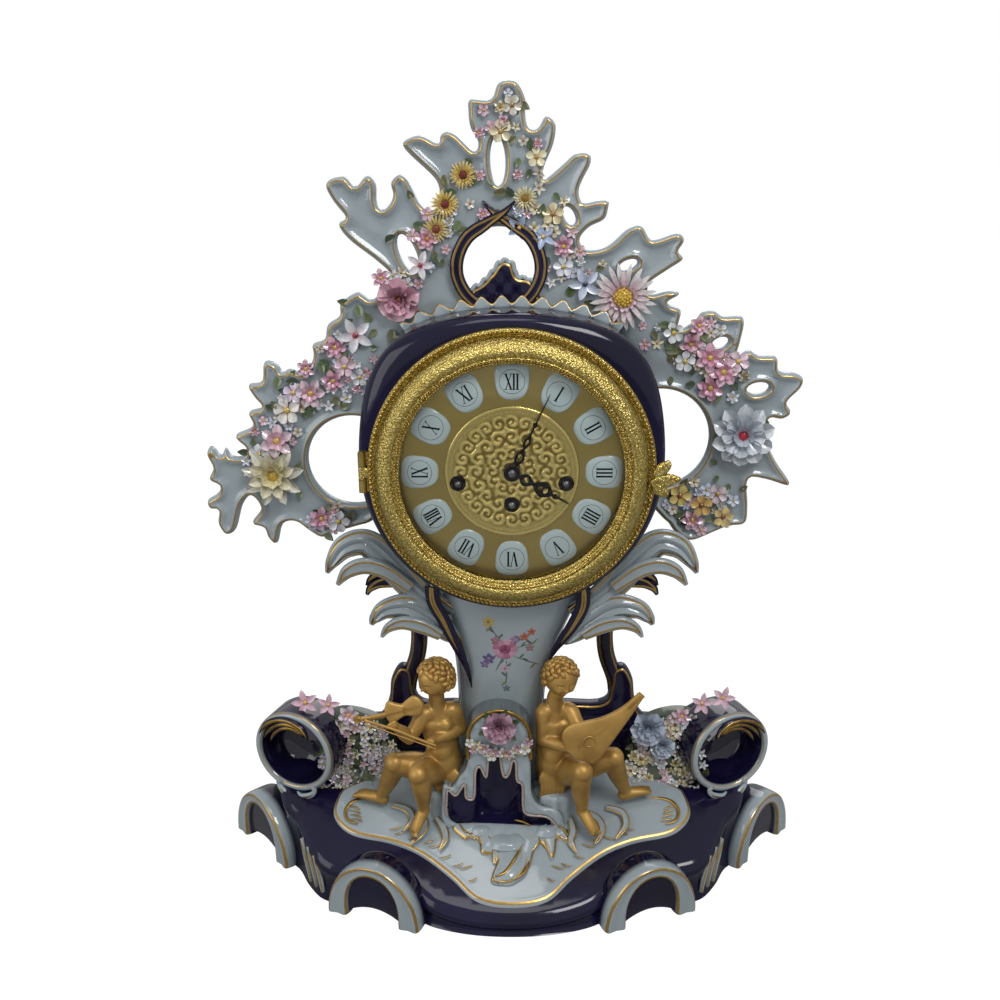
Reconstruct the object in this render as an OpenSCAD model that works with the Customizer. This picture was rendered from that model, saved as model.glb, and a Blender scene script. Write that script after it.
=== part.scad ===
// Porcelain table clock with a round gilt bezel, a pierced leaf crest and a scrolled base.
// Millimetres, +Z up, the front looks along -Y, the origin is on the table under the dial.

/* [Overall] */
// Height of the dial centre above the table
dial_h = 330; // [318:1:345]
// Height of the crest above the dial centre
crest_h = 250; // [235:1:265]
// Half of the width of the base
base_half_w = 230; // [220:1:240]
// Height of the figures from the seat to the crown
figure_h = 110; // [105:1:115]

/* [Base] */
// Height of the flat rear part of the base
base_top_h = 71; // [66:1:76]
// Height of the front edge of the base
base_front_h = 18; // [15:1:22]
// Wall of the hollow base
base_wall = 6; // [5:0.5:8]
// Thickness of the white panel on the slope
panel_t = 2.5; // [2:0.5:4]
// Outer radius of a front scroll foot
front_foot_r = 38; // [35:1:41]
// Outer radius of a side scroll foot
side_foot_r = 41; // [38:1:44]
// Thickness of the band of a scroll foot
foot_band = 12; // [10:1:14]
// Outer radius of a volute cup
volute_r = 34; // [31:1:37]
// Wall of a volute cup
volute_wall = 6; // [5:0.5:8]
// Thickness of the gallery wall behind the figures
gallery_t = 12; // [10:1:15]

/* [Drum and crest] */
// Outer radius of the drum at its sides
drum_r = 104; // [102:0.5:106]
// Radius of the drum bore
drum_bore_r = 90; // [89:0.5:92]
// Distance of the drum front ahead of the crest
drum_front = 56; // [53:1:60]
// Distance of the drum back behind the crest
drum_back = 44; // [42:1:50]
// Thickness of the crest
crest_t = 7; // [6:0.5:9]

/* [Bezel and dial] */
// Radius of the glass opening
glass_open_r = 75; // [73:0.5:77]
// Outer radius of the bezel ring
bezel_r = 97; // [95:0.5:98]
// How far the bezel ring stands out
bezel_out = 14; // [12:0.5:16]
// Thickness of the glass
glass_t = 2; // [1.5:0.1:2.5]
// Radius of the circle through the numeral plaques
plaque_circle_r = 62; // [60:0.5:63]
// Length of the minute hand
minute_hand_len = 60; // [52:1:66]
// Length of the hour hand
hour_hand_len = 46; // [40:1:50]

/* [Movement] */
// Distance of the going arbor below the centre
going_drop = 23; // [22:0.5:24]
// Sideways distance of the strike and chime arbors
side_arbor_x = 36.5; // [36:0.5:39]
// Radius of a spring barrel
barrel_r = 17; // [15:0.5:17.5]
// Distance between the movement plates
plate_gap = 35.5; // [34:0.5:37]
// Radius of a winding arbor
arbor_r = 4; // [3.5:0.1:4.5]
// Distance from the centre to the minute wheel arbor
motion_centre = 14.4; // [14:0.1:15]

/* [Hidden] */
$fn = 96;
per_cent = 0.01;
over = 1;
big = 600;
bite = 1;
run_gap = 0.06;
rest_gap = 0.3;
fit_gap = 0.2;
smooth_steps = 3;

// Colours
porcelain = "#dfe6e4";
cobalt = "#1e1b4a";
gilt = "#b98a2e";
brass = "#c9a24a";
steel = "#8f9296";
dark_steel = "#3a3633";

// Curves: Catmull-Rom through hand-set points
function curve_at(a, b, c, d, t) =
  0.5 * (2 * b + (c - a) * t + (2 * a - 5 * b + 4 * c - d) * t * t + (3 * b - a - 3 * c + d) * t * t * t);
function closed_curve(p, n = smooth_steps) = let (m = len(p))
  [for (i = [0 : m - 1]) for (k = [0 : n - 1])
    curve_at(p[(i + m - 1) % m], p[i], p[(i + 1) % m], p[(i + 2) % m], k / n)];
function open_curve(p, n = smooth_steps) = let (m = len(p) - 1)
  concat([for (i = [0 : m - 1]) for (k = [0 : n - 1])
    curve_at(p[max(i - 1, 0)], p[i], p[i + 1], p[min(i + 2, m)], k / n)], [p[m]]);
function mirrored(p) = concat(p, [for (i = [len(p) - 1 : -1 : 0]) if (p[i].x != 0) [-p[i].x, p[i].y]]);
function sized(p, sx, sy) = [for (q = p) [q.x * sx, q.y * sy]];
function unit(v) = v / norm(v);

// Solids from rings of points; the rings run anticlockwise seen from the end of the path
module loft(rings) {
  n = len(rings[0]);
  m = len(rings);
  polyhedron(
    points = [for (r = rings) each r],
    faces = concat(
      [[for (j = [0 : n - 1]) j]],
      [[for (j = [n - 1 : -1 : 0]) (m - 1) * n + j]],
      [for (i = [0 : m - 2]) for (j = [0 : n - 1]) let (k = (j + 1) % n)
        [i * n + j, (i + 1) * n + j, (i + 1) * n + k]],
      [for (i = [0 : m - 2]) for (j = [0 : n - 1]) let (k = (j + 1) % n)
        [i * n + j, (i + 1) * n + k, i * n + k]]));
}

// A tapering scroll: path points, half-widths across the path and half-thickness along facing
module scroll(path, half_w, half_t, facing = [0, -1, 0], sides = 10, steps = 2) {
  p = open_curve(path, steps);
  w = open_curve(half_w, steps);
  t = open_curve(half_t, steps);
  last = len(p) - 1;
  loft([for (i = [0 : last])
    let (along = unit(p[min(i + 1, last)] - p[max(i - 1, 0)]),
         side = unit(cross(along, facing)),
         out = cross(along, side))
    [for (j = [0 : sides - 1]) p[i] + w[i] * cos(360 * j / sides) * side + t[i] * sin(360 * j / sides) * out]]);
}

// A flat shape drawn in X and Z, standing with its back at y_back and reaching depth to the front
module upright(y_back, depth) {
  translate([0, y_back, 0]) rotate([90, 0, 0]) linear_extrude(depth) children();
}

// A turned shape about the dial axis; profile points are radius and distance in front of the crest
module turned(profile, x = 0, z = 0) {
  translate([x, 0, dial_h + z]) rotate([90, 0, 0]) rotate_extrude() polygon(profile);
}

module rod_y(r, y_from, y_to, x = 0, z = 0) {
  translate([x, y_to, dial_h + z]) rotate([90, 0, 0]) cylinder(r = r, h = y_to - y_from);
}

// Base

slope_front_share = 0.478;
slope_front_y = slope_front_share * base_half_w;
slope_back_share = 0.022;
slope_back_y = slope_back_share * base_half_w;
slope_angle = atan((base_top_h - base_front_h) / (slope_front_y + slope_back_y));

base_plan_shares = [
  [0, -0.515], [0.13, -0.505], [0.25, -0.47], [0.34, -0.41], [0.435, -0.375], [0.53, -0.365],
  [0.615, -0.34], [0.675, -0.27], [0.72, -0.19], [0.775, -0.13], [0.81, -0.045], [0.845, 0.05],
  [0.87, 0.13], [0.86, 0.225], [0.75, 0.32], [0.52, 0.365], [0.26, 0.38], [0, 0.38]];
panel_plan_shares = [
  [0, -0.478], [0.11, -0.46], [0.195, -0.39], [0.295, -0.32], [0.395, -0.28], [0.53, -0.25],
  [0.595, -0.19], [0.59, -0.12], [0.555, -0.085], [0.435, -0.045], [0.25, -0.03], [0, -0.03]];
vent_r = 6;
vent_x_share = 0.3;

function base_plan(grow = 0) = let (f = base_half_w + grow)
  closed_curve(sized(mirrored(base_plan_shares), f, f));

// All that lies below the slope lifted by lift
module below_slope(lift = 0) {
  translate([0, -slope_front_y, base_front_h]) rotate([slope_angle, 0, 0])
    translate([-big, -big, lift - big]) cube([2 * big, 2 * big, big]);
}

// All that lies below the flat top of the base and below the slope lifted by lift
module base_ground(lift = 0) {
  intersection() {
    below_slope(lift);
    translate([-big, -big, -big]) cube([2 * big, 2 * big, big + base_top_h]);
  }
}

module base_solid() {
  intersection() {
    linear_extrude(base_top_h) polygon(base_plan());
    below_slope();
  }
}

module base_body() {
  color(cobalt) difference() {
    base_solid();
    intersection() {
      translate([0, 0, base_wall]) linear_extrude(base_top_h - 2 * base_wall)
        polygon(base_plan(-3 * base_wall));
      below_slope(-base_wall);
    }
    translate([vent_x_share * base_half_w, 0, -over]) cylinder(r = vent_r, h = base_wall + 2 * over);
  }
}

module base_panel() {
  color(porcelain) difference() {
    intersection() {
      linear_extrude(2 * base_top_h)
        polygon(closed_curve(sized(mirrored(panel_plan_shares), base_half_w, base_half_w)));
      below_slope(panel_t);
    }
    below_slope();
  }
}

front_foot_place_share = [0.437, -0.425];
front_foot_turn = 20;
side_foot_place_share = [0.865, -0.05];
side_foot_turn = 47;
foot_depth = 26;
foot_front = 8;

// A C-scroll arch standing on the table, open below
module scroll_foot(side, place_share, turn, r) {
  color(porcelain) difference() {
    translate([side * place_share.x * base_half_w, place_share.y * base_half_w, 0]) rotate([0, 0, side * turn])
      rotate([90, 0, 0]) rotate_extrude() difference() {
        translate([r - foot_band, foot_front - foot_depth]) square([foot_band, foot_depth]);
        translate([r, foot_front]) circle(foot_band / 3);
        translate([r - foot_band, foot_front]) circle(foot_band / 3);
      }
    translate([-big, -big, -big]) cube([2 * big, 2 * big, big]);
    base_solid();
  }
}
module scroll_foot_front_left() scroll_foot(-1, front_foot_place_share, front_foot_turn, front_foot_r);
module scroll_foot_front_right() scroll_foot(1, front_foot_place_share, front_foot_turn, front_foot_r);
module scroll_foot_side_left() scroll_foot(-1, side_foot_place_share, side_foot_turn, side_foot_r);
module scroll_foot_side_right() scroll_foot(1, side_foot_place_share, side_foot_turn, side_foot_r);

volute_x_share = 0.717;
volute_lift_share = 0.58;
volute_depth = 34;
volute_turn = 20;
volute_z = base_top_h + volute_lift_share * volute_r;

eye_r = 8;
// The round eye through the back of a volute and the gallery behind it
module volute_eye(side) {
  translate([side * volute_x_share * base_half_w, big / 2, volute_z]) rotate([90, 0, 0])
    cylinder(r = eye_r, h = big);
}
module volute_place(side) {
  translate([side * volute_x_share * base_half_w, -gallery_t / 2, volute_z]) rotate([0, 0, side * volute_turn])
    rotate([90, 0, 0]) translate([0, 0, -volute_depth / 2]) children();
}
// The outside of a volute
module volute_solid(side) {
  lip = volute_wall / 2;
  volute_place(side) union() {
    cylinder(r = volute_r - lip, h = volute_depth);
    translate([0, 0, volute_depth - lip]) rotate_extrude() translate([volute_r - lip, 0]) circle(lip);
    translate([0, 0, lip]) rotate_extrude() translate([volute_r - lip, 0]) circle(lip);
  }
}

// A deep round cup that opens to the front
module volute(side) {
  color(cobalt) difference() {
    volute_solid(side);
    volute_place(side) translate([0, 0, volute_wall]) cylinder(r = volute_r - volute_wall, h = volute_depth);
    volute_eye(side);
    base_solid();
  }
}
module volute_left() volute(-1);
module volute_right() volute(1);

gallery_h = 80;
gallery_front_y = 6;
gallery_shares = [
  [0.6, 0], [0.66, 0.1], [0.665, 0.4], [0.645, 0.56], [0.6, 0.5], [0.515, 0.4],
  [0.455, 0.46], [0.425, 0.64], [0.415, 0.85], [0.385, 1], [0.345, 0.96], [0.335, 0.75],
  [0.3, 0.6]];
gallery_root_shares = [0.155, 0.085];

// The scrolled wall behind the figures, one half on each side of the column
module gallery() {
  color(cobalt) for (side = [-1, 1]) let (root = side < 0 ? gallery_root_shares[0] : gallery_root_shares[1])
    difference() {
      mirror([side < 0 ? 1 : 0, 0, 0]) upright(gallery_front_y + gallery_t, gallery_t)
        translate([0, base_top_h]) intersection() {
          polygon(closed_curve(sized(concat([[root, 0]], gallery_shares, [[root, 0.56]]),
            base_half_w, gallery_h)));
          translate([root * base_half_w, 0]) square(big);
        }
      volute_solid(side);
    }
}

// Column
// Each row: height share, half-width, half-depth and the middle in Y and X; widths follow the drum radius
// and depths the front of the drum
column_shares = [
  [-0.1, 0.36, 0.33, 0.04, -0.08], [0, 0.35, 0.33, 0.04, -0.08], [0.2, 0.33, 0.31, 0, -0.08],
  [0.42, 0.32, 0.32, -0.03, -0.08], [0.62, 0.36, 0.345, -0.06, -0.06], [0.8, 0.46, 0.385, -0.08, -0.03],
  [0.96, 0.58, 0.41, -0.08, 0], [1.06, 0.64, 0.42, -0.08, 0]];
column_base_share = 0.63;
column_low = column_base_share * base_top_h;
column_span = dial_h - drum_r - column_low + drum_r * 0.24;
column_sides = 36;
column_square = 2.6;
column_deep_share = 1.857;
column_deep = column_deep_share * drum_front;
column_rows = [for (s = open_curve(column_shares, 2))
  [column_low + s[0] * column_span, s[1] * drum_r, s[2] * column_deep, s[3] * column_deep, s[4] * drum_r]];
function round_pow(c) = sign(c) * pow(abs(c), 2 / column_square);

module drum_envelope() {
  upright(drum_back, drum_back + drum_front - drum_lip) translate([0, dial_h]) polygon(drum_plan());
  turned([[0, drum_front - drum_lip - over], [drum_r - drum_lip / 2, drum_front - drum_lip - over],
    [drum_r - drum_lip / 2, drum_front - drum_lip], [drum_face_r, drum_front], [0, drum_front]]);
}

module column() {
  color(porcelain) difference() {
    loft([for (r = column_rows) [for (j = [0 : column_sides - 1]) let (a = 360 * j / column_sides)
      [r[4] + r[1] * round_pow(cos(a)), r[3] + r[2] * round_pow(sin(a)), r[0]]]]);
    base_ground(panel_t);
    translate([niche_x - niche_w, -big, -over]) cube([2 * niche_w, big + niche_front_y + niche_depth,
      column_low + niche_h + over]);
    seats();
    drum_envelope();
  }
}

band_half_w = 4;
band_x_share = 0.9;
band_y_share = 0.66;
// The bands run over this stretch of the column's rows
band_from_share = 0.5;
band_to_share = 0.86;
band_rows = [for (i = [0 : len(column_rows) - 1]) let (share = i / (len(column_rows) - 1))
  if (share >= band_from_share && share <= band_to_share) i];

// The two dark bands that run down the front corners of the column
module column_bands() {
  color(cobalt) for (side = [-1, 1]) difference() {
    scroll([for (i = band_rows) let (r = column_rows[i])
        [r[4] + side * band_x_share * r[1], r[3] - band_y_share * r[2], r[0]]],
      [for (i = band_rows) band_half_w * (0.3 + 0.14 * (i - band_rows[0]))],
      [for (i = band_rows) band_half_w * 0.7], [0, -1, 0], 8, 1);
    drum_envelope();
  }
}

niche_x_share = -0.041;
niche_w = 46;
niche_h = 103;
niche_front_y = -56;
niche_depth = 26;
niche_wall = 7;
seat_r = 19;
// Seats: places from the middle and the front of the niche as shares of its width
seat_left_share = [-0.845, 0.4674];
seat_right_share = [0.955, 0.4424];
seat_h = 1.5;
rose_r = 13;
cave_flare = 13;
niche_x = niche_x_share * base_half_w;
function seat_place(seat_share) = [niche_x + seat_share.x * niche_w, niche_front_y + seat_share.y * niche_w];

module niche_solid() {
  arch_r = niche_w / 2;
  upright(niche_front_y + niche_depth, niche_depth) translate([niche_x, column_low]) union() {
    translate([-arch_r, -niche_wall]) square([niche_w, niche_h + niche_wall - arch_r]);
    translate([0, niche_h - arch_r]) circle(arch_r);
    polygon([[-arch_r - cave_flare, -niche_wall], [arch_r + cave_flare, -niche_wall],
      [arch_r, 2 * cave_flare], [-arch_r, 2 * cave_flare]]);
  }
  seats();
}
module seats() {
  for (s = [seat_left_share, seat_right_share])
    translate(concat(seat_place(s), [column_low - niche_wall]))
      cylinder(r = seat_r, h = base_top_h + seat_h - column_low + niche_wall);
}

// The arched grotto at the foot of the column, with the two rocks that the figures sit on
module niche() {
  inner_r = niche_w / 2 - niche_wall;
  cave_h = niche_h - 1.2 * niche_w;
  color(porcelain) difference() {
    niche_solid();
    upright(niche_front_y + niche_depth / 2, niche_depth) translate([niche_x, column_low]) union() {
      translate([-inner_r, -niche_wall]) square([2 * inner_r, cave_h + niche_wall]);
      translate([0, cave_h]) circle(inner_r);
      polygon([[-inner_r - cave_flare, -niche_wall], [inner_r + cave_flare, -niche_wall],
        [inner_r, 2 * cave_flare], [-inner_r, 2 * cave_flare]]);
    }
    below_slope(panel_t);
  }
  color("#d9a3b4") bloom(niche_x, niche_front_y, column_low + niche_h - rose_r, rose_r);
}

// Outline of the relief at the foot of the niche, in shares of a size that follows the niche
shell_shares = [
  [0.17, -0.2], [0.17, -0.26], [0.13, -0.25], [0.11, -0.32], [0.07, -0.29], [0.05, -0.38], [0, -0.4],
  [-0.04, -0.37], [-0.04, -0.31], [-0.09, -0.3], [-0.13, -0.26], [-0.18, -0.25], [-0.15, -0.21], [0, -0.19]];
shell_t = 6;
shell_size_share = 5;
shell_size = shell_size_share * niche_w;

// The white rocaille relief in the middle of the panel
module rocaille_shell() {
  color(porcelain) difference() {
    intersection() {
      linear_extrude(2 * base_top_h) polygon(closed_curve(sized(shell_shares, shell_size, shell_size)));
      below_slope(panel_t + shell_t);
    }
    below_slope(panel_t);
    niche_solid();
  }
}

// Leaf scrolls between the drum and the column; places as shares of the drum radius about the dial centre
upper_leaf_shares = [
  [0.42, -0.34, -1.1], [0.66, -0.35, -0.93], [0.86, -0.34, -0.7], [1.0, -0.34, -0.575],
  [1.14, -0.35, -0.6], [1.23, -0.37, -0.7], [1.27, -0.38, -0.78]];
upper_leaf_w_shares = [0.07, 0.1, 0.11, 0.1, 0.085, 0.05, 0.015];
middle_leaf_shares = [
  [0.42, -0.34, -1.09], [0.6, -0.33, -0.95], [0.76, -0.32, -0.87], [0.9, -0.32, -0.87],
  [0.98, -0.33, -0.91], [1.01, -0.34, -0.96]];
middle_leaf_w_shares = [0.06, 0.06, 0.055, 0.045, 0.03, 0.012];
lower_leaf_shares = [
  [0.36, -0.34, -1.32], [0.44, -0.35, -1.25], [0.56, -0.36, -1.14], [0.72, -0.37, -1.04],
  [0.87, -0.38, -1.05], [0.95, -0.39, -1.11], [0.98, -0.4, -1.16]];
lower_leaf_w_shares = [0.03, 0.07, 0.105, 0.1, 0.075, 0.045, 0.015];
long_tail_shares = [[0.31, -0.33, -1.6], [0.33, -0.34, -1.48]];
long_tail_w_shares = [0.015, 0.035];
pillar_shares = [
  [0.8, 0.12, -2.0], [0.78, 0.11, -1.84], [0.71, 0.08, -1.62], [0.69, 0.04, -1.4], [0.72, 0.02, -1.2],
  [0.68, 0, -0.97], [0.58, 0, -0.8]];
pillar_r = 6.5;
leaf_t_share = 0.045;

function about_dial(p, side) = [for (q = p) [side * q.x * drum_r, q.y * drum_r, dial_h + q.z * drum_r]];
module leaf(shares, widths, side) {
  scroll(about_dial(shares, side), drum_r * widths,
    [for (w = widths) drum_r * min(leaf_t_share, w)]);
}
module leaf_scrolls(side) {
  difference() {
    union() {
      color(porcelain) leaf(upper_leaf_shares, upper_leaf_w_shares, side);
      color(cobalt) leaf(middle_leaf_shares, middle_leaf_w_shares, side);
      color(porcelain) leaf(concat(side < 0 ? long_tail_shares : [], lower_leaf_shares),
        concat(side < 0 ? long_tail_w_shares : [], lower_leaf_w_shares), side);
      color(cobalt) scroll(about_dial(pillar_shares, side), [for (p = pillar_shares) pillar_r],
        [for (p = pillar_shares) pillar_r]);
    }
    rod_y(drum_bore_r + bite, -drum_front, drum_back);
  }
}
module leaf_scrolls_left() leaf_scrolls(-1);
module leaf_scrolls_right() leaf_scrolls(1);

// Drum and crest

drum_shoulder_share = 0.115;
// The shoulders of the drum: their direction and spread as shares of a half turn
drum_shoulder_at_share = 0.2444;
drum_shoulder_spread_share = 0.1333;
drum_shoulder_at = 180 * drum_shoulder_at_share;
drum_shoulder_spread = 180 * drum_shoulder_spread_share;
drum_lip = 10;
drum_face_r = 98;
function shoulder(a) = exp(-pow((a - drum_shoulder_at) / drum_shoulder_spread, 2))
  + exp(-pow((a - 180 + drum_shoulder_at) / drum_shoulder_spread, 2));
function drum_plan(grow = 0) = [for (a = [-88 : 4 : 268])
  let (r = drum_r * (1 + drum_shoulder_share * shoulder(a)) + grow) [r * cos(a), r * sin(a)]];

module drum_case() {
  color(cobalt) difference() {
    drum_envelope();
    rod_y(drum_bore_r, -drum_front - over, drum_back + over);
  }
}

ruffle_from = 50;
ruffle_to = 180 - ruffle_from;
ruffle_steps = 64;
ruffle_wave = 2.5;
ruffle_band = 5;
ruffle_waves = 22;
ruffle_depth = 14;

// The white collar with a waved edge over the top of the drum
module drum_ruffle() {
  color(porcelain) difference() {
    upright(-crest_t / 2, ruffle_depth) translate([0, dial_h])
      polygon(concat([[0, drum_r / 2]],
        [for (a = [ruffle_from : (ruffle_to - ruffle_from) / ruffle_steps : ruffle_to])
          let (r = drum_r * (1 + drum_shoulder_share * shoulder(a)) + ruffle_band
            + ruffle_wave * cos(360 * (a - ruffle_from) / (ruffle_to - ruffle_from) * ruffle_waves / 2))
          [r * cos(a), r * sin(a)]]));
    drum_envelope();
  }
}

// Outline of the crest in hundredths of its height about the dial centre:
// down the left wing, across behind the drum, up the right wing and back over the top
crest_outline_shares = [
  [-38.5, 43], [-42.5, 45], [-47.5, 42], [-48, 38.5], [-51.5, 36], [-52.5, 32], [-56, 30.5], [-56, 27],
  [-58.5, 22.5], [-63, 23.5], [-65, 22.5], [-66.5, 25], [-70, 25.5], [-71, 20], [-75, 19], [-73.5, 15.5],
  [-71.5, 12.5], [-75.5, 11], [-74.5, 7], [-79.5, 4.5], [-79, 2.5], [-77, 0.5], [-78, -2], [-81.5, -2],
  [-83, 0.5], [-84.5, -2], [-87, 1], [-88.5, -1.5], [-87, -5.5], [-88.5, -9], [-85.5, -11], [-86.5, -13.5],
  [-89.5, -15.5], [-89, -18], [-86.5, -18.5], [-87, -22.5], [-85, -26], [-82, -24.5], [-79.5, -17],
  [-76.5, -14], [-74, -18], [-77, -22.5], [-73.5, -24], [-72.5, -27], [-70, -29], [-68, -23], [-64, -22],
  [-60, -25], [-56.5, -27], [-53, -25.5], [-46, -23.5], [-40, -21],
  [-28, -10], [28, -10],
  [44.5, -21], [48, -25], [53, -28], [59.5, -25.5], [64, -23.5], [69, -22.5], [69.5, -17], [69, -9],
  [74, -9], [80.5, -11], [81, -9.5], [77, -4], [74, 2], [73.5, 9], [77.5, 9], [80, 11], [78.5, 14],
  [82, 18], [82.5, 21], [79.5, 22.5], [75.5, 23], [74.5, 27], [69, 27.5], [66.5, 29], [63, 26.5],
  [64, 31], [64.5, 38], [58.5, 38.5], [56, 40], [53, 39.5], [51, 37], [46.5, 35], [47, 40], [43, 42],
  [46.5, 44.5], [43.5, 45.5], [38.5, 44.5], [37, 46.5], [39, 48.5], [43.5, 51.5], [47, 54], [45.5, 56],
  [47, 59], [45, 61], [40, 59.5], [37.5, 59.5], [35, 63], [31.5, 62], [27, 58], [22.5, 56.5], [19.5, 57],
  [18.5, 59.5], [21, 62.5], [25, 64.5], [26, 67.5], [26, 69.5], [23, 69.5], [19, 69], [18, 72], [19, 75],
  [21, 79], [20.5, 81.5], [17, 81.5], [14, 79], [10.5, 76], [8.5, 75], [8.5, 78], [11, 84], [11.5, 89],
  [9, 91], [7, 88], [4.5, 88], [3.5, 91.5], [3.5, 95.5], [1, 99.5], [-3.5, 99], [-5.5, 95], [-11, 95],
  [-11.5, 92], [-11, 88], [-9, 84.5], [-10, 82], [-14.5, 86], [-17, 87], [-19, 86], [-19.5, 84], [-24, 86],
  [-28, 85], [-29, 83.5], [-27, 81], [-22, 76.5], [-20, 74], [-19.5, 71], [-20.5, 67.5], [-22.5, 67],
  [-25, 69], [-27, 73], [-28.5, 75.5], [-30.5, 76], [-32.5, 74], [-32, 71], [-33, 68.5], [-35, 67],
  [-36.5, 69], [-36.5, 73], [-37.5, 75.5], [-39.5, 75.5], [-42, 73], [-44.5, 75.5], [-48.5, 75],
  [-50, 73], [-48, 69], [-45, 65], [-47, 63.5], [-46, 61], [-43, 58], [-36.5, 53], [-33.5, 49]];
// Round holes: middle and radius, in hundredths of the crest height
crest_round_shares = [[-46, -3.2, 13.2], [42.5, 3.4, 14.4]];
// The round gap over the drum: middle and radius in hundredths, and its rise above the drum radius
medallion_x_share = -3.6;
medallion_r_share = 10.4;
medallion_rise = 26.5;
// Slots: both ends and the half-width
crest_slot_shares = [
  [-3.6, 73.3, -4, 85.7, 2], [-26.5, 50.5, -30.5, 60.5, 2.2], [16.8, 63.2, 14.2, 67.8, 1.4],
  [29.6, 51.6, 34.4, 53.4, 1.2], [56.2, 30.2, 60.8, 31.8, 1.4], [66.8, 17.5, 73.2, 18.5, 1.6]];

function hundredths(p) = [for (q = p) per_cent * crest_h * q];
medallion = [per_cent * crest_h * medallion_x_share, drum_r + medallion_rise, per_cent * crest_h * medallion_r_share];
module oval(half_len, half_w) {
  polygon([for (a = [0 : 15 : 345]) [half_len * cos(a), half_w * sin(a)]]);
}

module crest_plate() {
  color(porcelain) upright(crest_t / 2, crest_t) translate([0, dial_h]) difference() {
    polygon(closed_curve(hundredths(crest_outline_shares), 2));
    polygon(drum_plan());
    for (s = concat(hundredths(crest_round_shares), [medallion])) translate([s.x, s.y]) circle(s.z);
    for (s = hundredths(crest_slot_shares)) let (along = [s[2] - s[0], s[3] - s[1]])
      translate([s[0] + s[2], s[1] + s[3]] / 2) rotate(atan2(along.y, along.x)) oval(norm(along) / 2, s[4]);
  }
}

medallion_band = 5;
medallion_depth = 10;
// The rock, in hundredths of the crest height about the middle of the gap
rock_shares = [
  [-8.4, -11.7], [-7.9, -6.7], [-4.9, -4.7], [-1.9, -1.7], [0.6, 1.3], [3.6, 0.8], [5.1, -2.7], [8.6, -3.7],
  [10.6, -6.7], [10.6, -11.7]];

// The dark C-scroll round the see-through medallion, with the rock at its foot
module crest_medallion() {
  s = medallion;
  color(cobalt) difference() {
    union() {
      translate([s.x, 0, dial_h + s.y]) rotate([90, 0, 0]) translate([0, 0, crest_t / 2]) difference() {
        cylinder(r = s.z + medallion_band, h = medallion_depth - crest_t / 2);
        translate([0, 0, -over]) cylinder(r = s.z, h = medallion_depth);
      }
      upright(-crest_t / 2, medallion_depth / 2) translate([s.x, dial_h + s.y])
        polygon(closed_curve(hundredths(rock_shares), 2));
    }
    drum_envelope();
    upright(0, crest_t / 2 + ruffle_depth) translate([0, dial_h])
      polygon(drum_plan(ruffle_band + ruffle_wave + fit_gap));
  }
}

// Flowers

// An open flower that faces the front, its back at y: two rings of petals and a button
module bloom(x, y, z, r, petals = 5) {
  lift = r / 5;
  upright(y, lift) translate([x, z]) petal_ring(r, petals);
  upright(y - lift, lift + bite) translate([x, z]) rotate(180 / petals) petal_ring(0.68 * r, petals);
  translate([x, y - 2 * lift, z]) rotate([90, 0, 0]) cylinder(r = 0.27 * r, h = lift + bite);
}
module petal_ring(r, petals) {
  polygon([for (i = [0 : petals * 6 - 1]) let (a = 60 * i / petals)
    r * (0.78 + 0.22 * abs(sin(a * petals / 2))) * [cos(a), sin(a)]]);
}

// Crest flowers: place and radius in hundredths of the crest height
crest_flower_shares = [
  [-31, 43.5, 6.2], [-25, 52.5, 4], [-23, 59.5, 3.4], [-13, 76, 3.6], [-18, 68.5, 3.8], [-20.5, 62, 3.8],
  [-3, 87, 3], [0, 93.5, 2.6], [6.5, 80.5, 2.8], [3.5, 70, 3.4], [11, 66, 3.2], [2, 62.5, 3.4],
  [8.5, 60, 3.6], [14, 57.5, 3], [20, 47.5, 4.6], [30.5, 44, 9], [14, 52, 2.8], [-36, 49, 2.6]];
left_wing_flower_shares = [
  [-43.5, 33.5, 5], [-49.5, 30, 3.2], [-47, 24.5, 3], [-50.5, 20.5, 3.2], [-43, 21.5, 2.6], [-57, 17, 4.4],
  [-64, 12, 4.2], [-67.5, 3, 5], [-69, -7, 8.6], [-73, -1, 3], [-56, -20.5, 3.6], [-51, -21.5, 3.4],
  [-62, 17, 3], [-58, 24, 2.6]];
right_wing_flower_shares = [
  [50, 31, 3.4], [55.5, 27, 4.2], [59.5, 23, 4.2], [56, 18.5, 3.8], [63.5, 26, 3.2], [48.5, 26, 3],
  [66, 5, 8.4], [49, -13.5, 3.4], [55.5, -16.5, 3.4], [60, -13, 3], [53, -21, 3.2], [62, -20, 3.2],
  [45, 34, 3], [52, 36, 2.8]];

module wall_flowers(shares, tint) {
  color(tint) difference() {
    for (s = hundredths(shares)) bloom(s.x, -crest_t / 2, dial_h + s.y, s.z);
    upright(0, drum_front) translate([0, dial_h]) polygon(drum_plan(ruffle_band + ruffle_wave + fit_gap));
  }
}
module flowers_crest() {
  difference() {
    wall_flowers(crest_flower_shares, "#e3b9c6");
    crest_medallion();
  }
}
module flowers_wing_left() wall_flowers(left_wing_flower_shares, "#efe3b8");
module flowers_wing_right() wall_flowers(right_wing_flower_shares, "#e7b7c8");

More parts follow.
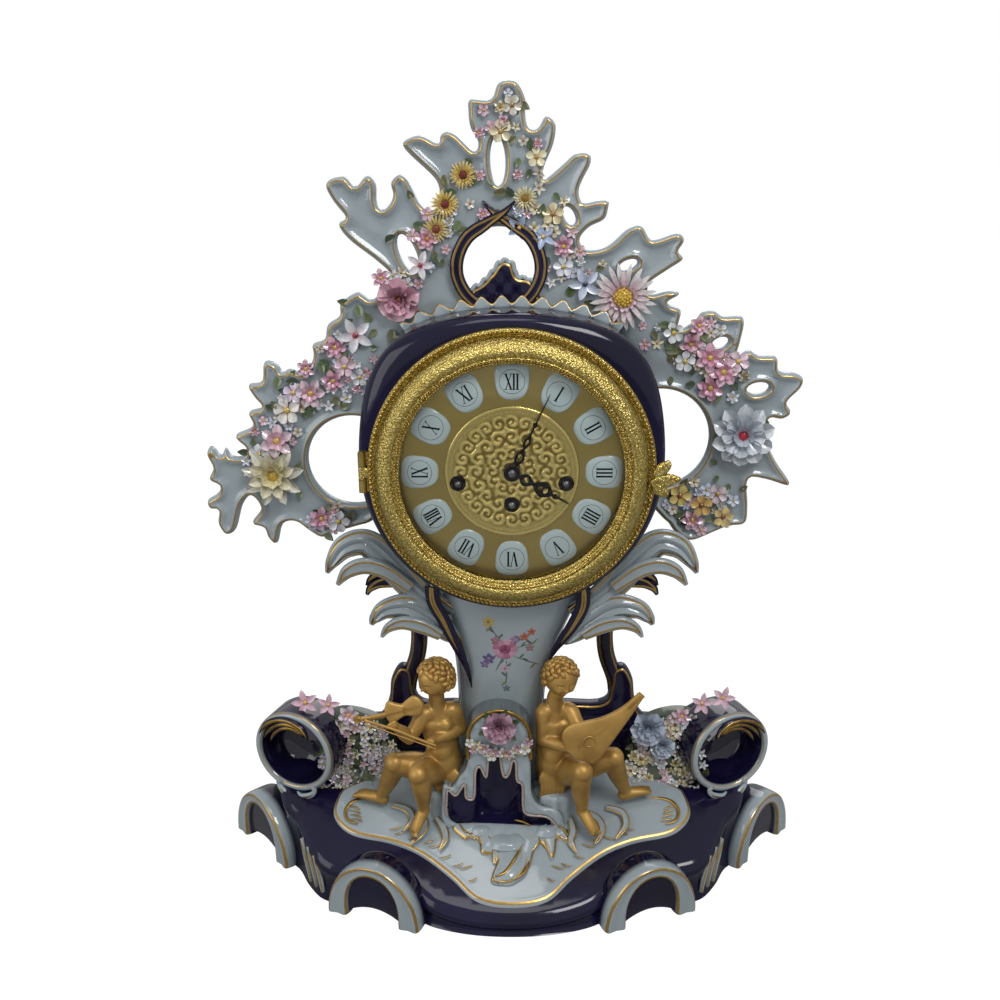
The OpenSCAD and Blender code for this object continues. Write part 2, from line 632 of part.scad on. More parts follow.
// Base flowers: they fill the corner inside the volutes, so places across follow the inner side of a volute,
// heights above the rear top and radii follow its size
bank_across_share = 1.76;
bank_across = bank_across_share * (volute_x_share * base_half_w - volute_r);
bank_rise_share = 6.75;
bank_rise = bank_rise_share * volute_r;
bank_shares = [[0.4, -0.12], [0.64, -0.12], [0.655, 0.05], [0.62, 0.19], [0.5, 0.19], [0.42, 0.12]];
bank_depth = 14;
bank_flower_shares = [
  [0.45, 0.03, 0.05], [0.53, 0.0, 0.06], [0.6, 0.02, 0.045], [0.47, 0.12, 0.06], [0.57, 0.1, 0.06],
  [0.61, 0.17, 0.045], [0.53, 0.18, 0.05]];
// Flowers on a volute, in shares of its radius about its middle
volute_flower_shares = [[-0.33, 1.08, 0.34], [-0.8, 0.9, 0.31]];

// A bank of small flowers in the corner between the panel and the gallery
module flowers_base(side, tint) {
  color(tint) difference() {
    union() {
      upright(gallery_front_y, bank_depth) translate([0, base_top_h])
        polygon(closed_curve(sized(bank_shares, side * bank_across, bank_rise)));
      for (s = bank_flower_shares)
        bloom(side * s.x * bank_across, gallery_front_y - bank_depth, base_top_h + s.y * bank_rise, s.z * bank_rise);
      for (s = volute_r * volute_flower_shares)
        bloom(side * (volute_x_share * base_half_w + s.x), gallery_front_y, volute_z + s.y, s.z);
    }
    base_ground();
    base_panel();
    volute_solid(side);
  }
}
module flowers_base_left() flowers_base(-1, "#e6dfe6");
module flowers_base_right() flowers_base(1, "#cdd6e6");

// Figures: joints as shares of the sitting height, about the middle of the seat
violinist_shares = [
  ["pelvis", [-0.03, 0, 0.14], 0.15], ["waist", [-0.04, -0.02, 0.33], 0.125],
  ["chest", [-0.06, -0.05, 0.5], 0.13],
  ["neck", [-0.07, -0.06, 0.67], 0.07], ["head", [-0.07, -0.07, 0.85], 0.135],
  ["shoulder_a", [-0.145, -0.09, 0.6], 0.07], ["elbow_a", [-0.25, -0.17, 0.46], 0.055],
  ["hand_a", [-0.345, -0.24, 0.6], 0.045], ["shoulder_b", [0.03, -0.04, 0.6], 0.07],
  ["elbow_b", [0.09, -0.02, 0.445], 0.055], ["hand_b", [-0.1, -0.22, 0.46], 0.045],
  ["knee_a", [-0.36, -0.13, 0.245], 0.09], ["ankle_a", [-0.47, -0.05, -0.06], 0.055],
  ["toe_a", [-0.66, 0.03, -0.1], 0.045], ["knee_b", [-0.19, -0.25, 0.23], 0.09],
  ["ankle_b", [-0.165, -0.21, -0.06], 0.055], ["toe_b", [-0.22, -0.27, -0.22], 0.045]];
lutenist_shares = [
  ["pelvis", [-0.01, 0, 0.14], 0.15], ["waist", [-0.035, -0.03, 0.32], 0.125],
  ["chest", [-0.02, -0.045, 0.5], 0.13],
  ["neck", [-0.025, -0.06, 0.68], 0.07], ["head", [0.01, -0.07, 0.86], 0.135],
  ["shoulder_a", [0.065, -0.055, 0.61], 0.07], ["elbow_a", [0.165, -0.165, 0.49], 0.055],
  ["hand_a", [0.255, -0.22, 0.6], 0.045], ["shoulder_b", [-0.09, -0.07, 0.61], 0.07],
  ["elbow_b", [-0.11, -0.11, 0.42], 0.055], ["hand_b", [0.11, -0.235, 0.41], 0.045],
  ["knee_a", [0.375, -0.13, 0.29], 0.09], ["ankle_a", [0.475, -0.035, -0.03], 0.055],
  ["toe_a", [0.66, 0.03, -0.07], 0.045], ["knee_b", [0.155, -0.27, 0.27], 0.09],
  ["ankle_b", [0.165, -0.23, -0.04], 0.055], ["toe_b", [0.24, -0.29, -0.2], 0.045]];
limbs = [
  ["pelvis", "waist"], ["waist", "chest"], ["chest", "neck"], ["neck", "head"], ["chest", "shoulder_a"],
  ["shoulder_a", "elbow_a"], ["elbow_a", "hand_a"], ["chest", "shoulder_b"], ["shoulder_b", "elbow_b"],
  ["elbow_b", "hand_b"], ["pelvis", "knee_a"], ["knee_a", "ankle_a"], ["ankle_a", "toe_a"],
  ["pelvis", "knee_b"], ["knee_b", "ankle_b"], ["ankle_b", "toe_b"]];
figure_round = 14;

function seat_middle(seat_share) = concat(seat_place(seat_share), [base_top_h + seat_h]);

module figure(seat_share, joints) {
  seat = seat_middle(seat_share);
  module joint_ball(name) {
    j = joints[search([name], joints)[0]];
    translate(seat + figure_h * j[1]) sphere(r = figure_h * j[2], $fn = figure_round);
  }
  color(gilt) difference() {
    for (l = limbs) hull() {
      joint_ball(l[0]);
      joint_ball(l[1]);
    }
    below_slope(panel_t);
    translate(seat - [0, 0, big]) cylinder(r = seat_r, h = big);
  }
}
module cherub_violinist() figure(seat_left_share, violinist_shares);
module cherub_lutenist() figure(seat_right_share, lutenist_shares);

function figure_point(seat_share, q) = seat_middle(seat_share) + figure_h * q;

violin_w_share = 0.07;
bow_r = 1.3;

// The violin under the chin, and the bow from hand to hand across it
module violin_and_bow() {
  s = seat_left_share;
  color(gilt) {
    scroll([for (q = [[-0.16, -0.17, 0.72], [-0.22, -0.19, 0.71], [-0.28, -0.2, 0.69], [-0.36, -0.22, 0.68],
        [-0.48, -0.24, 0.66], [-0.58, -0.25, 0.67]]) figure_point(s, q)],
      figure_h * [0.04, violin_w_share, 0.05, violin_w_share, 0.018, 0.022],
      figure_h * [0.016, 0.022, 0.022, 0.022, 0.014, 0.016], [0, -1, 0]);
    scroll([for (q = [[-0.1, -0.25, 0.46], [-0.34, -0.27, 0.57], [-0.53, -0.28, 0.64]]) figure_point(s, q)],
      [bow_r, bow_r, bow_r], [bow_r, bow_r, bow_r], [0, -1, 0], 8);
  }
}

// The long-necked lute across the knees
module lute() {
  s = seat_right_share;
  color(gilt)
    scroll([for (q = [[0.07, -0.26, 0.42], [0.13, -0.27, 0.46], [0.22, -0.27, 0.53], [0.33, -0.26, 0.61],
        [0.44, -0.24, 0.71], [0.54, -0.21, 0.82]]) figure_point(s, q)],
      figure_h * [0.03, 0.11, 0.14, 0.09, 0.035, 0.03],
      figure_h * [0.012, 0.03, 0.034, 0.03, 0.016, 0.012], [0, -1, 0]);
}

// Bezel, dial and hands
// Distances in front of the crest grow towards the viewer

dial_stand = 4;
dial_front = drum_front + dial_stand;
dial_t = 2;
frame_lip_t = 2;
dial_plate_r = 84;
frame_sleeve = 16;
frame_wall = 3.5;
frame_gap = 0.4;
dial_ledge = 4;
door_back = dial_front + rest_gap;
door_front = dial_front + bezel_out;
door_step = 2.2;
glass_sink = 5.8;
glass_seat = door_front - glass_sink;
glass_rebate = 2.7;
glass_rim_r = glass_open_r + glass_rebate;
glass_dome = 4;
retainer_t = 1.5;
retainer_w = 2.8;

module bezel_frame() {
  sleeve_r = drum_bore_r - frame_gap;
  color(brass) {
    turned([[dial_plate_r - dial_ledge, drum_front], [dial_plate_r - dial_ledge, drum_front + frame_lip_t],
      [dial_plate_r + frame_gap, drum_front + frame_lip_t], [dial_plate_r + frame_gap, dial_front],
      [bezel_r, dial_front], [bezel_r, drum_front], [sleeve_r, drum_front],
      [sleeve_r, drum_front - frame_sleeve],
      [sleeve_r - frame_wall, drum_front - frame_sleeve], [sleeve_r - frame_wall, drum_front]]);
    for (s = [-1, 1]) difference() {
      hinge_knuckle(s * (hinge_knuckle_h + rest_gap));
      hinge_bore();
    }
  }
}

hinge_r = 2.6;
hinge_pin_r = 1.2;
hinge_knuckle_h = 9;
hinge_x = -bezel_r - hinge_r - over;
hinge_stand = 1.2;
hinge_front = dial_front + hinge_stand;

// A hinge barrel at the left edge of the bezel, lift above the dial centre
module hinge_knuckle(lift) {
  translate([hinge_x, -hinge_front, dial_h + lift - hinge_knuckle_h / 2])
    cylinder(r = hinge_r, h = hinge_knuckle_h);
  if (lift != 0) translate([hinge_x, -dial_front, dial_h + lift - hinge_knuckle_h / 2])
    cube([3 * hinge_r, dial_front - drum_front, hinge_knuckle_h]);
}
module hinge_bore() {
  translate([hinge_x, -hinge_front, dial_h - 2 * hinge_knuckle_h])
    cylinder(r = hinge_pin_r + run_gap, h = 4 * hinge_knuckle_h);
}
module bezel_hinge_pin() {
  head_h = 1.2;
  color(brass) translate([hinge_x, -hinge_front, dial_h - 1.5 * hinge_knuckle_h - rest_gap]) {
    cylinder(r = hinge_pin_r, h = 3 * hinge_knuckle_h + 2 * rest_gap);
    translate([0, 0, 3 * hinge_knuckle_h + 2 * rest_gap]) cylinder(r = 1.6 * hinge_pin_r, h = head_h);
  }
}

// Section of the ring: shares of its width outward from the glass and of its height forward
bezel_profile_shares = [
  [1, 0], [1, 0.22], [0.91, 0.365], [0.8, 0.29], [0.77, 0.235], [0.73, 0.44], [0.55, 0.825],
  [0.48, 0.956], [0.23, 1], [0.155, 0.883], [0.09, 1], [0, 0.956]];
latch_len = 18;

module bezel_ring() {
  color(brass) {
    turned(concat([[glass_rim_r + fit_gap, door_back]],
      [for (p = bezel_profile_shares)
        [glass_open_r + p.x * (bezel_r - glass_open_r), door_back + p.y * (door_front - door_back)]],
      [[glass_open_r, glass_seat + fit_gap], [glass_rim_r + fit_gap, glass_seat + fit_gap]]));
    difference() {
      union() {
        hinge_knuckle(0);
        translate([hinge_x, -hinge_front - hinge_r, dial_h - hinge_knuckle_h / 2])
          cube([2 * hinge_r, hinge_r, hinge_knuckle_h]);
      }
      hinge_bore();
    }
    upright(-door_back, door_step) translate([bezel_r - bite, dial_h])
      polygon(closed_curve(latch_len * [[0, -0.5], [0.2, -0.35], [0.35, -0.5], [0.5, -0.22], [1.05, 0],
        [0.5, 0.22], [0.35, 0.5], [0.2, 0.35], [0, 0.5], [-0.1, 0]]));
  }
}

function dome(r) = glass_dome * (1 - pow(min(r / glass_open_r, 1), 2));
module bezel_glass() {
  rings = [for (i = [0 : 8]) glass_open_r * i / 8];
  color([0.85, 0.93, 0.95, 0.35]) turned(concat(
    [for (r = rings) [r, glass_seat + dome(r)]],
    [[glass_rim_r, glass_seat], [glass_rim_r, glass_seat - glass_t]],
    [for (i = [8 : -1 : 0]) [rings[i], glass_seat - glass_t + dome(rings[i])]]));
}
module glass_retainer() {
  color(brass) turned([[glass_rim_r + fit_gap - retainer_w, glass_seat - glass_t - retainer_t],
    [glass_rim_r + fit_gap, glass_seat - glass_t - retainer_t], [glass_rim_r + fit_gap, glass_seat - glass_t],
    [glass_rim_r + fit_gap - retainer_w, glass_seat - glass_t]]);
}

centre_boss_r = 45.5;
centre_t = 0.6;
pipe_r = 4;
centre_hole_gap = 1;
arbor_hole_gap = 0.6;
dial_foot_r = 2.5;
dial_foot_place = [44, 34];

module arbor_holes(r) {
  rod_y(r, -big / 2, big / 2, 0, -going_drop);
  for (s = [-1, 1]) rod_y(r, -big / 2, big / 2, s * side_arbor_x, side_arbor_z);
}
side_arbor_z = -8;

module dial_plate() {
  color(brass) {
    difference() {
      rod_y(dial_plate_r, -dial_front, dial_t - dial_front);
      rod_y(pipe_r + centre_hole_gap, -dial_front - over, -drum_front);
      arbor_holes(arbor_r + arbor_hole_gap);
    }
    for (sx = [-1, 1]) for (sz = [-1, 1])
      rod_y(dial_foot_r, dial_t - dial_front - bite, -front_plate_front,
        sx * dial_foot_place.x, sz * dial_foot_place.y);
  }
}
module dial_centre() {
  color(gilt) difference() {
    rod_y(centre_boss_r, -dial_front - centre_t, -dial_front);
    rod_y(pipe_r + centre_hole_gap, -dial_front - over, -drum_front);
    arbor_holes(arbor_r + arbor_hole_gap);
  }
}

plaque_w = 23;
plaque_h = 24;
plaque_t = 1.2;
plaque_shares = [
  [0, -0.5], [0.3, -0.46], [0.38, -0.15], [0.48, 0.2], [0.46, 0.42], [0.25, 0.49], [0, 0.5],
  [-0.25, 0.49], [-0.46, 0.42], [-0.48, 0.2], [-0.38, -0.15], [-0.3, -0.46]];
module dial_plaques() {
  color("#c3d2d8") for (i = [0 : 11])
    upright(-dial_front, plaque_t) translate([0, dial_h]) rotate(30 * i) translate([0, plaque_circle_r])
      polygon(closed_curve(sized(plaque_shares, plaque_w, plaque_h), 2));
}

hand_t = 0.8;
hand_clear = 1.6;
hand_pitch = 2;
hour_hand_back = dial_front + hand_clear;
minute_hand_back = hour_hand_back + hand_pitch;
hour_angle = -30;
minute_angle = 65;
centre_arbor_r = 1.5;
hand_boss_r = 5.3;
cannon_r = 2.6;
nut_h = 2.1;

// Half outline of a hand: distance along it and half-width, both as shares of its length
hour_hand_shares = [[0, 0.03], [0.25, 0.03], [0.34, 0.1], [0.47, 0.12], [0.58, 0.05], [0.66, 0.09],
  [0.76, 0.05], [0.84, 0.022]];
minute_hand_shares = [[0, 0.02], [0.16, 0.02], [0.24, 0.06], [0.33, 0.065], [0.42, 0.025], [0.5, 0.045],
  [0.58, 0.018], [0.8, 0.012]];
module hand_outline(shares, length) {
  polygon(closed_curve(length * concat([for (s = shares) [s.x, -s.y]], [[1, 0]],
    [for (i = [len(shares) - 1 : -1 : 0]) shares[i]]), 2));
}
module hour_hand() {
  color(dark_steel) difference() {
    upright(-hour_hand_back, hand_t) translate([0, dial_h]) rotate(hour_angle) union() {
      circle(hand_boss_r);
      hand_outline(hour_hand_shares, hour_hand_len);
    }
    rod_y(pipe_nose_r, -hour_hand_back - hand_t - over, -dial_front);
  }
}
module minute_hand() {
  color(dark_steel) difference() {
    upright(-minute_hand_back, hand_t) translate([0, dial_h]) rotate(minute_angle) union() {
      circle(0.8 * hand_boss_r);
      hand_outline(minute_hand_shares, minute_hand_len);
    }
    rod_y(centre_arbor_r, -minute_hand_back - hand_t - over, -dial_front);
  }
}
module hand_nut() {
  color(steel) difference() {
    rod_y(2 * centre_arbor_r, -minute_hand_back - hand_t - nut_h, -minute_hand_back - hand_t);
    rod_y(centre_arbor_r, -big / 2, big / 2);
  }
}

// Movement

plate_sink = 10;
front_plate_front = dial_front - plate_sink;
plate_t = 2.5;
front_plate_back = front_plate_front - plate_t;
back_plate_front = front_plate_back - plate_gap;
back_plate_back = back_plate_front - plate_t;
plate_w = 110;
plate_h = 96;
plate_drop = 4;
pillar_r_share = 0.04;
pillar_at_share = [0.43, 0.42];

module movement_plate(front) {
  upright(-front + plate_t, plate_t) translate([-plate_w / 2, dial_h - plate_drop - plate_h / 2])
    square([plate_w, plate_h]);
}
module front_plate() {
  color(brass) difference() {
    movement_plate(front_plate_front);
    rod_y(centre_arbor_r + run_gap, -big / 2, big / 2);
    rod_y(minute_post_r + run_gap, -big / 2, big / 2, minute_wheel_at.x, minute_wheel_at.y);
    arbor_holes(arbor_r + run_gap);
  }
}
hammer_pivot = [30, -24];
hammer_pitch = 4.6;
hammer_count = 4;
hammer_pin_r = 1.5;
balance_at = [14, 27];
module back_plate() {
  color(brass) {
    difference() {
      movement_plate(back_plate_front);
      rod_y(centre_arbor_r + run_gap, -big / 2, big / 2);
      arbor_holes(arbor_r + run_gap);
      rod_y(balance_pivot_r + run_gap, -big / 2, big / 2, balance_at.x, balance_at.y);
    }
    rod_y(hammer_pin_r, -back_plate_back - bite, hammer_pitch * hammer_count + 2 * rest_gap - back_plate_back,
      hammer_pivot.x, hammer_pivot.y);
    rod_y(1.6 * hammer_pin_r, hammer_pitch * hammer_count + 2 * rest_gap - back_plate_back,
      hammer_pitch * hammer_count + 2 * rest_gap + over - back_plate_back, hammer_pivot.x, hammer_pivot.y);
  }
}
module plate_pillars() {
  color(brass) for (sx = [-1, 1]) for (sz = [-1, 1])
    rod_y(pillar_r_share * plate_w, -front_plate_back, -back_plate_front,
      sx * pillar_at_share.x * plate_w, sz * pillar_at_share.y * plate_h - plate_drop);
}

// Gears: involute flanks between a root and a shortened tip; thin takes play off each tooth
pressure_angle = 20;
tooth_play = 0.14;
quarter_turn = 90;
function involute(a) = tan(a) * 180 / PI - a;
function gear_points(n, m, tip, root) =
  let (rp = n * m / 2, rb = rp * cos(pressure_angle), ra = rp + tip * m, rr = rp - root * m,
    at_pitch = (quarter_turn - tooth_play * 180 / PI) / n + involute(pressure_angle),
    flank = rr < rb ? [rr, rb, (rb + ra) / 2, ra] : [rr, (rr + ra) / 2, ra],
    half = [for (r = flank) at_pitch - (r > rb ? involute(acos(rb / r)) : 0)],
    last = len(flank) - 1)
  [for (i = [0 : n - 1]) each concat(
    [for (k = [0 : last]) let (a = 360 * i / n - half[k]) flank[k] * [cos(a), sin(a)]],
    [for (k = [last : -1 : 0]) let (a = 360 * i / n + half[k]) flank[k] * [cos(a), sin(a)]])];

great_teeth = 80;
centre_pinion_teeth = 10;
great_module = 2 * going_drop / (great_teeth + centre_pinion_teeth);
cannon_teeth = 12;
minute_wheel_teeth = 36;
minute_pinion_teeth = 10;
hour_wheel_teeth = 40;
cannon_module = 2 * motion_centre / (cannon_teeth + minute_wheel_teeth);
hour_module = 2 * motion_centre / (minute_pinion_teeth + hour_wheel_teeth);
wheel_tip = 0.5;
wheel_root = 1;
pinion_tip = 0.8;
pinion_root = 0.75;
motion_angle = 60;
wheel_t = 1.6;
motion_gap = 1;
motion_layer_1 = front_plate_front + motion_gap;
motion_layer_2 = motion_layer_1 + wheel_t + motion_gap;
barrel_gap_front = 2.5;
barrel_gap_back = 5;
great_front = front_plate_back - barrel_gap_front;
great_t = 2;
barrel_front = great_front - great_t;
barrel_back = back_plate_front + barrel_gap_back;

module gear_y(n, m, tip, root, back, t, angle, x = 0, z = 0) {
  upright(-back, t) translate([x, dial_h + z]) rotate(angle) polygon(gear_points(n, m, tip, root));
}

// A spring barrel with its great wheel, riding on its winding arbor
module barrel(x, z, wheel_r) {
  color(brass) difference() {
    union() {
      rod_y(barrel_r, -barrel_front, -barrel_back, x, z);
      if (wheel_r > 0) rod_y(wheel_r, -great_front, great_t - great_front, x, z);
      else gear_y(great_teeth, great_module, wheel_tip, wheel_root, great_front - great_t, great_t, 90, x, z);
    }
    rod_y(arbor_r + run_gap, -big / 2, big / 2, x, z);
  }
}
side_wheel_rim = 1.4;
side_wheel_r = barrel_r + side_wheel_rim;
module going_barrel() barrel(0, -going_drop, 0);
module strike_barrel() barrel(-side_arbor_x, side_arbor_z, side_wheel_r);
module chime_barrel() barrel(side_arbor_x, side_arbor_z, side_wheel_r);

collar_t = 1.5;
collar_gap = 0.2;
collar_w = 2;
winding_stand = 1.2;
winding_end = dial_front + winding_stand;

// A winding arbor: it runs in both plates and carries a collar each side of the barrel
module winding_arbor(x, z) {
  color(dark_steel) {
    rod_y(arbor_r, -winding_end, -back_plate_back, x, z);
    rod_y(arbor_r + collar_w, -great_front - collar_gap - collar_t, -great_front - collar_gap, x, z);
    rod_y(arbor_r + collar_w, collar_gap - barrel_back, collar_gap + collar_t - barrel_back, x, z);
  }
}
module going_arbor() winding_arbor(0, -going_drop);
module strike_arbor() winding_arbor(-side_arbor_x, side_arbor_z);
module chime_arbor() winding_arbor(side_arbor_x, side_arbor_z);

// The centre arbor with its pinion, and the cannon pinion that drives the motion work
module centre_arbor() {
  color(steel) {
    rod_y(centre_arbor_r, -minute_hand_back - hand_t - nut_h, -back_plate_back);
    gear_y(centre_pinion_teeth, great_module, pinion_tip, pinion_root, great_front - great_t - collar_gap,
      great_t + 2 * collar_gap, -90 + 180 / centre_pinion_teeth);
    rod_y(cannon_r, -minute_hand_back, -motion_layer_1);
    gear_y(cannon_teeth, cannon_module, pinion_tip, pinion_root, motion_layer_1, wheel_t, motion_angle);
  }
}
minute_post_r = 1.2;
minute_wheel_at = motion_centre * [cos(motion_angle), sin(motion_angle)];
module minute_wheel() {
  x = minute_wheel_at.x;
  z = minute_wheel_at.y;
  color(brass) {
    gear_y(minute_wheel_teeth, cannon_module, wheel_tip, wheel_root, motion_layer_1, wheel_t,
      motion_angle + 180 + 180 / minute_wheel_teeth, x, z);
    gear_y(minute_pinion_teeth, hour_module, pinion_tip, pinion_root, motion_layer_1 + wheel_t - bite / 2,
      wheel_t + motion_gap + bite / 2, motion_angle + 180, x, z);
    rod_y(minute_post_r, -motion_layer_1 - over / 2, -front_plate_back, x, z);
  }
}
pipe_nose_r = 3.4;
module hour_wheel() {
  color(brass) difference() {
    union() {
      gear_y(hour_wheel_teeth, hour_module, wheel_tip, wheel_root, motion_layer_2, wheel_t,
        motion_angle + 180 / hour_wheel_teeth);
      rod_y(pipe_r, -hour_hand_back, -motion_layer_2);
      rod_y(pipe_nose_r, -hour_hand_back - hand_t, -motion_layer_2);
    }
    rod_y(cannon_r + run_gap, -big / 2, big / 2);
  }
}

balance_r = 10;
balance_t = 1.6;
balance_pivot_r = 0.8;
balance_gap = 4;
balance_back = back_plate_back - balance_gap;
cock_t = 1.6;
cock_w = 7;
cock_reach = 15;

// A rimmed wheel on three arms that swings to and fro behind the back plate
module balance_wheel() {
  color(brass) {
    difference() {
      rod_y(balance_r, -balance_back - balance_t, -balance_back, balance_at.x, balance_at.y);
      for (a = [30, 150, 270])
        rod_y(0.3 * balance_r, -big / 2, big / 2,
          balance_at.x + 0.52 * balance_r * cos(a), balance_at.y + 0.52 * balance_r * sin(a));
    }
    rod_y(balance_pivot_r, -back_plate_front, cock_gap - balance_back + cock_t / 2, balance_at.x, balance_at.y);
  }
}
cock_gap = 2;
module balance_cock() {
  foot = 8;
  color(brass) difference() {
    union() {
      translate([balance_at.x - cock_w / 2, cock_gap - balance_back, dial_h + balance_at.y - cock_reach - foot])
        cube([cock_w, cock_t, cock_reach + foot + cock_w / 2]);
      translate([balance_at.x - cock_w / 2, -back_plate_back, dial_h + balance_at.y - cock_reach - foot])
        cube([cock_w, back_plate_back - balance_back + cock_gap, foot]);
    }
    rod_y(balance_pivot_r + run_gap, -back_plate_back, big / 2, balance_at.x, balance_at.y);
  }
}

chime_block_place = [-52, -52];
chime_block_size = [12, 12];
rod_r = 1.2;
rod_len = 78;
hammer_head_r = 3.5;
hammer_lift_gap = 1;
hammer_reach = 36;

function hammer_y(i) = -back_plate_back + rest_gap + (i + 0.5) * hammer_pitch;

// The block screwed to the back plate and the sounding rods that it holds
module chime_rods() {
  mid_z = dial_h + chime_block_place.y + chime_block_size.y / 2;
  color(steel) {
    translate([chime_block_place.x, -back_plate_back, dial_h + chime_block_place.y])
      cube([chime_block_size.x, hammer_pitch * hammer_count + 2 * rest_gap, chime_block_size.y]);
    for (i = [0 : hammer_count - 1])
      translate([chime_block_place.x + chime_block_size.x - bite, hammer_y(i), mid_z]) rotate([0, 90, 0])
        cylinder(r = rod_r, h = rod_len);
  }
}

// A small hammer that drops on its own rod
module hammer(i) {
  y = hammer_y(i);
  rod_top = chime_block_place.y + chime_block_size.y / 2 + rod_r;
  head_z = rod_top + hammer_lift_gap + hammer_head_r;
  head_x = hammer_pivot.x - hammer_reach;
  t = hammer_pitch - 2 * rest_gap;
  color(brass) difference() {
    union() {
      rod_y(2 * hammer_pin_r, y - t / 2, y + t / 2, hammer_pivot.x, hammer_pivot.y);
      rod_y(hammer_head_r, y - t / 2, y + t / 2, head_x, head_z);
      hull_free_arm([hammer_pivot.x, hammer_pivot.y], [head_x, head_z], hammer_pin_r, y, t / 2);
    }
    rod_y(hammer_pin_r + run_gap, -big / 2, big / 2, hammer_pivot.x, hammer_pivot.y);
  }
}
// A flat bar between two places in X and Z
module hull_free_arm(from, to, w, y, t) {
  run = to - from;
  translate([from.x, y + t / 2, dial_h + from.y]) rotate([0, -atan2(run.y, run.x), 0])
    translate([0, -t, -w / 2]) cube([norm(run), t, w]);
}
module hammer_1() hammer(0);
module hammer_2() hammer(1);
module hammer_3() hammer(2);
module hammer_4() hammer(3);

rear_open_r = 85;
rear_t = 2;
rear_stop_w = 3;
rear_ring_margin = 6;
rear_sleeve = 10;
rear_door_gap = 0.5;
rear_hinge_r = 1.8;
rear_hinge_out = 3;
rear_hinge_x = -rear_open_r - rear_hinge_out;
rear_fret_r = 3;
rear_frets = 12;
rear_knob_r = 5;

// The brass ring that closes the back of the drum
module rear_ring() {
  sleeve_r = drum_bore_r - frame_gap;
  ring_r = drum_r - rear_ring_margin;
  color(brass) {
    turned([[rear_open_r - rear_stop_w, -drum_back + rear_t], [sleeve_r - frame_wall, -drum_back + rear_t],
      [sleeve_r - frame_wall, -drum_back + rear_sleeve], [sleeve_r, -drum_back + rear_sleeve],
      [sleeve_r, -drum_back], [ring_r, -drum_back], [ring_r, -drum_back - rear_t],
      [rear_open_r, -drum_back - rear_t],
      [rear_open_r, -drum_back], [rear_open_r - rear_stop_w, -drum_back]]);
    for (s = [-1, 1]) rear_knuckle(s * (hinge_knuckle_h + rest_gap));
    translate([rear_hinge_x, rear_hinge_y, dial_h - 1.5 * hinge_knuckle_h])
      cylinder(r = rear_hinge_r / 2, h = 3 * hinge_knuckle_h);
  }
}
rear_hinge_y = drum_back + rear_t + rear_hinge_r;
module rear_knuckle(lift) {
  translate([rear_hinge_x, rear_hinge_y, dial_h + lift - hinge_knuckle_h / 2])
    cylinder(r = rear_hinge_r, h = hinge_knuckle_h);
  if (lift != 0)
    translate([rear_hinge_x - rear_hinge_r, drum_back + rear_t - bite, dial_h + lift - hinge_knuckle_h / 2])
    cube([2 * rear_hinge_r, rear_hinge_r + bite, hinge_knuckle_h]);
}

// The rear door, pierced so that the chime can be heard
module rear_door() {
  door_r = rear_open_r - rear_door_gap;
  color(brass) {
    difference() {
      union() {
        rod_y(door_r, drum_back + rest_gap, drum_back + rear_t);
        rear_knuckle(0);
        translate([rear_hinge_x, rear_hinge_y - rear_hinge_r + rest_gap, dial_h - hinge_knuckle_h / 2])
          cube([4 * rear_hinge_r, rear_hinge_r, hinge_knuckle_h]);
        translate([rear_hinge_x + 2.4 * rear_hinge_r, drum_back + rest_gap, dial_h - hinge_knuckle_h / 2])
          cube([1.6 * rear_hinge_r, rear_hinge_r + rear_t, hinge_knuckle_h]);
      }
      translate([rear_hinge_x, rear_hinge_y, dial_h - hinge_knuckle_h])
        cylinder(r = rear_hinge_r / 2 + run_gap, h = 2 * hinge_knuckle_h);
      for (i = [0 : rear_frets - 1]) let (a = 360 * i / rear_frets)
        rod_y(rear_fret_r, 0, big, 0.55 * door_r * cos(a), 0.55 * door_r * sin(a));
    }
    rod_y(rear_knob_r, drum_back + rear_t - bite / 2, drum_back + rear_t + rear_knob_r, 0.88 * door_r, 0);
  }
}

base_body();
base_panel();
scroll_foot_front_left();
scroll_foot_front_right();
scroll_foot_side_left();
scroll_foot_side_right();
volute_left();
volute_right();
gallery();
column();
column_bands();
niche();
rocaille_shell();
leaf_scrolls_left();
leaf_scrolls_right();
drum_case();
drum_ruffle();
crest_plate();
crest_medallion();
flowers_crest();
flowers_wing_left();
flowers_wing_right();
flowers_base_left();
flowers_base_right();
cherub_violinist();
cherub_lutenist();
violin_and_bow();
lute();
bezel_frame();
dial_plate();
dial_centre();
dial_plaques();
bezel_ring();
bezel_glass();
glass_retainer();
bezel_hinge_pin();
hour_hand();
minute_hand();
hand_nut();
front_plate();
back_plate();
plate_pillars();
going_barrel();
strike_barrel();
chime_barrel();
going_arbor();
strike_arbor();
chime_arbor();
centre_arbor();
minute_wheel();
hour_wheel();
balance_wheel();
balance_cock();
chime_rods();
hammer_1();
hammer_2();
hammer_3();
hammer_4();
rear_ring();
rear_door();
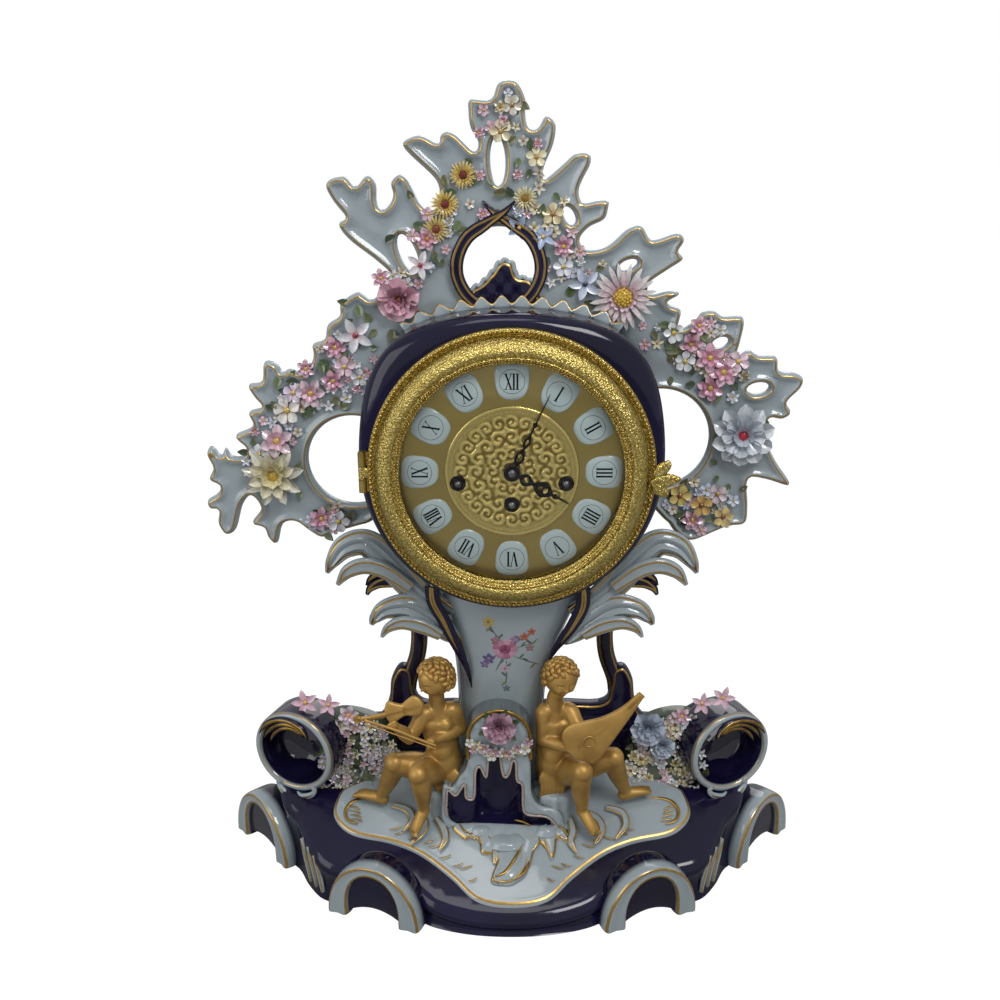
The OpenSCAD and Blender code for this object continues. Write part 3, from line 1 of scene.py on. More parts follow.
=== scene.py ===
# Porcelain table clock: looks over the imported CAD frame.
# Shapes are worked out in millimetres and put into the meshes in metres.
import math
import bpy
import bmesh
import numpy as np
from mathutils.geometry import delaunay_2d_cdt
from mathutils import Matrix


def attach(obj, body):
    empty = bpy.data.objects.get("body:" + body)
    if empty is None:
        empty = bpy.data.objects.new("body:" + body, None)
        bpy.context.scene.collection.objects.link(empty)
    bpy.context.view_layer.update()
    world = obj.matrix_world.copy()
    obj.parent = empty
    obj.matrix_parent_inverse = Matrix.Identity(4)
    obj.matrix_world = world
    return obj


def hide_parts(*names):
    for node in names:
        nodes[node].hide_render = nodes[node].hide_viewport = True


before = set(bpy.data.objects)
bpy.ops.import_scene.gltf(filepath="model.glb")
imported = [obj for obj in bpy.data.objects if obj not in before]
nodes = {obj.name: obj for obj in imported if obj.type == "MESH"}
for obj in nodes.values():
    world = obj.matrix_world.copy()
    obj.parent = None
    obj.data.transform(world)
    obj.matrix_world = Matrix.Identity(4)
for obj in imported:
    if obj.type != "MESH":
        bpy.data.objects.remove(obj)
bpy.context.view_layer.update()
mm = 0.001
pi = math.pi
print("frame loaded:", len(nodes), "nodes")

# the sizes that the construction and this file share
clock = {"dialHeight": 330.0, "crestHeight": 250.0, "baseHalfWidth": 230.0, "drumRadius": 104.0,
         "baseTop": 71.0, "baseFront": 18.0, "slopeFront": -109.94, "slopeBack": 5.06,
         "drumFront": 56.0, "drumBack": 44.0, "dialFront": 60.0}
dialHeight, drumRadius, halfBase = clock["dialHeight"], clock["drumRadius"], clock["baseHalfWidth"]
crestScale = clock["crestHeight"] / 100


class Socket:
    # a node output that can be added, subtracted and multiplied like a number
    def __init__(self, look, out):
        self.look, self.out = look, out

    def math(self, operation, first, second=0.0):
        return self.look.node("Math", {"operation": operation}, {0: first, 1: second})

    def __add__(self, other):
        return self.math("ADD", self, other)

    def __sub__(self, other):
        return self.math("SUBTRACT", self, other)

    def __rsub__(self, other):
        return self.math("SUBTRACT", other, self)

    def __mul__(self, other):
        return self.math("MULTIPLY", self, other)

    def __abs__(self):
        return self.math("ABSOLUTE", self)

    def clipped(self):
        return self.look.node("Clamp", {}, {"Value": self})


class Look:
    # one material; node() adds any node, its settings first and then the values of its sockets
    def __init__(self, name):
        self.material = bpy.data.materials.new(name)
        self.material.use_nodes = True
        self.tree = self.material.node_tree
        self.tree.nodes.clear()
        self.place = self.node("TexCoord", {}, {}, "Object")

    def node(self, kind, settings, values, out=0):
        made = self.tree.nodes.new("ShaderNode" + kind)
        for key, value in settings.items():
            setattr(made, key, value)
        for key, value in values.items():
            if isinstance(value, Socket):
                self.tree.links.new(value.out, made.inputs[key])
            else:
                made.inputs[key].default_value = value
        return Socket(self, made.outputs[out])

    def attribute(self, name, out="Fac"):
        # a value that the mesh keeps for each of its spots
        return self.node("Attribute", {"attribute_name": name}, {}, out)

    def noise(self, scale, detail=2.0, rough=0.5, place=None):
        return self.node("TexNoise", {}, {"Vector": place or self.place, "Scale": scale, "Detail": detail,
                                          "Roughness": rough})

    def cells(self, scale):
        return self.node("TexVoronoi", {}, {"Vector": self.place, "Scale": scale}, "Distance")

    def mix(self, share, first, second, blend="MIX"):
        return self.node("Mix", {"data_type": "RGBA", "blend_type": blend}, {0: share, 6: first, 7: second}, 2)

    def bump(self, height, depth, strength=1.0):
        # height between 0 and 1 raised by depth in mm
        return self.node("Bump", {}, {"Height": height, "Distance": depth * mm, "Strength": strength})

    def surface(self, shader):
        end = self.tree.nodes.new("ShaderNodeOutputMaterial")
        self.tree.links.new(shader.out, end.inputs["Surface"])
        return self.material

    def finish(self, values):
        return self.surface(self.node("BsdfPrincipled", {}, values))


def paint(code):
    # a colour written as on a screen, turned into the renderer's linear values
    share = np.array([int(code[i:i + 2], 16) / 255 for i in (1, 3, 5)])
    linear = np.where(share <= 0.04045, share / 12.92, ((share + 0.055) / 1.055) ** 2.4)
    return (*linear.tolist(), 1.0)


def tone(code):
    # the same linear values as an array of three
    return np.array(paint(code)[:3])


whiteTones, cobaltTones, goldTones = ("#909a9e", "#7f898d"), ("#151130", "#080716"), ("#8f7038", "#b79a5c")


def glazeLook(name, tones, line=None, cobaltPaint=False, coat=0.25, ior=1.48):
    # glossy glaze in two cloudy tones; line is (distance from the edge, half width) in mm of hand-painted gold,
    # and cobaltPaint lays cobalt over the glaze as far as the mesh's own share says
    look = Look(name)
    cloud = look.noise(14.0, 3.0)
    base = look.mix(((cloud - 0.35) * 2.2).clipped(), *map(paint, tones))
    if cobaltPaint:
        base = look.mix(look.attribute("cobaltShare").clipped(), base, look.mix(cloud, *map(paint, cobaltTones)))
    values = {"Base Color": base, "Roughness": 0.1, "IOR": ior, "Coat Weight": coat, "Coat Roughness": 0.04,
              "Normal": look.bump(look.noise(55.0), 0.5, 0.35)}
    if line:
        edge = look.attribute("edge") + (look.noise(90.0) - 0.5) * 0.7
        gold = ((line[1] - abs(edge - line[0])) * 5.0 + 0.5).clipped()
        worn = look.mix(look.noise(260.0, 3.0), *map(paint, goldTones))
        values.update({"Base Color": look.mix(gold, base, worn), "Metallic": gold * 0.85,
                       "Roughness": gold * 0.18 + 0.1})
    return look.finish(values)


def metalLook(name, bright, dull, rough, patch=120.0, grain=0.06, grainScale=900.0, depth=0.05, metallic=1.0):
    # worn metal: a soft patchwork of two tones and two roughnesses over a fine grain
    look = Look(name)
    patchwork = look.noise(patch, 4.0)
    return look.finish({"Base Color": look.mix(((patchwork - 0.3) * 2.0).clipped(), paint(dull), paint(bright)),
                        "Metallic": metallic, "Roughness": patchwork * (grain * 3.0) + rough,
                        "Normal": look.bump(look.noise(grainScale, 3.0), depth, 0.5)})


def stippledShadedLook(name, bright, dull, scale, depth):
    # cast metal covered with small round grains that sparkle; the colour is painted lighter on the raised tops of the
    # grains and darker in the gaps between them, a painted highlight and painted shade
    look = Look(name)
    grains = look.cells(scale)
    finer = look.noise(scale * 1.7)
    return look.finish({"Base Color": look.mix((grains * 1.5).clipped(), paint(bright), paint(dull)),
                        "Metallic": 1.0, "Roughness": finer * 0.3 + 0.1,
                        "Normal": look.bump(1.0 - grains + finer * 0.6, depth)})


def embossedShadedLook(name, high, low, scale):
    # struck relief with painted light: a painted highlight on the raised scrolls and painted shade in the grained
    # hollows; the mesh keeps the height as edge
    look = Look(name)
    height = look.attribute("edge").clipped()
    hollow = 1.0 - height
    return look.finish({"Base Color": look.mix(height, paint(low), paint(high)), "Metallic": 0.95,
                        "Roughness": hollow * 0.25 + 0.16,
                        "Normal": look.bump(look.cells(scale) * hollow, 0.5, 0.5)})


def brushedLook(name, bright, dull, rough):
    # rolled sheet with fine parallel scratches
    look = Look(name)
    along = look.node("Mapping", {}, {"Vector": look.place, "Scale": (60.0, 60.0, 900.0)})
    scratch = look.noise(1.0, 4.0, 0.6, along)
    return look.finish({"Base Color": look.mix(look.noise(25.0), paint(dull), paint(bright)), "Metallic": 0.92,
                        "Roughness": scratch * 0.2 + (rough - 0.1), "Normal": look.bump(scratch, 0.05, 0.4)})


def petalLook(name):
    # painted porcelain petals: the colour comes from each petal's own tint
    look = Look(name)
    tint = look.attribute("tint", "Color")
    speck = ((look.noise(420.0, 3.0) - 0.35) * 1.6).clipped()
    return look.finish({"Base Color": look.mix(speck, tint, look.mix(1.0, tint, paint("#c9c2cc"), "MULTIPLY")),
                        "Roughness": 0.16, "IOR": 1.5, "Coat Weight": 0.4, "Coat Roughness": 0.05,
                        "Normal": look.bump(look.noise(300.0), 0.25, 0.5)})


def glassLook(name):
    # clear glass: lets everything through and only shines at its surface
    look = Look(name)
    shine = look.node("BsdfAnisotropic", {}, {"Roughness": 0.02, "Color": (1.0, 1.0, 1.0, 1.0)})
    clear = look.node("BsdfTransparent", {}, {"Color": (0.99, 0.995, 0.995, 1.0)})
    share = look.node("Fresnel", {}, {"IOR": 1.25}) * 0.7 + look.noise(30.0) * 0.01
    return look.surface(look.node("MixShader", {}, {0: share.clipped(), 1: clear, 2: shine}))


dark = {"coat": 0.05, "ior": 1.36}
whiteGlaze = glazeLook("white glaze", whiteTones, (2.6, 0.75), True)
plainGlaze = glazeLook("plain white glaze", whiteTones)
nicheGlaze = glazeLook("niche glaze", whiteTones, None, True)
crestGlaze, panelGlaze, ribGlaze, shellGlaze = (glazeLook(name + " glaze", whiteTones, line) for name, line in (
    ("crest", (2.5, 0.55)), ("panel", (1.6, 0.8)), ("rib", (0.7, 0.5)), ("rocaille", (0.9, 0.6))))
cobaltGlaze = glazeLook("cobalt glaze", cobaltTones, (2.2, 0.7), **dark)
bandGlaze = glazeLook("band glaze", cobaltTones, (4.7, 0.85), **dark)
plainCobalt = glazeLook("plain cobalt glaze", cobaltTones, coat=0.05, ior=1.38)
plaqueEnamel = glazeLook("plaque enamel", ("#bccbcc", "#a9b9ba"))
petalEnamel = petalLook("flower enamel")
cherubGold = metalLook("gold lustre", "#bc9650", "#94713a", 0.34, 60.0, 0.07, 500.0, 0.12, 0.55)
lineGold = metalLook("brushed-on gold", "#b1924f", "#7a5d2a", 0.24, 200.0)
# the bezel's two gilt colours are a painted highlight on the grain tops and painted shade between the grains
bezelGold = stippledShadedLook("stippled gilt", "#e0cd86", "#a28c47", 700.0, 0.55)
smoothGold = metalLook("smooth gilt", "#cbb56e", "#9a8142", 0.18, 90.0)
pearlGold = metalLook("bead gilt", "#cdb164", "#8a6c2e", 0.16, 300.0)
dialGold = brushedLook("satin dial gold", "#b29e5b", "#96834a", 0.36)
# the embossed centre's bright and dark colours are a painted highlight on the raised relief and painted shade in its
# hollows
centreGold = embossedShadedLook("embossed dial gold", "#f0d988", "#7f6a2c", 800.0)
blackPaint = metalLook("black painted figures", "#1a1d22", "#101216", 0.35)
blackSteel = metalLook("blued steel", "#2a2522", "#15110f", 0.3, 300.0)
brightSteel = metalLook("polished steel", "#8d8f93", "#5f6166", 0.22, 150.0)
clockBrass = brushedLook("clock brass", "#c3a050", "#a3813a", 0.3)
clearGlass = glassLook("clear glass")
print("finishes ready:", len(bpy.data.materials))


def smoothLine(spots, steps=8, closed=False):
    # Catmull-Rom curve through the spots, so many steps to each stretch
    spots = np.asarray(spots, float)
    if closed:
        before, start, end, after = (np.roll(spots, k, 0) for k in (1, 0, -1, -2))
    else:
        padded = np.concatenate([spots[:1], spots, spots[-1:]])
        before, start, end, after = padded[:-3], padded[1:-2], padded[2:-1], padded[3:]
    t = (np.arange(steps) / steps)[None, :, None]
    before, start, end, after = (s[:, None, :] for s in (before, start, end, after))
    curve = 0.5 * (2 * start + (end - before) * t + (2 * before - 5 * start + 4 * end - after) * t ** 2
                   + (3 * start - before - 3 * end + after) * t ** 3)
    curve = curve.reshape(-1, spots.shape[1])
    return curve if closed else np.concatenate([curve, spots[-1:]])


def smoothValues(values, steps=8):
    # the same curve through plain numbers
    return smoothLine(np.asarray(values, float)[:, None], steps)[:, 0]


def evenLoop(loop, step):
    # the same closed line with its points at even distances
    closed = np.concatenate([loop, loop[:1]])
    run = np.concatenate([[0], np.cumsum(np.linalg.norm(np.diff(closed, axis=0), axis=1))])
    at = np.linspace(0, run[-1], max(int(run[-1] / step), 12), endpoint=False)
    return np.stack([np.interp(at, run, closed[:, k]) for k in range(loop.shape[1])], 1)


def unit(vectors):
    # each vector divided by its own length
    return vectors / np.maximum(np.linalg.norm(vectors, axis=-1, keepdims=True), 1e-9)


def ease(low, high, value):
    # smooth step from 0 at low to 1 at high
    t = np.clip((value - low) / (high - low), 0, 1)
    return t * t * (3 - 2 * t)


def ring(count):
    # closed round section
    a = np.arange(count) * 2 * pi / count
    return np.stack([np.cos(a), np.sin(a)], 1)


def power(values, exponent):
    # signed power: squares off a round section when the exponent is below 1
    return np.sign(values) * abs(values) ** exponent


def turned(flat, degrees):
    # (across, up) turned anticlockwise
    a = math.radians(degrees)
    return np.stack([flat[..., 0] * math.cos(a) - flat[..., 1] * math.sin(a),
                     flat[..., 0] * math.sin(a) + flat[..., 1] * math.cos(a)], -1)


def polar(radius, degrees):
    # (across, up) of a spot on a circle
    return radius * np.array([math.cos(math.radians(degrees)), math.sin(math.radians(degrees))])


def grooved(count, groove=0.35, back=0.6, ridges=1):
    # section of a leaf: a hollow, or several, along the front and a flatter back
    spots = ring(count)
    dip = 1 - groove * np.cos(spots[:, 0] * pi * 0.5 * (2 * ridges - 1)) ** 2
    spots[:, 1] *= np.where(spots[:, 1] > 0, dip, back)
    return spots


def sweep(path, wide, thick, section, facing=(0, -1, 0), closed=False):
    # spot = path + wide * a * side + thick * b * out, with (a, b) on the section
    path = np.asarray(path, float)
    ahead = np.roll(path, -1, 0) - np.roll(path, 1, 0) if closed else np.gradient(path, axis=0)
    along = unit(ahead)
    side = unit(np.cross(along, np.broadcast_to(np.asarray(facing, float), path.shape)))
    out = np.cross(side, along)
    wide = np.broadcast_to(wide, len(path))[:, None, None]
    thick = np.broadcast_to(thick, len(path))[:, None, None]
    body = path[:, None] + wide * section[None, :, :1] * side[:, None] + thick * section[None, :, 1:] * out[:, None]
    edge = wide[..., 0] * (1 - abs(section[None, :, 0])) * np.where(section[None, :, 1] > -0.1, 1, -9)
    if closed:
        return np.concatenate([body, body[:1]]), np.concatenate([edge, edge[:1]])
    ends = [np.broadcast_to(path[k], (1, *body.shape[1:])) for k in (0, -1)]
    return np.concatenate([ends[0], body, ends[1]]), np.concatenate([edge[:1], edge, edge[-1:]])


def lathe(profile, count=160, middle=(0.0, dialHeight)):
    # profile of (radius, distance in front of the crest) turned about an axis that runs from front to back
    profile = np.asarray(profile, float)
    a = np.linspace(0, 2 * pi, count + 1)[:, None]
    return np.stack([middle[0] + profile[None, :, 0] * np.cos(a), -profile[None, :, 1] + 0 * a,
                     middle[1] + profile[None, :, 0] * np.sin(a)], 2)


def capped(rows):
    # closes a tube of rows with the middle of its first and of its last row
    return np.concatenate([rows[:1].mean(1, keepdims=True) + 0 * rows[:1], rows,
                           rows[-1:].mean(1, keepdims=True) + 0 * rows[-1:]])


class Piece:
    # gathers surfaces in millimetres and makes one closed-seam object of them
    def __init__(self, name):
        self.name, self.count = name, 0
        self.spots, self.faces, self.edge, self.tint, self.share = [], [], [], [], []

    def add(self, spots, faces, edge=-9.0, tint=(1, 1, 1), share=0.0):
        # edge is the distance from the edge for gold lines, tint a colour and share how far cobalt covers white
        n = len(spots)
        self.spots.append(spots)
        self.faces.append(faces + self.count)
        self.edge.append(np.broadcast_to(np.asarray(edge, float), n))
        self.tint.append(np.broadcast_to(np.asarray(tint, float), (n, 3)))
        self.share.append(np.broadcast_to(np.asarray(share, float), n))
        self.count += n

    def grid(self, spots, edge=-9.0, tint=(1, 1, 1), share=0.0, wrap=True):
        # rows by columns of spots, or many such grids; the columns run round when wrap is true
        spots = spots.reshape(-1, *spots.shape[-3:])
        shape = spots.shape[:3]
        copies, rows, columns = shape
        i, j = np.meshgrid(np.arange(rows - 1), np.arange(columns if wrap else columns - 1), indexing="ij")
        k = (j + 1) % columns
        one = np.stack([i * columns + j, i * columns + k, (i + 1) * columns + k, (i + 1) * columns + j], 2)
        faces = one + (np.arange(copies) * rows * columns)[:, None, None, None]
        self.add(spots.reshape(-1, 3), faces.reshape(-1, 4), np.broadcast_to(edge, shape).reshape(-1),
                 np.broadcast_to(tint, (*shape, 3)).reshape(-1, 3), np.broadcast_to(share, shape).reshape(-1))

    def skins(self, front, back, triangles, edge=-9.0, tint=(1, 1, 1), backEdge=-9.0):
        # two skins over the same triangles, back to back
        self.add(front, triangles, edge, tint)
        self.add(back, triangles[:, ::-1], backEdge, tint)

    def swept(self, path, wide, thick, section, tint=(1, 1, 1), facing=(0, -1, 0), closed=False):
        # section carried along the path
        spots, edge = sweep(path, wide, thick, section, facing, closed)
        self.grid(spots, edge, tint)

    def balls(self, middles, radii, tint=(1, 1, 1), rows=6, columns=8):
        # a ball of its own radius at each middle
        middles = np.asarray(middles, float)
        size = np.broadcast_to(radii, len(middles))[:, None, None, None]
        self.grid(middles[:, None, None] + size * ballGrid(rows, columns), tint=tint)

    def make(self, material, body="case", instead="", crease=55.0):
        # one mesh with its attributes, doubles merged, riding on its body; instead names the CAD node it stands for
        spots = np.concatenate(self.spots) * mm
        mesh = bpy.data.meshes.new(self.name)
        mesh.vertices.add(len(spots))
        mesh.vertices.foreach_set("co", spots.astype(np.float32).ravel())
        sizes = np.concatenate([np.full(len(f), f.shape[1]) for f in self.faces])
        loops = np.concatenate([f.ravel() for f in self.faces])
        mesh.loops.add(len(loops))
        mesh.loops.foreach_set("vertex_index", loops.astype(np.int32))
        mesh.polygons.add(len(sizes))
        mesh.polygons.foreach_set("loop_start", np.concatenate([[0], np.cumsum(sizes)[:-1]]).astype(np.int32))
        for name, values in (("edge", self.edge), ("cobaltShare", self.share)):
            mesh.attributes.new(name, "FLOAT", "POINT").data.foreach_set(
                "value", np.concatenate(values).astype(np.float32))
        colours = np.concatenate([np.concatenate(self.tint), np.ones((len(spots), 1))], 1)
        mesh.attributes.new("tint", "FLOAT_COLOR", "POINT").data.foreach_set(
            "color", colours.astype(np.float32).ravel())
        mesh.update(calc_edges=True)
        work = bmesh.new()
        work.from_mesh(mesh)
        bmesh.ops.remove_doubles(work, verts=work.verts, dist=1e-6)
        bmesh.ops.recalc_face_normals(work, faces=work.faces)
        work.to_mesh(mesh)
        work.free()
        mesh.polygons.foreach_set("use_smooth", np.ones(len(mesh.polygons), bool))
        mesh.set_sharp_from_angle(angle=math.radians(crease))
        made = bpy.data.objects.new(self.name, mesh)
        bpy.context.scene.collection.objects.link(made)
        mesh.materials.append(material)
        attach(made, body)
        if instead:
            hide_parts(instead)
        print("made", self.name, len(mesh.polygons))
        return made


def ballGrid(rows=6, columns=10):
    # ball of radius 1: rows from pole to pole, columns round it
    b = np.linspace(-pi / 2, pi / 2, rows)[:, None]
    a = (np.arange(columns) * 2 * pi / columns)[None]
    return np.stack([np.cos(b) * np.cos(a), np.cos(b) * np.sin(a), np.sin(b) + 0 * a], 2)


def insideLoop(spots, loop):
    # odd number of crossings inside, even outside; worked through a few thousand spots at a time
    start, end = loop, np.roll(loop, -1, 0)
    inside = np.zeros(len(spots), bool)
    for low in range(0, len(spots), 4000):
        p = spots[low:low + 4000, None, :]
        span = (start[:, 1] > p[..., 1]) != (end[:, 1] > p[..., 1])
        rise = np.where(end[:, 1] == start[:, 1], 1e-9, end[:, 1] - start[:, 1])
        at = start[:, 0] + (p[..., 1] - start[:, 1]) * (end[:, 0] - start[:, 0]) / rise
        inside[low:low + 4000] = (span & (p[..., 0] < at)).sum(1) % 2 == 1
    return inside


def within(spots, loops):
    # inside the first loop and in none of the others
    kept = insideLoop(spots, loops[0])
    for loop in loops[1:]:
        kept &= ~insideLoop(spots, loop)
    return kept


def nearness(spots, loops):
    # least distance from each spot to any stretch of the closed loops
    start = np.concatenate(loops)
    run = np.concatenate([np.roll(loop, -1, 0) for loop in loops]) - start
    near = np.zeros(len(spots))
    for low in range(0, len(spots), 2000):
        p = spots[low:low + 2000, None, :] - start
        t = np.clip((p * run).sum(2) / np.maximum((run ** 2).sum(1), 1e-12), 0, 1)
        near[low:low + 2000] = np.sqrt(((p - t[..., None] * run) ** 2).sum(2).min(1))
    return near


def plate(outline, holes, step, rings, gridStep):
    # a flat region as triangles: even points on its edges, rings of points inside them and a grid between;
    # gives the spots, the triangles, each spot's distance from the edge, and the outer loop
    loops = [evenLoop(line, step) for line in [outline, *holes]]
    extra = []
    for loop in loops:
        along = unit(np.roll(loop, -1, 0) - np.roll(loop, 1, 0))
        across = np.stack([-along[:, 1], along[:, 0]], 1)
        for depth in rings:
            for way in (1, -1):
                tried = loop + way * depth * across
                tried = tried[within(tried, loops)]
                extra.append(tried[nearness(tried, loops) > 0.93 * depth])
    low, high = loops[0].min(0), loops[0].max(0)
    across, up = np.meshgrid(np.arange(low[0], high[0], gridStep), np.arange(low[1], high[1], gridStep))
    across[1::2] += gridStep / 2
    lattice = np.stack([across.ravel(), up.ravel()], 1)
    lattice = lattice[within(lattice, loops)]
    extra.append(lattice[nearness(lattice, loops) > rings[-1] + 0.5 * gridStep])
    spots = np.concatenate(loops + extra)
    links, first = [], 0
    for loop in loops:
        n = len(loop)
        links.append(np.stack([np.arange(n), (np.arange(n) + 1) % n], 1) + first)
        first += n
    made = delaunay_2d_cdt(spots.tolist(), np.concatenate(links).tolist(), [], 0, 1e-5, False)
    spots = np.array([tuple(v) for v in made[0]])
    triangles = np.array([f for f in made[2] if len(f) == 3])
    triangles = triangles[within(spots[triangles].mean(1), loops)]
    used, renumbered = np.unique(triangles, return_inverse=True)
    spots, triangles = spots[used], renumbered.reshape(-1, 3)
    near = nearness(spots, loops)
    near[near < 1e-3] = 0
    return spots, triangles, near, loops[0]


def rolled(near, radius, height):
    # quarter-round rise of an edge
    return height * np.sqrt(np.clip(1 - (1 - np.clip(near / radius, 0, 1)) ** 2, 0, 1))


def standing(spots, y, middle=dialHeight):
    # a flat shape drawn across and up, stood upright at depth y; up is counted from middle
    return np.stack([spots[:, 0], np.broadcast_to(y, len(spots)), spots[:, 1] + middle], 1)


def lying(spots, height):
    # a flat shape drawn across and in depth, at its height
    return np.stack([spots[:, 0], spots[:, 1], np.broadcast_to(height, len(spots))], 1)


def slope(y):
    # height of the slope of the base
    rise = (clock["baseTop"] - clock["baseFront"]) / (clock["slopeBack"] - clock["slopeFront"])
    return clock["baseFront"] + (y - clock["slopeFront"]) * rise


def dress(names, material):
    # a CAD node keeps its mesh and gets a finished surface
    for name in names:
        mesh = nodes[name].data
        mesh.materials.clear()
        mesh.materials.append(material)


# camera, floor and lamps; each lamp has its power, size, place and the height it is aimed at
studio = {"lens": 38.03, "height": 0.53167, "back": 0.74128, "tilt": 71.992, "shift": -0.012,
          "sky": (0.6, 0.606, 0.618, 1), "floorGrey": 0.34, "floorGlow": 1.24, "floorSeen": 0.82, "floorHalf": 6.0,
          "lamps": {"key lamp": (13.0, 0.55, (0.55, -1.0, 1.55), 0.3), "fill lamp": (6.0, 0.9, (-1.2, -0.9, 0.8), 0.25),
                    "top lamp": (2.5, 0.5, (-0.1, -0.35, 1.5), 0.3), "back lamp": (5.0, 0.9, (0.3, 1.4, 1.1), 0.3)}}


def setStudio():
    # camera at the photo's place, soft lamps, a white sky, and a floor that glows white to the camera only
    scene = bpy.context.scene
    data = bpy.data.cameras.new("photo view")
    data.lens, data.sensor_width, data.shift_x = studio["lens"], 36.0, studio["shift"]
    camera = bpy.data.objects.new("photo view", data)
    camera.location = (0.0, -studio["back"], studio["height"])
    camera.rotation_euler = (math.radians(studio["tilt"]), 0, 0)
    scene.collection.objects.link(camera)
    scene.camera = camera
    scene.view_settings.view_transform = "Standard"
    for name, (watts, size, place, aim) in studio["lamps"].items():
        lamp = bpy.data.lights.new(name, "AREA")
        lamp.energy, lamp.size = watts, size
        held = bpy.data.objects.new(name, lamp)
        held.location = place
        held.rotation_euler = (math.atan2(math.hypot(place[0], place[1]), place[2] - aim), 0,
                               math.atan2(place[1], place[0]) + pi / 2)
        scene.collection.objects.link(held)
    # the camera sees a white sky and the clock a grey one
    sky = bpy.data.worlds.new("studio")
    sky.use_nodes = True
    tree = sky.node_tree
    tree.nodes.clear()
    path, grey, white, both, end = (tree.nodes.new("ShaderNode" + kind) for kind in (
        "LightPath", "Background", "Background", "MixShader", "OutputWorld"))
    grey.inputs["Color"].default_value = studio["sky"]
    white.inputs["Color"].default_value = (1, 1, 1, 1)
    tree.links.new(path.outputs["Is Camera Ray"], both.inputs[0])
    tree.links.new(grey.outputs[0], both.inputs[1])
    tree.links.new(white.outputs[0], both.inputs[2])
    tree.links.new(both.outputs[0], end.inputs[0])
    scene.world = sky
    look = Look("studio floor")
    seen = look.node("LightPath", {}, {}, "Is Camera Ray") * studio["floorSeen"]
    matt = look.node("BsdfDiffuse", {}, {"Color": (*[studio["floorGrey"]] * 3, 1)})
    glow = look.node("Emission", {}, {"Color": (1, 1, 1, 1), "Strength": studio["floorGlow"]})
    mesh = bpy.data.meshes.new("floor")
    half = studio["floorHalf"]
    corners = [(x * half, y * half, -0.5 * mm) for x, y in ((-1, -1), (1, -1), (1, 1), (-1, 1))]
    mesh.from_pydata(corners, [], [(0, 1, 2, 3)])
    mesh.materials.append(look.surface(look.node("MixShader", {}, {0: seen, 1: matt, 2: glow})))
    floor = bpy.data.objects.new("floor", mesh)
    scene.collection.objects.link(floor)


setStudio()
print("camera, floor and lamps set")

# drum
drum = {"shoulderShare": 0.115, "shoulderAt": 44.0, "shoulderSpread": 24.0, "faceRadius": 98.0, "lip": 10.0,
        "backLip": 6.0, "wall": (-40, 38), "step": 0.6, "root": 6.0,
        "bore": [95.0, 90.6, 90.0, 90.0, 90.6, 95.0], "ruffleFrom": 50.0, "ruffleTo": 130.0, "ruffleBand": 5.0,
        "ruffleWave": 2.5, "ruffleWaves": 11, "ruffleFold": 1.5}


def drumReach(degrees):
    # radius of the drum: round, with a soft shoulder at the upper left and right
    bulge = sum(np.exp(-((degrees - at) / drum["shoulderSpread"]) ** 2)
                for at in (drum["shoulderAt"], 180 - drum["shoulderAt"]))
    return drumRadius * (1 + drum["shoulderShare"] * bulge)


def makeDrum():
    # front face rounded over by a quarter circle into the wall, likewise at the back, with a round bore
    degrees = np.linspace(-90, 270, 241)[:-1]
    t = np.linspace(0, pi / 2, 10)
    front, back = -clock["drumFront"], clock["drumBack"]
    # how far each row goes from the radius of the face to the full reach, and its depth; then the bore
    shares = np.concatenate([[0], np.sin(t), np.ones(6), np.cos(t[1:7])])
    radius = drum["faceRadius"] + shares[None] * (drumReach(degrees)[:, None] - drum["faceRadius"])
    radius = np.concatenate([radius, np.broadcast_to([drum["bore"]], (len(degrees), 6))], 1)
    depth = np.concatenate([[front], front + drum["lip"] * (1 - np.cos(t)), np.linspace(*drum["wall"], 6),
                            back - drum["backLip"] * (1 - np.sin(t[1:7])),
                            [back, back, back - drum["step"], front + drum["step"], front, front]])
    a = np.radians(degrees)[:, None]
    spots = np.stack([radius * np.cos(a), depth[None] + 0 * a, dialHeight + radius * np.sin(a)], 2)
    shell = Piece("drum_shell")
    shell.grid(np.concatenate([spots, spots[:1]]))
    shell.make(cobaltGlaze, instead="drum_case", crease=50)


def makeRuffle():
    # a frilled collar: waves outwards and folds back and forth by the same cosine, fading at its ends
    degrees = np.linspace(drum["ruffleFrom"], drum["ruffleTo"], 361)
    share = (degrees - drum["ruffleFrom"]) / (drum["ruffleTo"] - drum["ruffleFrom"])
    turn = np.cos(share * 2 * pi * drum["ruffleWaves"])
    fade = np.minimum(1, np.minimum(degrees - drum["ruffleFrom"], drum["ruffleTo"] - degrees) / 3 + 0.25)
    reach, wave, fold = drumReach(degrees), drum["ruffleWave"] * turn * fade, drum["ruffleFold"] * turn
    top = reach + drum["ruffleBand"] + wave
    # radius and depth of each row, with its distance from the gilded edge
    rows = [(reach - drum["root"], -15.5, 9), (reach + 1, -16.0 + 0.5 * fold, 6), (top - 1.6, -15.6 + fold, 4),
            (top - 0.4, -15.0 + fold, 2.6), (top, -14.0 + fold, 2.2), (top - 0.4, -13.0 + fold, 2.6),
            (top - 1.8, -12.4 + fold, 5), (reach + 2 + 0.3 * wave, -9, 9), (reach + 1.5, -3.6, 9),
            (reach - drum["root"], -3.6, 9)]
    a = np.radians(degrees)
    spots = np.stack([np.stack([r * np.cos(a), y + 0 * a, dialHeight + r * np.sin(a)], 1) for r, y, _ in rows], 1)
    collar = Piece("ruffle_collar")
    collar.grid(capped(spots), np.array([[line for _, _, line in rows]]))
    collar.make(whiteGlaze, instead="drum_ruffle", crease=60)


makeDrum()
makeRuffle()

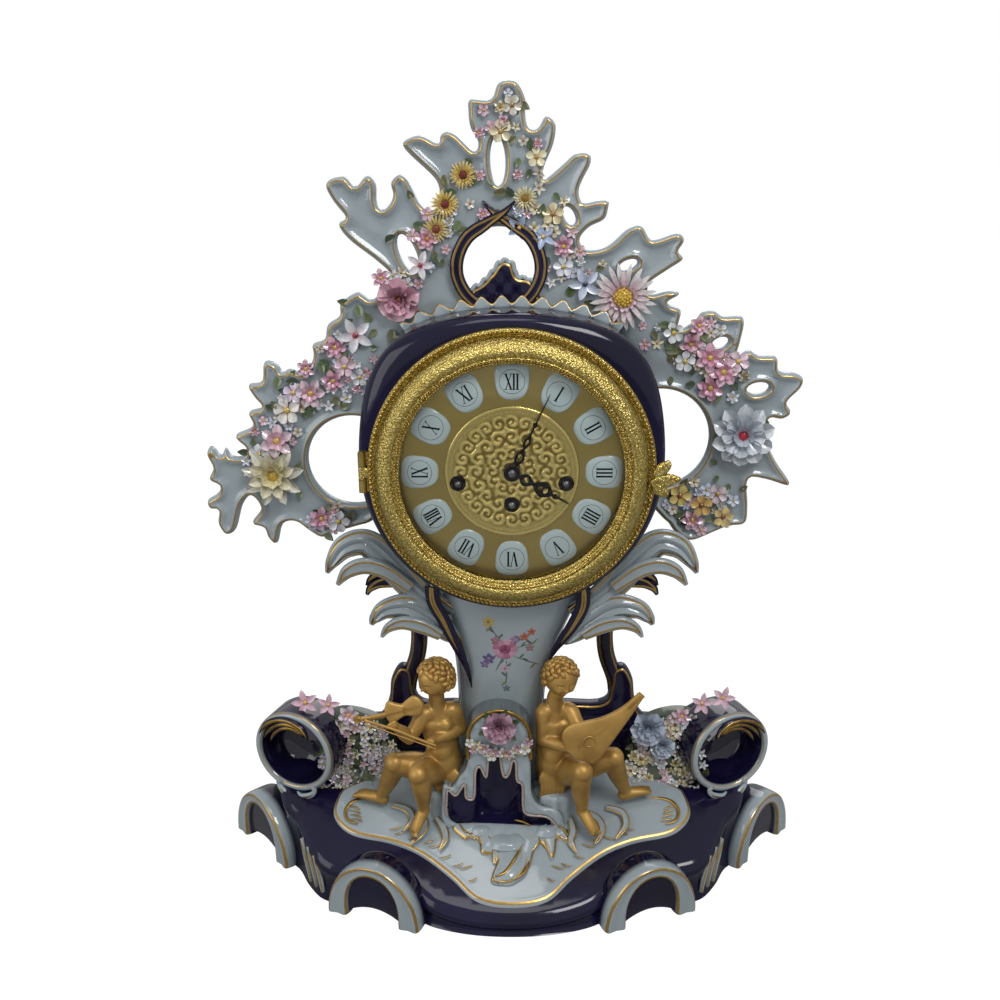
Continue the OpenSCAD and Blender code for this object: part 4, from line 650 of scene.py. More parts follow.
# crest: outline, holes (across, up, radius) and slots (across, up, half length, half width, turn) in hundredths of
# the crest's height about the dial centre, as in the construction
crest = {"rim": 3.0, "lift": 6.4, "valley": 2.6, "swell": 2.4, "step": 2.0, "gridStep": 3.4, "cut": 97.0,
         "top": 0.9974, "back": 3.5, "rings": [0.12, 0.5, 1.2, 2.1, 3.0, 4.3, 5.8, 8.0],
         "rounds": [[-46, -3.2, 13.2], [42.5, 3.4, 14.4], [-3.6, 52.2, 10.4]],
         "slots": [[-3.8, 79.5, 6.2, 2, 92], [-28.5, 55.5, 5.4, 2.2, 112], [15.5, 65.5, 2.6, 1.4, 120],
                   [32, 52.5, 2.6, 1.2, 20], [58.5, 31, 2.4, 1.4, 20], [70, 18, 3.2, 1.6, 8]]}
crestOutline = [
    [-38.5, 43], [-42.5, 45], [-47.5, 42], [-48, 38.5], [-51.5, 36], [-52.5, 32], [-56, 30.5], [-56, 27],
    [-58.5, 22.5], [-63, 23.5], [-65, 22.5], [-66.5, 25], [-70, 25.5], [-71, 20], [-75, 19], [-73.5, 15.5],
    [-71.5, 12.5], [-75.5, 11], [-74.5, 7], [-79.5, 4.5], [-79, 2.5], [-77, 0.5], [-78, -2], [-81.5, -2],
    [-83, 0.5], [-84.5, -2], [-87, 1], [-88.5, -1.5], [-87, -5.5], [-88.5, -9], [-85.5, -11], [-86.5, -13.5],
    [-89.5, -15.5], [-89, -18], [-86.5, -18.5], [-87, -22.5], [-85, -26], [-82, -24.5], [-79.5, -17],
    [-76.5, -14], [-74, -18], [-77, -22.5], [-73.5, -24], [-72.5, -27], [-70, -29], [-68, -23], [-64, -22],
    [-60, -25], [-56.5, -27], [-53, -25.5], [-46, -23.5], [-40, -21],
    [-28, -10], [28, -10],
    [44.5, -21], [48, -25], [53, -28], [59.5, -25.5], [64, -23.5], [69, -22.5], [69.5, -17], [69, -9],
    [74, -9], [80.5, -11], [81, -9.5], [77, -4], [74, 2], [73.5, 9], [77.5, 9], [80, 11], [78.5, 14],
    [82, 18], [82.5, 21], [79.5, 22.5], [75.5, 23], [74.5, 27], [69, 27.5], [66.5, 29], [63, 26.5],
    [64, 31], [64.5, 38], [58.5, 38.5], [56, 40], [53, 39.5], [51, 37], [46.5, 35], [47, 40], [43, 42],
    [46.5, 44.5], [43.5, 45.5], [38.5, 44.5], [37, 46.5], [39, 48.5], [43.5, 51.5], [47, 54], [45.5, 56],
    [47, 59], [45, 61], [40, 59.5], [37.5, 59.5], [35, 63], [31.5, 62], [27, 58], [22.5, 56.5], [19.5, 57],
    [18.5, 59.5], [21, 62.5], [25, 64.5], [26, 67.5], [26, 69.5], [23, 69.5], [19, 69], [18, 72], [19, 75],
    [21, 79], [20.5, 81.5], [17, 81.5], [14, 79], [10.5, 76], [8.5, 75], [8.5, 78], [11, 84], [11.5, 89],
    [9, 91], [7, 88], [4.5, 88], [3.5, 91.5], [3.5, 95.5], [1, 99.5], [-3.5, 99], [-5.5, 95], [-11, 95],
    [-11.5, 92], [-11, 88], [-9, 84.5], [-10, 82], [-14.5, 86], [-17, 87], [-19, 86], [-19.5, 84], [-24, 86],
    [-28, 85], [-29, 83.5], [-27, 81], [-22, 76.5], [-20, 74], [-19.5, 71], [-20.5, 67.5], [-22.5, 67],
    [-25, 69], [-27, 73], [-28.5, 75.5], [-30.5, 76], [-32.5, 74], [-32, 71], [-33, 68.5], [-35, 67],
    [-36.5, 69], [-36.5, 73], [-37.5, 75.5], [-39.5, 75.5], [-42, 73], [-44.5, 75.5], [-48.5, 75],
    [-50, 73], [-48, 69], [-45, 65], [-47, 63.5], [-46, 61], [-43, 58], [-36.5, 53], [-33.5, 49]]


def crestLoops():
    # the outline, then the round holes, the slots and the cut behind the drum
    loops = [smoothLine(np.array(crestOutline) * crestScale, 4, True)]
    loops += [(np.array([x, z]) + radius * ring(72)) * crestScale for x, z, radius in crest["rounds"]]
    loops += [(np.array([x, z]) + turned(ring(36) * [long, wide], turn)) * crestScale
              for x, z, long, wide, turn in crest["slots"]]
    return loops + [crest["cut"] * ring(150)]


def makeCrest():
    outer, *holes = crestLoops()
    spots, triangles, near, _ = plate(outer, holes, crest["step"], crest["rings"], crest["gridStep"])
    spots[:, 1] = np.minimum(spots[:, 1], crest["top"] * clock["crestHeight"])
    # rolled rim, a shallow valley behind it and a soft swell in the middle
    rise = (rolled(near, crest["rim"], crest["lift"]) - crest["valley"] * ease(crest["rim"], 7.0, near)
            + crest["swell"] * ease(9.0, 30.0, near))
    body = Piece("crest_body")
    body.skins(standing(spots, -rise), standing(spots, rolled(near, 3.0, crest["back"])), triangles, near)
    body.make(crestGlaze, instead="crest_plate", crease=75)


medallion = {"middle": (-9.0, 130.5), "wide": 4.6, "thick": 4.2, "depth": -6.5, "rockFront": -3.6, "rockLift": 4.2,
             "cross": 1.5, "tail": (0.12, 5.5), "surfDepth": -6.2, "surf": (1.7, 1.5), "ripple": 0.9,
             "half": [[11, 43], [4, 36], [-8, 28.5], [-21, 19.5], [-28, 6], [-28, -8], [-20, -21.5], [-7, -28.5]],
             "rock": [[-12, 40.5], [-11.5, 45.5], [-8.5, 47.5], [-5.5, 50.5], [-3, 53.5], [0, 53], [1.5, 49.5],
                      [5, 48.5], [7, 45.5], [7, 40.5]]}


def makeMedallion():
    # C-scroll round the see-through hole, its two tails crossing over the top
    half = medallion["half"]
    places = np.array(half + [[-x, z] for x, z in half[::-1]], float)
    path = smoothLine(np.insert(places, 1, medallion["depth"], 1), 10)
    lean = medallion["cross"] * np.linspace(-1, 1, len(path))
    path = path + np.stack([0 * lean + medallion["middle"][0], lean,
                            0 * lean + dialHeight + medallion["middle"][1]], 1)
    run = np.linspace(0, 1, len(path))
    taper = np.minimum(1, medallion["tail"][0] + medallion["tail"][1] * np.minimum(run, 1 - run))
    scroll = Piece("medallion_scroll")
    scroll.swept(path, medallion["wide"] * taper, medallion["thick"] * np.sqrt(taper), grooved(24, 0.45, 0.5))
    # a lumpy rock in the lower half of the hole, with a white surf line over it
    rock = np.array(medallion["rock"], float) * crestScale
    spots, triangles, near, _ = plate(smoothLine(rock, 6, True), [], 1.2, [0.3, 0.9, 1.8, 3.0], 2.6)
    lump = 1.2 * np.sin(spots[:, 0] * 0.55) * np.cos(spots[:, 1] * 0.42) * ease(1, 6, near)
    front = medallion["rockFront"]
    scroll.skins(standing(spots, front - rolled(near, 3, medallion["rockLift"]) - lump), standing(spots, front),
                 triangles, near)
    scroll.make(cobaltGlaze, instead="crest_medallion")
    wave = smoothLine(np.insert(rock[:9], 1, medallion["surfDepth"], 1) + [0, 0, dialHeight], 10)
    wave[:, 2] += medallion["ripple"] * np.sin(np.arange(len(wave)) * 0.9)
    surf = Piece("medallion_surf")
    surf.swept(wave, *medallion["surf"], ring(10))
    surf.make(plainGlaze)


makeCrest()
makeMedallion()

# leaf scrolls between the drum and the column
# places are shares of the drum radius about the dial centre: across, depth, up; then the half width
leaves = {
    "upper": [[0.42, -0.34, -1.1, 0.07], [0.66, -0.35, -0.93, 0.1], [0.86, -0.34, -0.7, 0.11],
              [1.0, -0.34, -0.575, 0.1], [1.14, -0.35, -0.6, 0.085], [1.23, -0.37, -0.7, 0.05],
              [1.27, -0.38, -0.78, 0.015]],
    "upperTip": [[0.7, -0.39, -0.88, 0.05], [0.86, -0.4, -0.76, 0.06], [1.0, -0.4, -0.72, 0.06],
                 [1.12, -0.4, -0.76, 0.05], [1.2, -0.4, -0.86, 0.015]],
    "middle": [[0.42, -0.34, -1.09, 0.06], [0.6, -0.33, -0.95, 0.06], [0.76, -0.32, -0.87, 0.055],
               [0.9, -0.32, -0.87, 0.045], [0.98, -0.33, -0.91, 0.03], [1.01, -0.34, -0.96, 0.012]],
    "lower": [[0.36, -0.34, -1.32, 0.03], [0.44, -0.35, -1.25, 0.07], [0.56, -0.36, -1.14, 0.105],
              [0.72, -0.37, -1.04, 0.1], [0.87, -0.38, -1.05, 0.075], [0.95, -0.39, -1.11, 0.045],
              [0.98, -0.4, -1.16, 0.015]],
    "lowerTip": [[0.5, -0.4, -1.24, 0.04], [0.62, -0.41, -1.17, 0.055], [0.76, -0.41, -1.14, 0.05],
                 [0.86, -0.41, -1.18, 0.035], [0.91, -0.41, -1.25, 0.012]],
    "tail": [[0.31, -0.33, -1.6, 0.015], [0.33, -0.34, -1.48, 0.035]],
    "strut": [[0.8, 0.12, -2.0], [0.78, 0.11, -1.84], [0.71, 0.08, -1.62], [0.69, 0.04, -1.4],
              [0.72, 0.02, -1.2], [0.68, 0, -0.97], [0.58, 0, -0.8]],
    "thickShare": 0.047, "strutRadius": 6.5}


def aboutDial(rows, side):
    # shares of the drum radius about the dial centre, turned into places on one side
    return np.array(rows, float)[:, :3] * drumRadius * [side, 1, 1] + [0, 0, dialHeight]


def addLeaf(piece, rows, side, section):
    # a leaf swept along its rows, no thicker than it is wide
    wide = smoothValues([row[3] for row in rows], 9) * drumRadius
    piece.swept(smoothLine(aboutDial(rows, side), 9), wide, np.minimum(leaves["thickShare"] * drumRadius, wide),
                section)


def makeLeaves(side, name):
    # white leaves with a hollow front, a cobalt one between them, and the strut behind
    white = Piece("leaf_white_" + name)
    broad, narrow = grooved(32, 0.5, 0.6, 2), grooved(24, 0.4, 0.6)
    # only the left one runs on down the column in a tail
    lower = (leaves["tail"] if side < 0 else []) + leaves["lower"]
    for rows, section in ((leaves["upper"], broad), (leaves["upperTip"], narrow), (lower, broad),
                          (leaves["lowerTip"], narrow)):
        addLeaf(white, rows, side, section)
    white.make(whiteGlaze, instead="leaf_scrolls_" + name)
    cobalt = Piece("leaf_cobalt_" + name)
    addLeaf(cobalt, leaves["middle"], side, grooved(28, 0.4, 0.6))
    second = [[x, y, z + 0.07, wide * 0.7] for x, y, z, wide in leaves["middle"][1:]]
    addLeaf(cobalt, second, side, grooved(20, 0.4, 0.6))
    cobalt.swept(smoothLine(aboutDial(leaves["strut"], side), 8), leaves["strutRadius"], leaves["strutRadius"],
                 grooved(24, 0.2, 1.0))
    cobalt.make(cobaltGlaze)


makeLeaves(-1, "left")
makeLeaves(1, "right")

# column
# rows: share of the height, half width, half depth and middle in depth and across, as shares of the drum radius;
# bands: places (across, up) on each side, and their front as depth by height
column = {"rows": [[-0.1, 0.36, 0.33, 0.04, -0.08], [0, 0.35, 0.33, 0.04, -0.08], [0.2, 0.33, 0.31, 0, -0.08],
                   [0.42, 0.32, 0.32, -0.03, -0.08], [0.62, 0.36, 0.345, -0.06, -0.06],
                   [0.8, 0.46, 0.385, -0.08, -0.03], [0.96, 0.58, 0.41, -0.08, 0], [1.06, 0.64, 0.42, -0.08, 0]],
          "low": 44.73, "topShare": 0.76, "square": 2.6, "under": 97.0, "from": 44.0, "to": 262.0,
          "bands": {-1: [[-57, 240], [-56, 228], [-48.8, 213], [-43.5, 200], [-37.5, 185], [-32.6, 171], [-30, 155]],
                    1: [[50.5, 240], [50.5, 225], [44.5, 211], [36.5, 198], [30.5, 188], [27, 178]]},
          "bandWide": 5.8, "bandThick": 2.0, "bandFront": [[150, 168, 205, 240], [-31.3, -38.5, -43.5, -44.5]]}


def columnRows(steps):
    # smooth rows of height, half width, half depth and middle in millimetres
    rows = smoothLine(column["rows"], steps)
    span = dialHeight - drumRadius * column["topShare"] - column["low"]
    return np.concatenate([column["low"] + rows[:, :1] * span, rows[:, 1:] * drumRadius], 1)


def columnFront(x, z, lift=0.0):
    # depth of the column's front at a place across and up: a squared-off oval
    rows = columnRows(6)
    halfWide, halfDeep, midY, midX = (np.interp(z, rows[:, 0], rows[:, k]) for k in (1, 2, 3, 4))
    off = np.clip(abs((x - midX) / halfWide), 0, 0.995)
    return midY - halfDeep * (1 - off ** column["square"]) ** (1 / column["square"]) - lift


def makeColumn():
    # squared ovals stacked by the rows, closed below and above, with a band down each side
    rows = columnRows(8)
    rows = rows[(rows[:, 0] > column["from"]) & (rows[:, 0] < column["to"])]
    across, deep = power(ring(144), 2 / column["square"]).T
    spots = np.stack([rows[:, 4:5] + rows[:, 1:2] * across, rows[:, 3:4] + rows[:, 2:3] * deep,
                      rows[:, :1] + 0 * across], 2)
    foot, head = spots[0].mean(0), spots[-1].mean(0)
    lid = head + np.array([0.75, 0.5, 0.25, 0])[:, None, None] * (spots[-1] - head)
    spots = np.concatenate([foot + 0 * spots[:1], spots, lid])
    # the top stays inside the wall of the drum
    wall = dialHeight - np.sqrt(column["under"] ** 2 - spots[..., 0] ** 2)
    spots[..., 2] = np.minimum(spots[..., 2], wall)
    shaft = Piece("column_shaft")
    shaft.grid(spots)
    shaft.make(plainGlaze, instead="column", crease=60)
    bands = Piece("column_scroll_bands")
    for side, places in column["bands"].items():
        across, up = smoothLine(places, 8).T
        # in front of the roots of the leaves above, and down on the column at the lower end
        front = np.minimum(columnFront(across, up, 0.5), np.interp(up, *column["bandFront"]))
        wide = column["bandWide"] * np.sin(np.linspace(0.6 * pi, 0.04, len(up)))
        bands.swept(np.stack([across, front, up], 1), wide, np.minimum(wide, column["bandThick"]),
                    grooved(24, 0.3, 0.8), facing=(side * 0.4, -1, 0))
    bands.make(bandGlaze, instead="column_bands")


makeColumn()

# base: plans of the right half in shares of the half width
base = {"round": 7.0, "cove": 2.4, "panelRound": 3.2, "panelLift": 2.5, "panelSwell": 2.2}
basePlan = [
    [0, -0.515], [0.13, -0.505], [0.25, -0.47], [0.34, -0.41], [0.435, -0.375], [0.53, -0.365],
    [0.615, -0.34], [0.675, -0.27], [0.72, -0.19], [0.775, -0.13], [0.81, -0.045], [0.845, 0.05],
    [0.87, 0.13], [0.86, 0.225], [0.75, 0.32], [0.52, 0.365], [0.26, 0.38], [0, 0.38]]
panelPlan = [
    [0, -0.478], [0.11, -0.46], [0.195, -0.39], [0.295, -0.32], [0.395, -0.28], [0.53, -0.25],
    [0.595, -0.19], [0.59, -0.12], [0.555, -0.085], [0.435, -0.045], [0.25, -0.03], [0, -0.03]]


def mirroredPlan(plan):
    # the half plan and its mirror image as one smooth closed line
    plan = np.array(plan)
    other = plan[::-1][plan[::-1, 0] != 0] * [-1, 1]
    return smoothLine(np.concatenate([plan, other]) * halfBase, 6, True)


def slopeHeight(y):
    # straight slope from the front edge to the flat rear part
    return np.minimum(slope(y), clock["baseTop"])


def panelTop(y, lift=0.0):
    # height of the panel's skin over its middle part
    return slope(y) + base["panelLift"] + base["panelSwell"] + lift


def onPanel(places, steps, lift):
    # a smooth line through places (across, depth) on the panel
    line = smoothLine(np.array(places, float), steps)
    return lying(line, panelTop(line[:, 1], lift))


def makeBase():
    spots, triangles, near, loop = plate(mirroredPlan(basePlan), [], 2.5, [0.15, 0.7, 1.8, 3.4, 5.2, 7.0], 6.0)
    drop = base["round"] - rolled(near, base["round"], base["round"])
    body = Piece("base_shell")
    body.skins(lying(spots, slopeHeight(spots[:, 1]) - drop), lying(spots, 0), triangles, near)
    # wall: drawn in by a half wave between the rounded top edge and the table
    t = np.linspace(0, 1, 14)[:, None]
    along = unit(np.roll(loop, -1, 0) - np.roll(loop, 1, 0))
    across = np.stack([along[:, 1], -along[:, 0]], 1)
    across *= np.sign((across * loop).sum())
    out = loop[None] - across[None] * (base["cove"] * np.sin(pi * t) ** 0.8)[..., None]
    height = (slopeHeight(loop[:, 1]) - base["round"])[None] * (1 - t)
    body.grid(np.concatenate([out, height[..., None]], 2))
    body.make(plainCobalt, instead="base_body")
    spots, triangles, near, _ = plate(mirroredPlan(panelPlan), [], 2.0, [0.3, 0.9, 1.8, 3.0, 4.4, 6.0], 5.0)
    lift = rolled(near, base["panelRound"], base["panelLift"]) + base["panelSwell"] * ease(3, 30, near)
    ground = slope(spots[:, 1])
    cover = Piece("panel_cover")
    cover.skins(lying(spots, ground + lift), lying(spots, ground - 0.4 * ease(0, 2, near)), triangles, near)
    cover.make(panelGlaze, instead="base_panel", crease=70)


makeBase()

# feet: place in shares of the base's half width
feet = {"front": {"place": (0.437, -0.425), "turn": 20.0, "radius": 37.4},
        "side": {"place": (0.865, -0.05), "turn": 47.0, "radius": 38.6},
        "rise": 1.24, "topWide": 7.4, "endWide": 17.5, "depth": 25.0, "forward": 7.0, "apron": 7.0, "recess": 5.0,
        "wall": 8.0, "hollow": 0.16, "flare": 2.4, "square": (0.55, 0.5), "goldFrom": 1.1}
ribs = {"count": 3, "apart": 5.5, "from": 149.0, "to": 142.0, "wide": [0.8, 2.1, 2.2, 1.2], "thick": 2.2}


def placed(local, side, place, turn):
    # local (across, forward, up) turned about the upright and set on one side of the base
    flat = turned(local[..., :2] * [1, -1], side * turn)
    return np.concatenate([flat, local[..., 2:]], -1) + np.array([side * place[0], place[1], place[2]])


def makeFoot(kind, side, name):
    # arch between two rolled edges, narrow over the top and wide at its blunt ends, with a dark wall inside
    foot = feet[kind]
    place = (foot["place"][0] * halfBase, foot["place"][1] * halfBase, 0)
    a = np.radians(np.linspace(0, 180, 61))
    half = (feet["topWide"] + (feet["endWide"] - feet["topWide"]) * abs(np.cos(a)) ** feet["flare"]) / 2
    radius = foot["radius"] - half
    outward = np.stack([np.cos(a), 0 * a, np.sin(a)], 1)
    # section: across the band, then forward; two beads in front with a hollow between them
    across, forward = power(ring(40), feet["square"]).T
    hollow = np.where(forward > 0.5, 1 - feet["hollow"] * np.cos(across * pi / 2) ** 2, 1)
    deep = feet["forward"] - feet["depth"] / 2 + feet["depth"] / 2 * forward * hollow
    spots = ((radius[:, None] + half[:, None] * across)[..., None] * outward[:, None]
             + np.array([0, 1, 0]) * deep[None, :, None])
    spots[..., 2] = np.maximum(spots[..., 2], 0) * feet["rise"]
    edge = np.where(forward > 0.55, half[:, None] * (1 - abs(across)) + feet["goldFrom"], -9.0)
    inner = np.maximum(ease(-0.9, -0.97, across) * (forward < 0.9), ease(0.35, 0.2, forward))
    arch = Piece("foot_arch_" + kind + "_" + name)
    arch.grid(placed(capped(spots), side, place, foot["turn"]), np.concatenate([edge[:1], edge, edge[-1:]]),
              share=inner[None, :])
    arch.make(whiteGlaze, instead="scroll_foot_%s_%s" % (kind, name), crease=60)
    # wall inside the arch: from its low arched edge up to the underside of the band, in front and behind
    x = np.linspace(-1, 1, 33) * (foot["radius"] - feet["endWide"] + 4)
    top = np.sqrt((foot["radius"] - feet["topWide"] + 2) ** 2 - x ** 2)
    low = feet["apron"] * (1 - (x / x[-1]) ** 2)
    back = feet["wall"]
    rows = np.stack([np.stack([x, feet["forward"] - feet["recess"] - d + 0 * x, (low + (top - low) * u) * feet["rise"]],
                              1)
                     for u, d in ((0, 0.8), (0.06, 0), (0.5, 0), (1, 0), (1, back), (0.5, back), (0, back), (0, 0.8))])
    middle = rows[:-1].mean(0)
    rows = np.concatenate([middle[:1] + 0 * rows[:, :1], rows, middle[-1:] + 0 * rows[:, :1]], 1)
    wall = Piece("foot_wall_" + kind + "_" + name)
    wall.grid(placed(rows, side, place, foot["turn"]), wrap=False)
    wall.make(plainCobalt, crease=60)


def makeRibs():
    # raised white bands with gold edges down the wall between the feet of each side
    bands = Piece("base_ribs")
    for side in (-1, 1):
        for k in range(ribs["count"]):
            x, low = ribs["from"] + ribs["apart"] * k, ribs["to"] + ribs["apart"] * k
            top, foot = (np.array([at, -78 + 1.15 * (at - 141)]) for at in (x, low))
            places = [[*top, slopeHeight(top[1]) - 4.5], [*(0.6 * top + 0.4 * foot), 25],
                      [*(0.2 * top + 0.8 * foot), 14], [*foot, 6]]
            bands.swept(smoothLine(places, 7) * [side, 1, 1], smoothValues(ribs["wide"], 7), ribs["thick"],
                        grooved(22, 0.3, 0.8), facing=(side * 0.75, -0.66, 0.1))
    bands.make(ribGlaze, crease=60)


for footSide, footName in ((-1, "left"), (1, "right")):
    makeFoot("front", footSide, footName)
    makeFoot("side", footSide, footName)
makeRibs()

# cups: rim is rows of (radius, forward, distance from the gilded edge)
volute = {"across": 0.717, "height": 90.72, "depthPlace": -6.0, "radius": 34.0, "wall": 6.0, "half": 17.0,
          "turn": 20.0, "heart": 0.66,
          "hollow": [(0, -13), (0.25, -12.7), (0.5, -11.5), (0.75, -8), (0.9, -2), (0.97, 7), (1.0, 14)],
          "rim": [(29.0, 16.2, 2.6), (30.6, 17, 5), (32.4, 16.5, 5), (33.7, 15, 2.6), (34, 12.5, 6), (34, 2, 9),
                  (34, -12, 9), (33, -15.8, 9), (30, -17, 9)],
          "stripes": (30.6, 25.8, 21.2), "stripe": (2.5, 2.2), "stripeGold": (1.35, 1.0), "goldLift": 1.5,
          "curls": ((-1, 15), (1, 11)), "curlWide": (3.4, 1.3), "curlThick": 2.4}


def makeVolute(side, name):
    # deep cup: rows run from the heart-shaped gap over the hollow, the rim and the back to the gap again
    def seated(local):
        return placed(local, side, (volute["across"] * halfBase, volute["depthPlace"], volute["height"]),
                      volute["turn"])

    half = volute["half"]
    t = np.linspace(0, 2 * pi, 121)[:-1]
    heart = volute["heart"] * np.stack([16 * np.sin(t) ** 3,
                                        13 * np.cos(t) - 5 * np.cos(2 * t) - 2 * np.cos(3 * t) - np.cos(4 * t)], 1)
    heart = heart + [0, 2]
    circle = np.stack([np.sin(t), np.cos(t)], 1)
    inside = volute["radius"] - volute["wall"]
    # each row: its flat shape, its forward place, its cobalt share and its distance from the edge
    rows = [(heart * (1 - mix) + circle * inside * mix, forward, 1, -9) for mix, forward in volute["hollow"]]
    rows += [(circle * radius, forward, forward <= half - 4, line) for radius, forward, line in volute["rim"]]
    rows += [(heart * 1.06, -half, 1, -9), rows[0]]
    spots = np.array([np.insert(flat, 1, forward, 1) for flat, forward, *_ in rows])
    share, edge = (np.array([row[k] for row in rows], float)[:, None] for k in (2, 3))
    cup = Piece("volute_cup_" + name)
    cup.grid(seated(spots), edge, share=share)
    for way, reach in volute["curls"]:
        way *= side
        curl = [[-3 * way, half - 3, -34.5], [0.4 * reach * way, half + 1.5, -36], [reach * way, half + 1, -33],
                [(reach + 3) * way, half, -29], [(reach + 1) * way, half + 0.5, -26]]
        path = seated(smoothLine(curl, 6))
        cup.swept(path, np.linspace(*volute["curlWide"], len(path)), volute["curlThick"], grooved(18, 0.3, 0.8))
    cup.make(whiteGlaze, instead="volute_" + name, crease=60)
    # three dark bands with gold on them, curling over the top into the cup
    stripes = Piece("volute_stripes_" + name)
    gilt = Piece("volute_gilding_" + name)
    run = np.linspace(0, 1, 40)
    taper = np.minimum(1, 0.12 + 5 * np.minimum(run, 1 - run))
    for k, size in enumerate(volute["stripes"]):
        a = np.radians(np.linspace(152 + 6 * k, 46 + 8 * k, 40))
        reach = size - run ** 3 * (size - 12) * 0.4
        path = np.stack([-side * reach * np.cos(a), half + 1.2 - 2.6 * k + 0 * a, reach * np.sin(a)], 1)
        for piece, (wide, thick), lift, sides in ((stripes, volute["stripe"], 0, 12),
                                                  (gilt, volute["stripeGold"], volute["goldLift"], 8)):
            piece.swept(seated(path + [0, lift, 0]), wide * taper, thick, ring(sides))
    stripes.make(plainCobalt)
    gilt.make(lineGold)


makeVolute(-1, "left")
makeVolute(1, "right")

# gallery: outline in shares of the base's half width and of its own height; each side has its own root
gallery = {"outline": [[0.6, 0], [0.66, 0.1], [0.665, 0.4], [0.645, 0.56], [0.6, 0.5], [0.515, 0.4],
                       [0.455, 0.46], [0.425, 0.64], [0.415, 0.85], [0.385, 1], [0.345, 0.96], [0.335, 0.75],
                       [0.3, 0.6]], "roots": {-1: 0.155, 1: 0.085}, "height": 80.0, "middle": 12.0}


def makeGallery():
    # a plate for each side, both faces rolled towards the edge and gilded along it
    wall = Piece("gallery_wall")
    for side, root in gallery["roots"].items():
        rows = np.array([[root, 0]] + gallery["outline"] + [[root, 0.56]]) * [halfBase, gallery["height"]]
        loop = smoothLine(rows, 6, True)
        loop = np.stack([np.maximum(loop[:, 0], root * halfBase) * side, loop[:, 1]], 1)
        spots, triangles, near, _ = plate(loop, [], 1.6, [0.3, 0.9, 1.9, 3.0, 4.5], 4.0)
        front = gallery["middle"] - rolled(near, 3, 7.5) + 1.5 * ease(3, 8, near)
        back = gallery["middle"] + rolled(near, 3, 6)
        wall.skins(*(standing(spots, y, clock["baseTop"]) for y in (front, back)), triangles, near, backEdge=near)
    wall.make(cobaltGlaze, instead="gallery")


makeGallery()
print("case made")

# dial centre, plaques and numerals
# scrolls: (radius of their circle, how many, reach, curl); strokes: from and to in shares of a numeral, and weight
dial = {"centreRadius": 45.5, "relief": 0.5, "plaqueWide": 22.5, "plaqueHigh": 23.5, "plaqueCircle": 62.0,
        "dome": 1.9, "numeral": 10.4, "widest": 9.4, "bold": 0.62, "thin": 0.24, "ringRadius": 8.4,
        "arbors": {"going_winder": (0, -23), "strike_winder": (-36.5, -8), "chime_winder": (36.5, -8)},
        "scrolls": [(13, 6, 4.6, 1.5), (13, 6, 4.6, -1.5), (24, 8, 5.4, 1.3), (24, 8, 5.4, -1.3),
                    (34, 12, 4.8, 1.5), (34, 12, 4.8, -1.5)],
        "strokes": {"I": [(0, 0, 1)], "V": [(-0.19, 0, 1), (0.19, 0, 0)], "X": [(-0.19, 0.19, 1), (0.19, -0.19, 0)]},
        "advance": {"I": 0.25, "V": 0.5, "X": 0.5}, "shares": [0.0, 0.2, 0.4, 0.58, 0.72, 0.84, 0.93, 0.98]}
lathed = {"eyelet": [(4.35, 60.1), (4.35, 61.0), (4.8, 61.3), (5.4, 60.9), (5.5, 60.1)],
          "boss": [(0, 66.4), (1.4, 66.2), (2.5, 65.6), (3.0, 64.8), (3.0, 64.42), (0, 64.42)],
          "washer": [(3.1, 64.4), (3.1, 65.0), (4.4, 65.2), (5.4, 64.9), (5.6, 64.42), (4.0, 64.4)],
          "tip": [(0, 64.0), (1.3, 63.7), (2.3, 62.9), (2.6, 62.0), (2.6, 60.5), (0, 60.5)]}


def makeDialCentre():
    # disc whose height is a rolled edge, plus the struck scrolls, plus two raised rims
    holes = [np.array(place) + 5.0 * ring(28) for place in dial["arbors"].values()] + [4.3 * ring(28)]
    spots, triangles, near, _ = plate(dial["centreRadius"] * ring(150), holes, 1.2, [0.3, 0.8, 1.4], 0.85)
    radius, angle = np.hypot(*spots.T), np.arctan2(spots[:, 1], spots[:, 0])
    # struck scrolls round the centre, each a spiral that fades away from its own middle
    wave = 0.35 * np.sin(8 * angle) * np.sin(0.5 * radius)
    for circle, count, reach, curl in dial["scrolls"]:
        for k in range(count):
            at = 2 * pi * (k + 0.5 * (curl < 0)) / count
            off = spots - circle * np.array([math.cos(at), math.sin(at)])
            far, about = np.hypot(*off.T), np.arctan2(off[:, 1], off[:, 0]) - at
            wave = wave + 1.3 * np.cos(about - curl * far) * np.exp(-(far / reach) ** 2)
    # quiet at the hub and under the two raised rims
    rim = 0.45 * np.exp(-((radius - 44.3) / 0.7) ** 2) + 0.2 * np.exp(-((radius - 41.2) / 0.5) ** 2)
    struck = np.tanh(2.2 * wave) * ease(4, 8, radius) * (1 - ease(37, 41, radius))
    height = rolled(near, 0.7, 0.65) + dial["relief"] * struck + rim
    disc = Piece("dial_embossing")
    # the height, the rims included, is also kept as edge, which the finish paints as a highlight on the raised relief
    # and as shade in the hollows
    disc.skins(standing(spots, -clock["dialFront"] - height), standing(spots, -clock["dialFront"] + 0.05), triangles,
               0.5 + 0.5 * struck + rim)
    disc.make(centreGold, instead="dial_centre")
    eyes = Piece("winding_eyelets")
    for across, up in dial["arbors"].values():
        eyes.grid(lathe(lathed["eyelet"], 40, (across, dialHeight + up)))
    eyes.make(blackSteel)


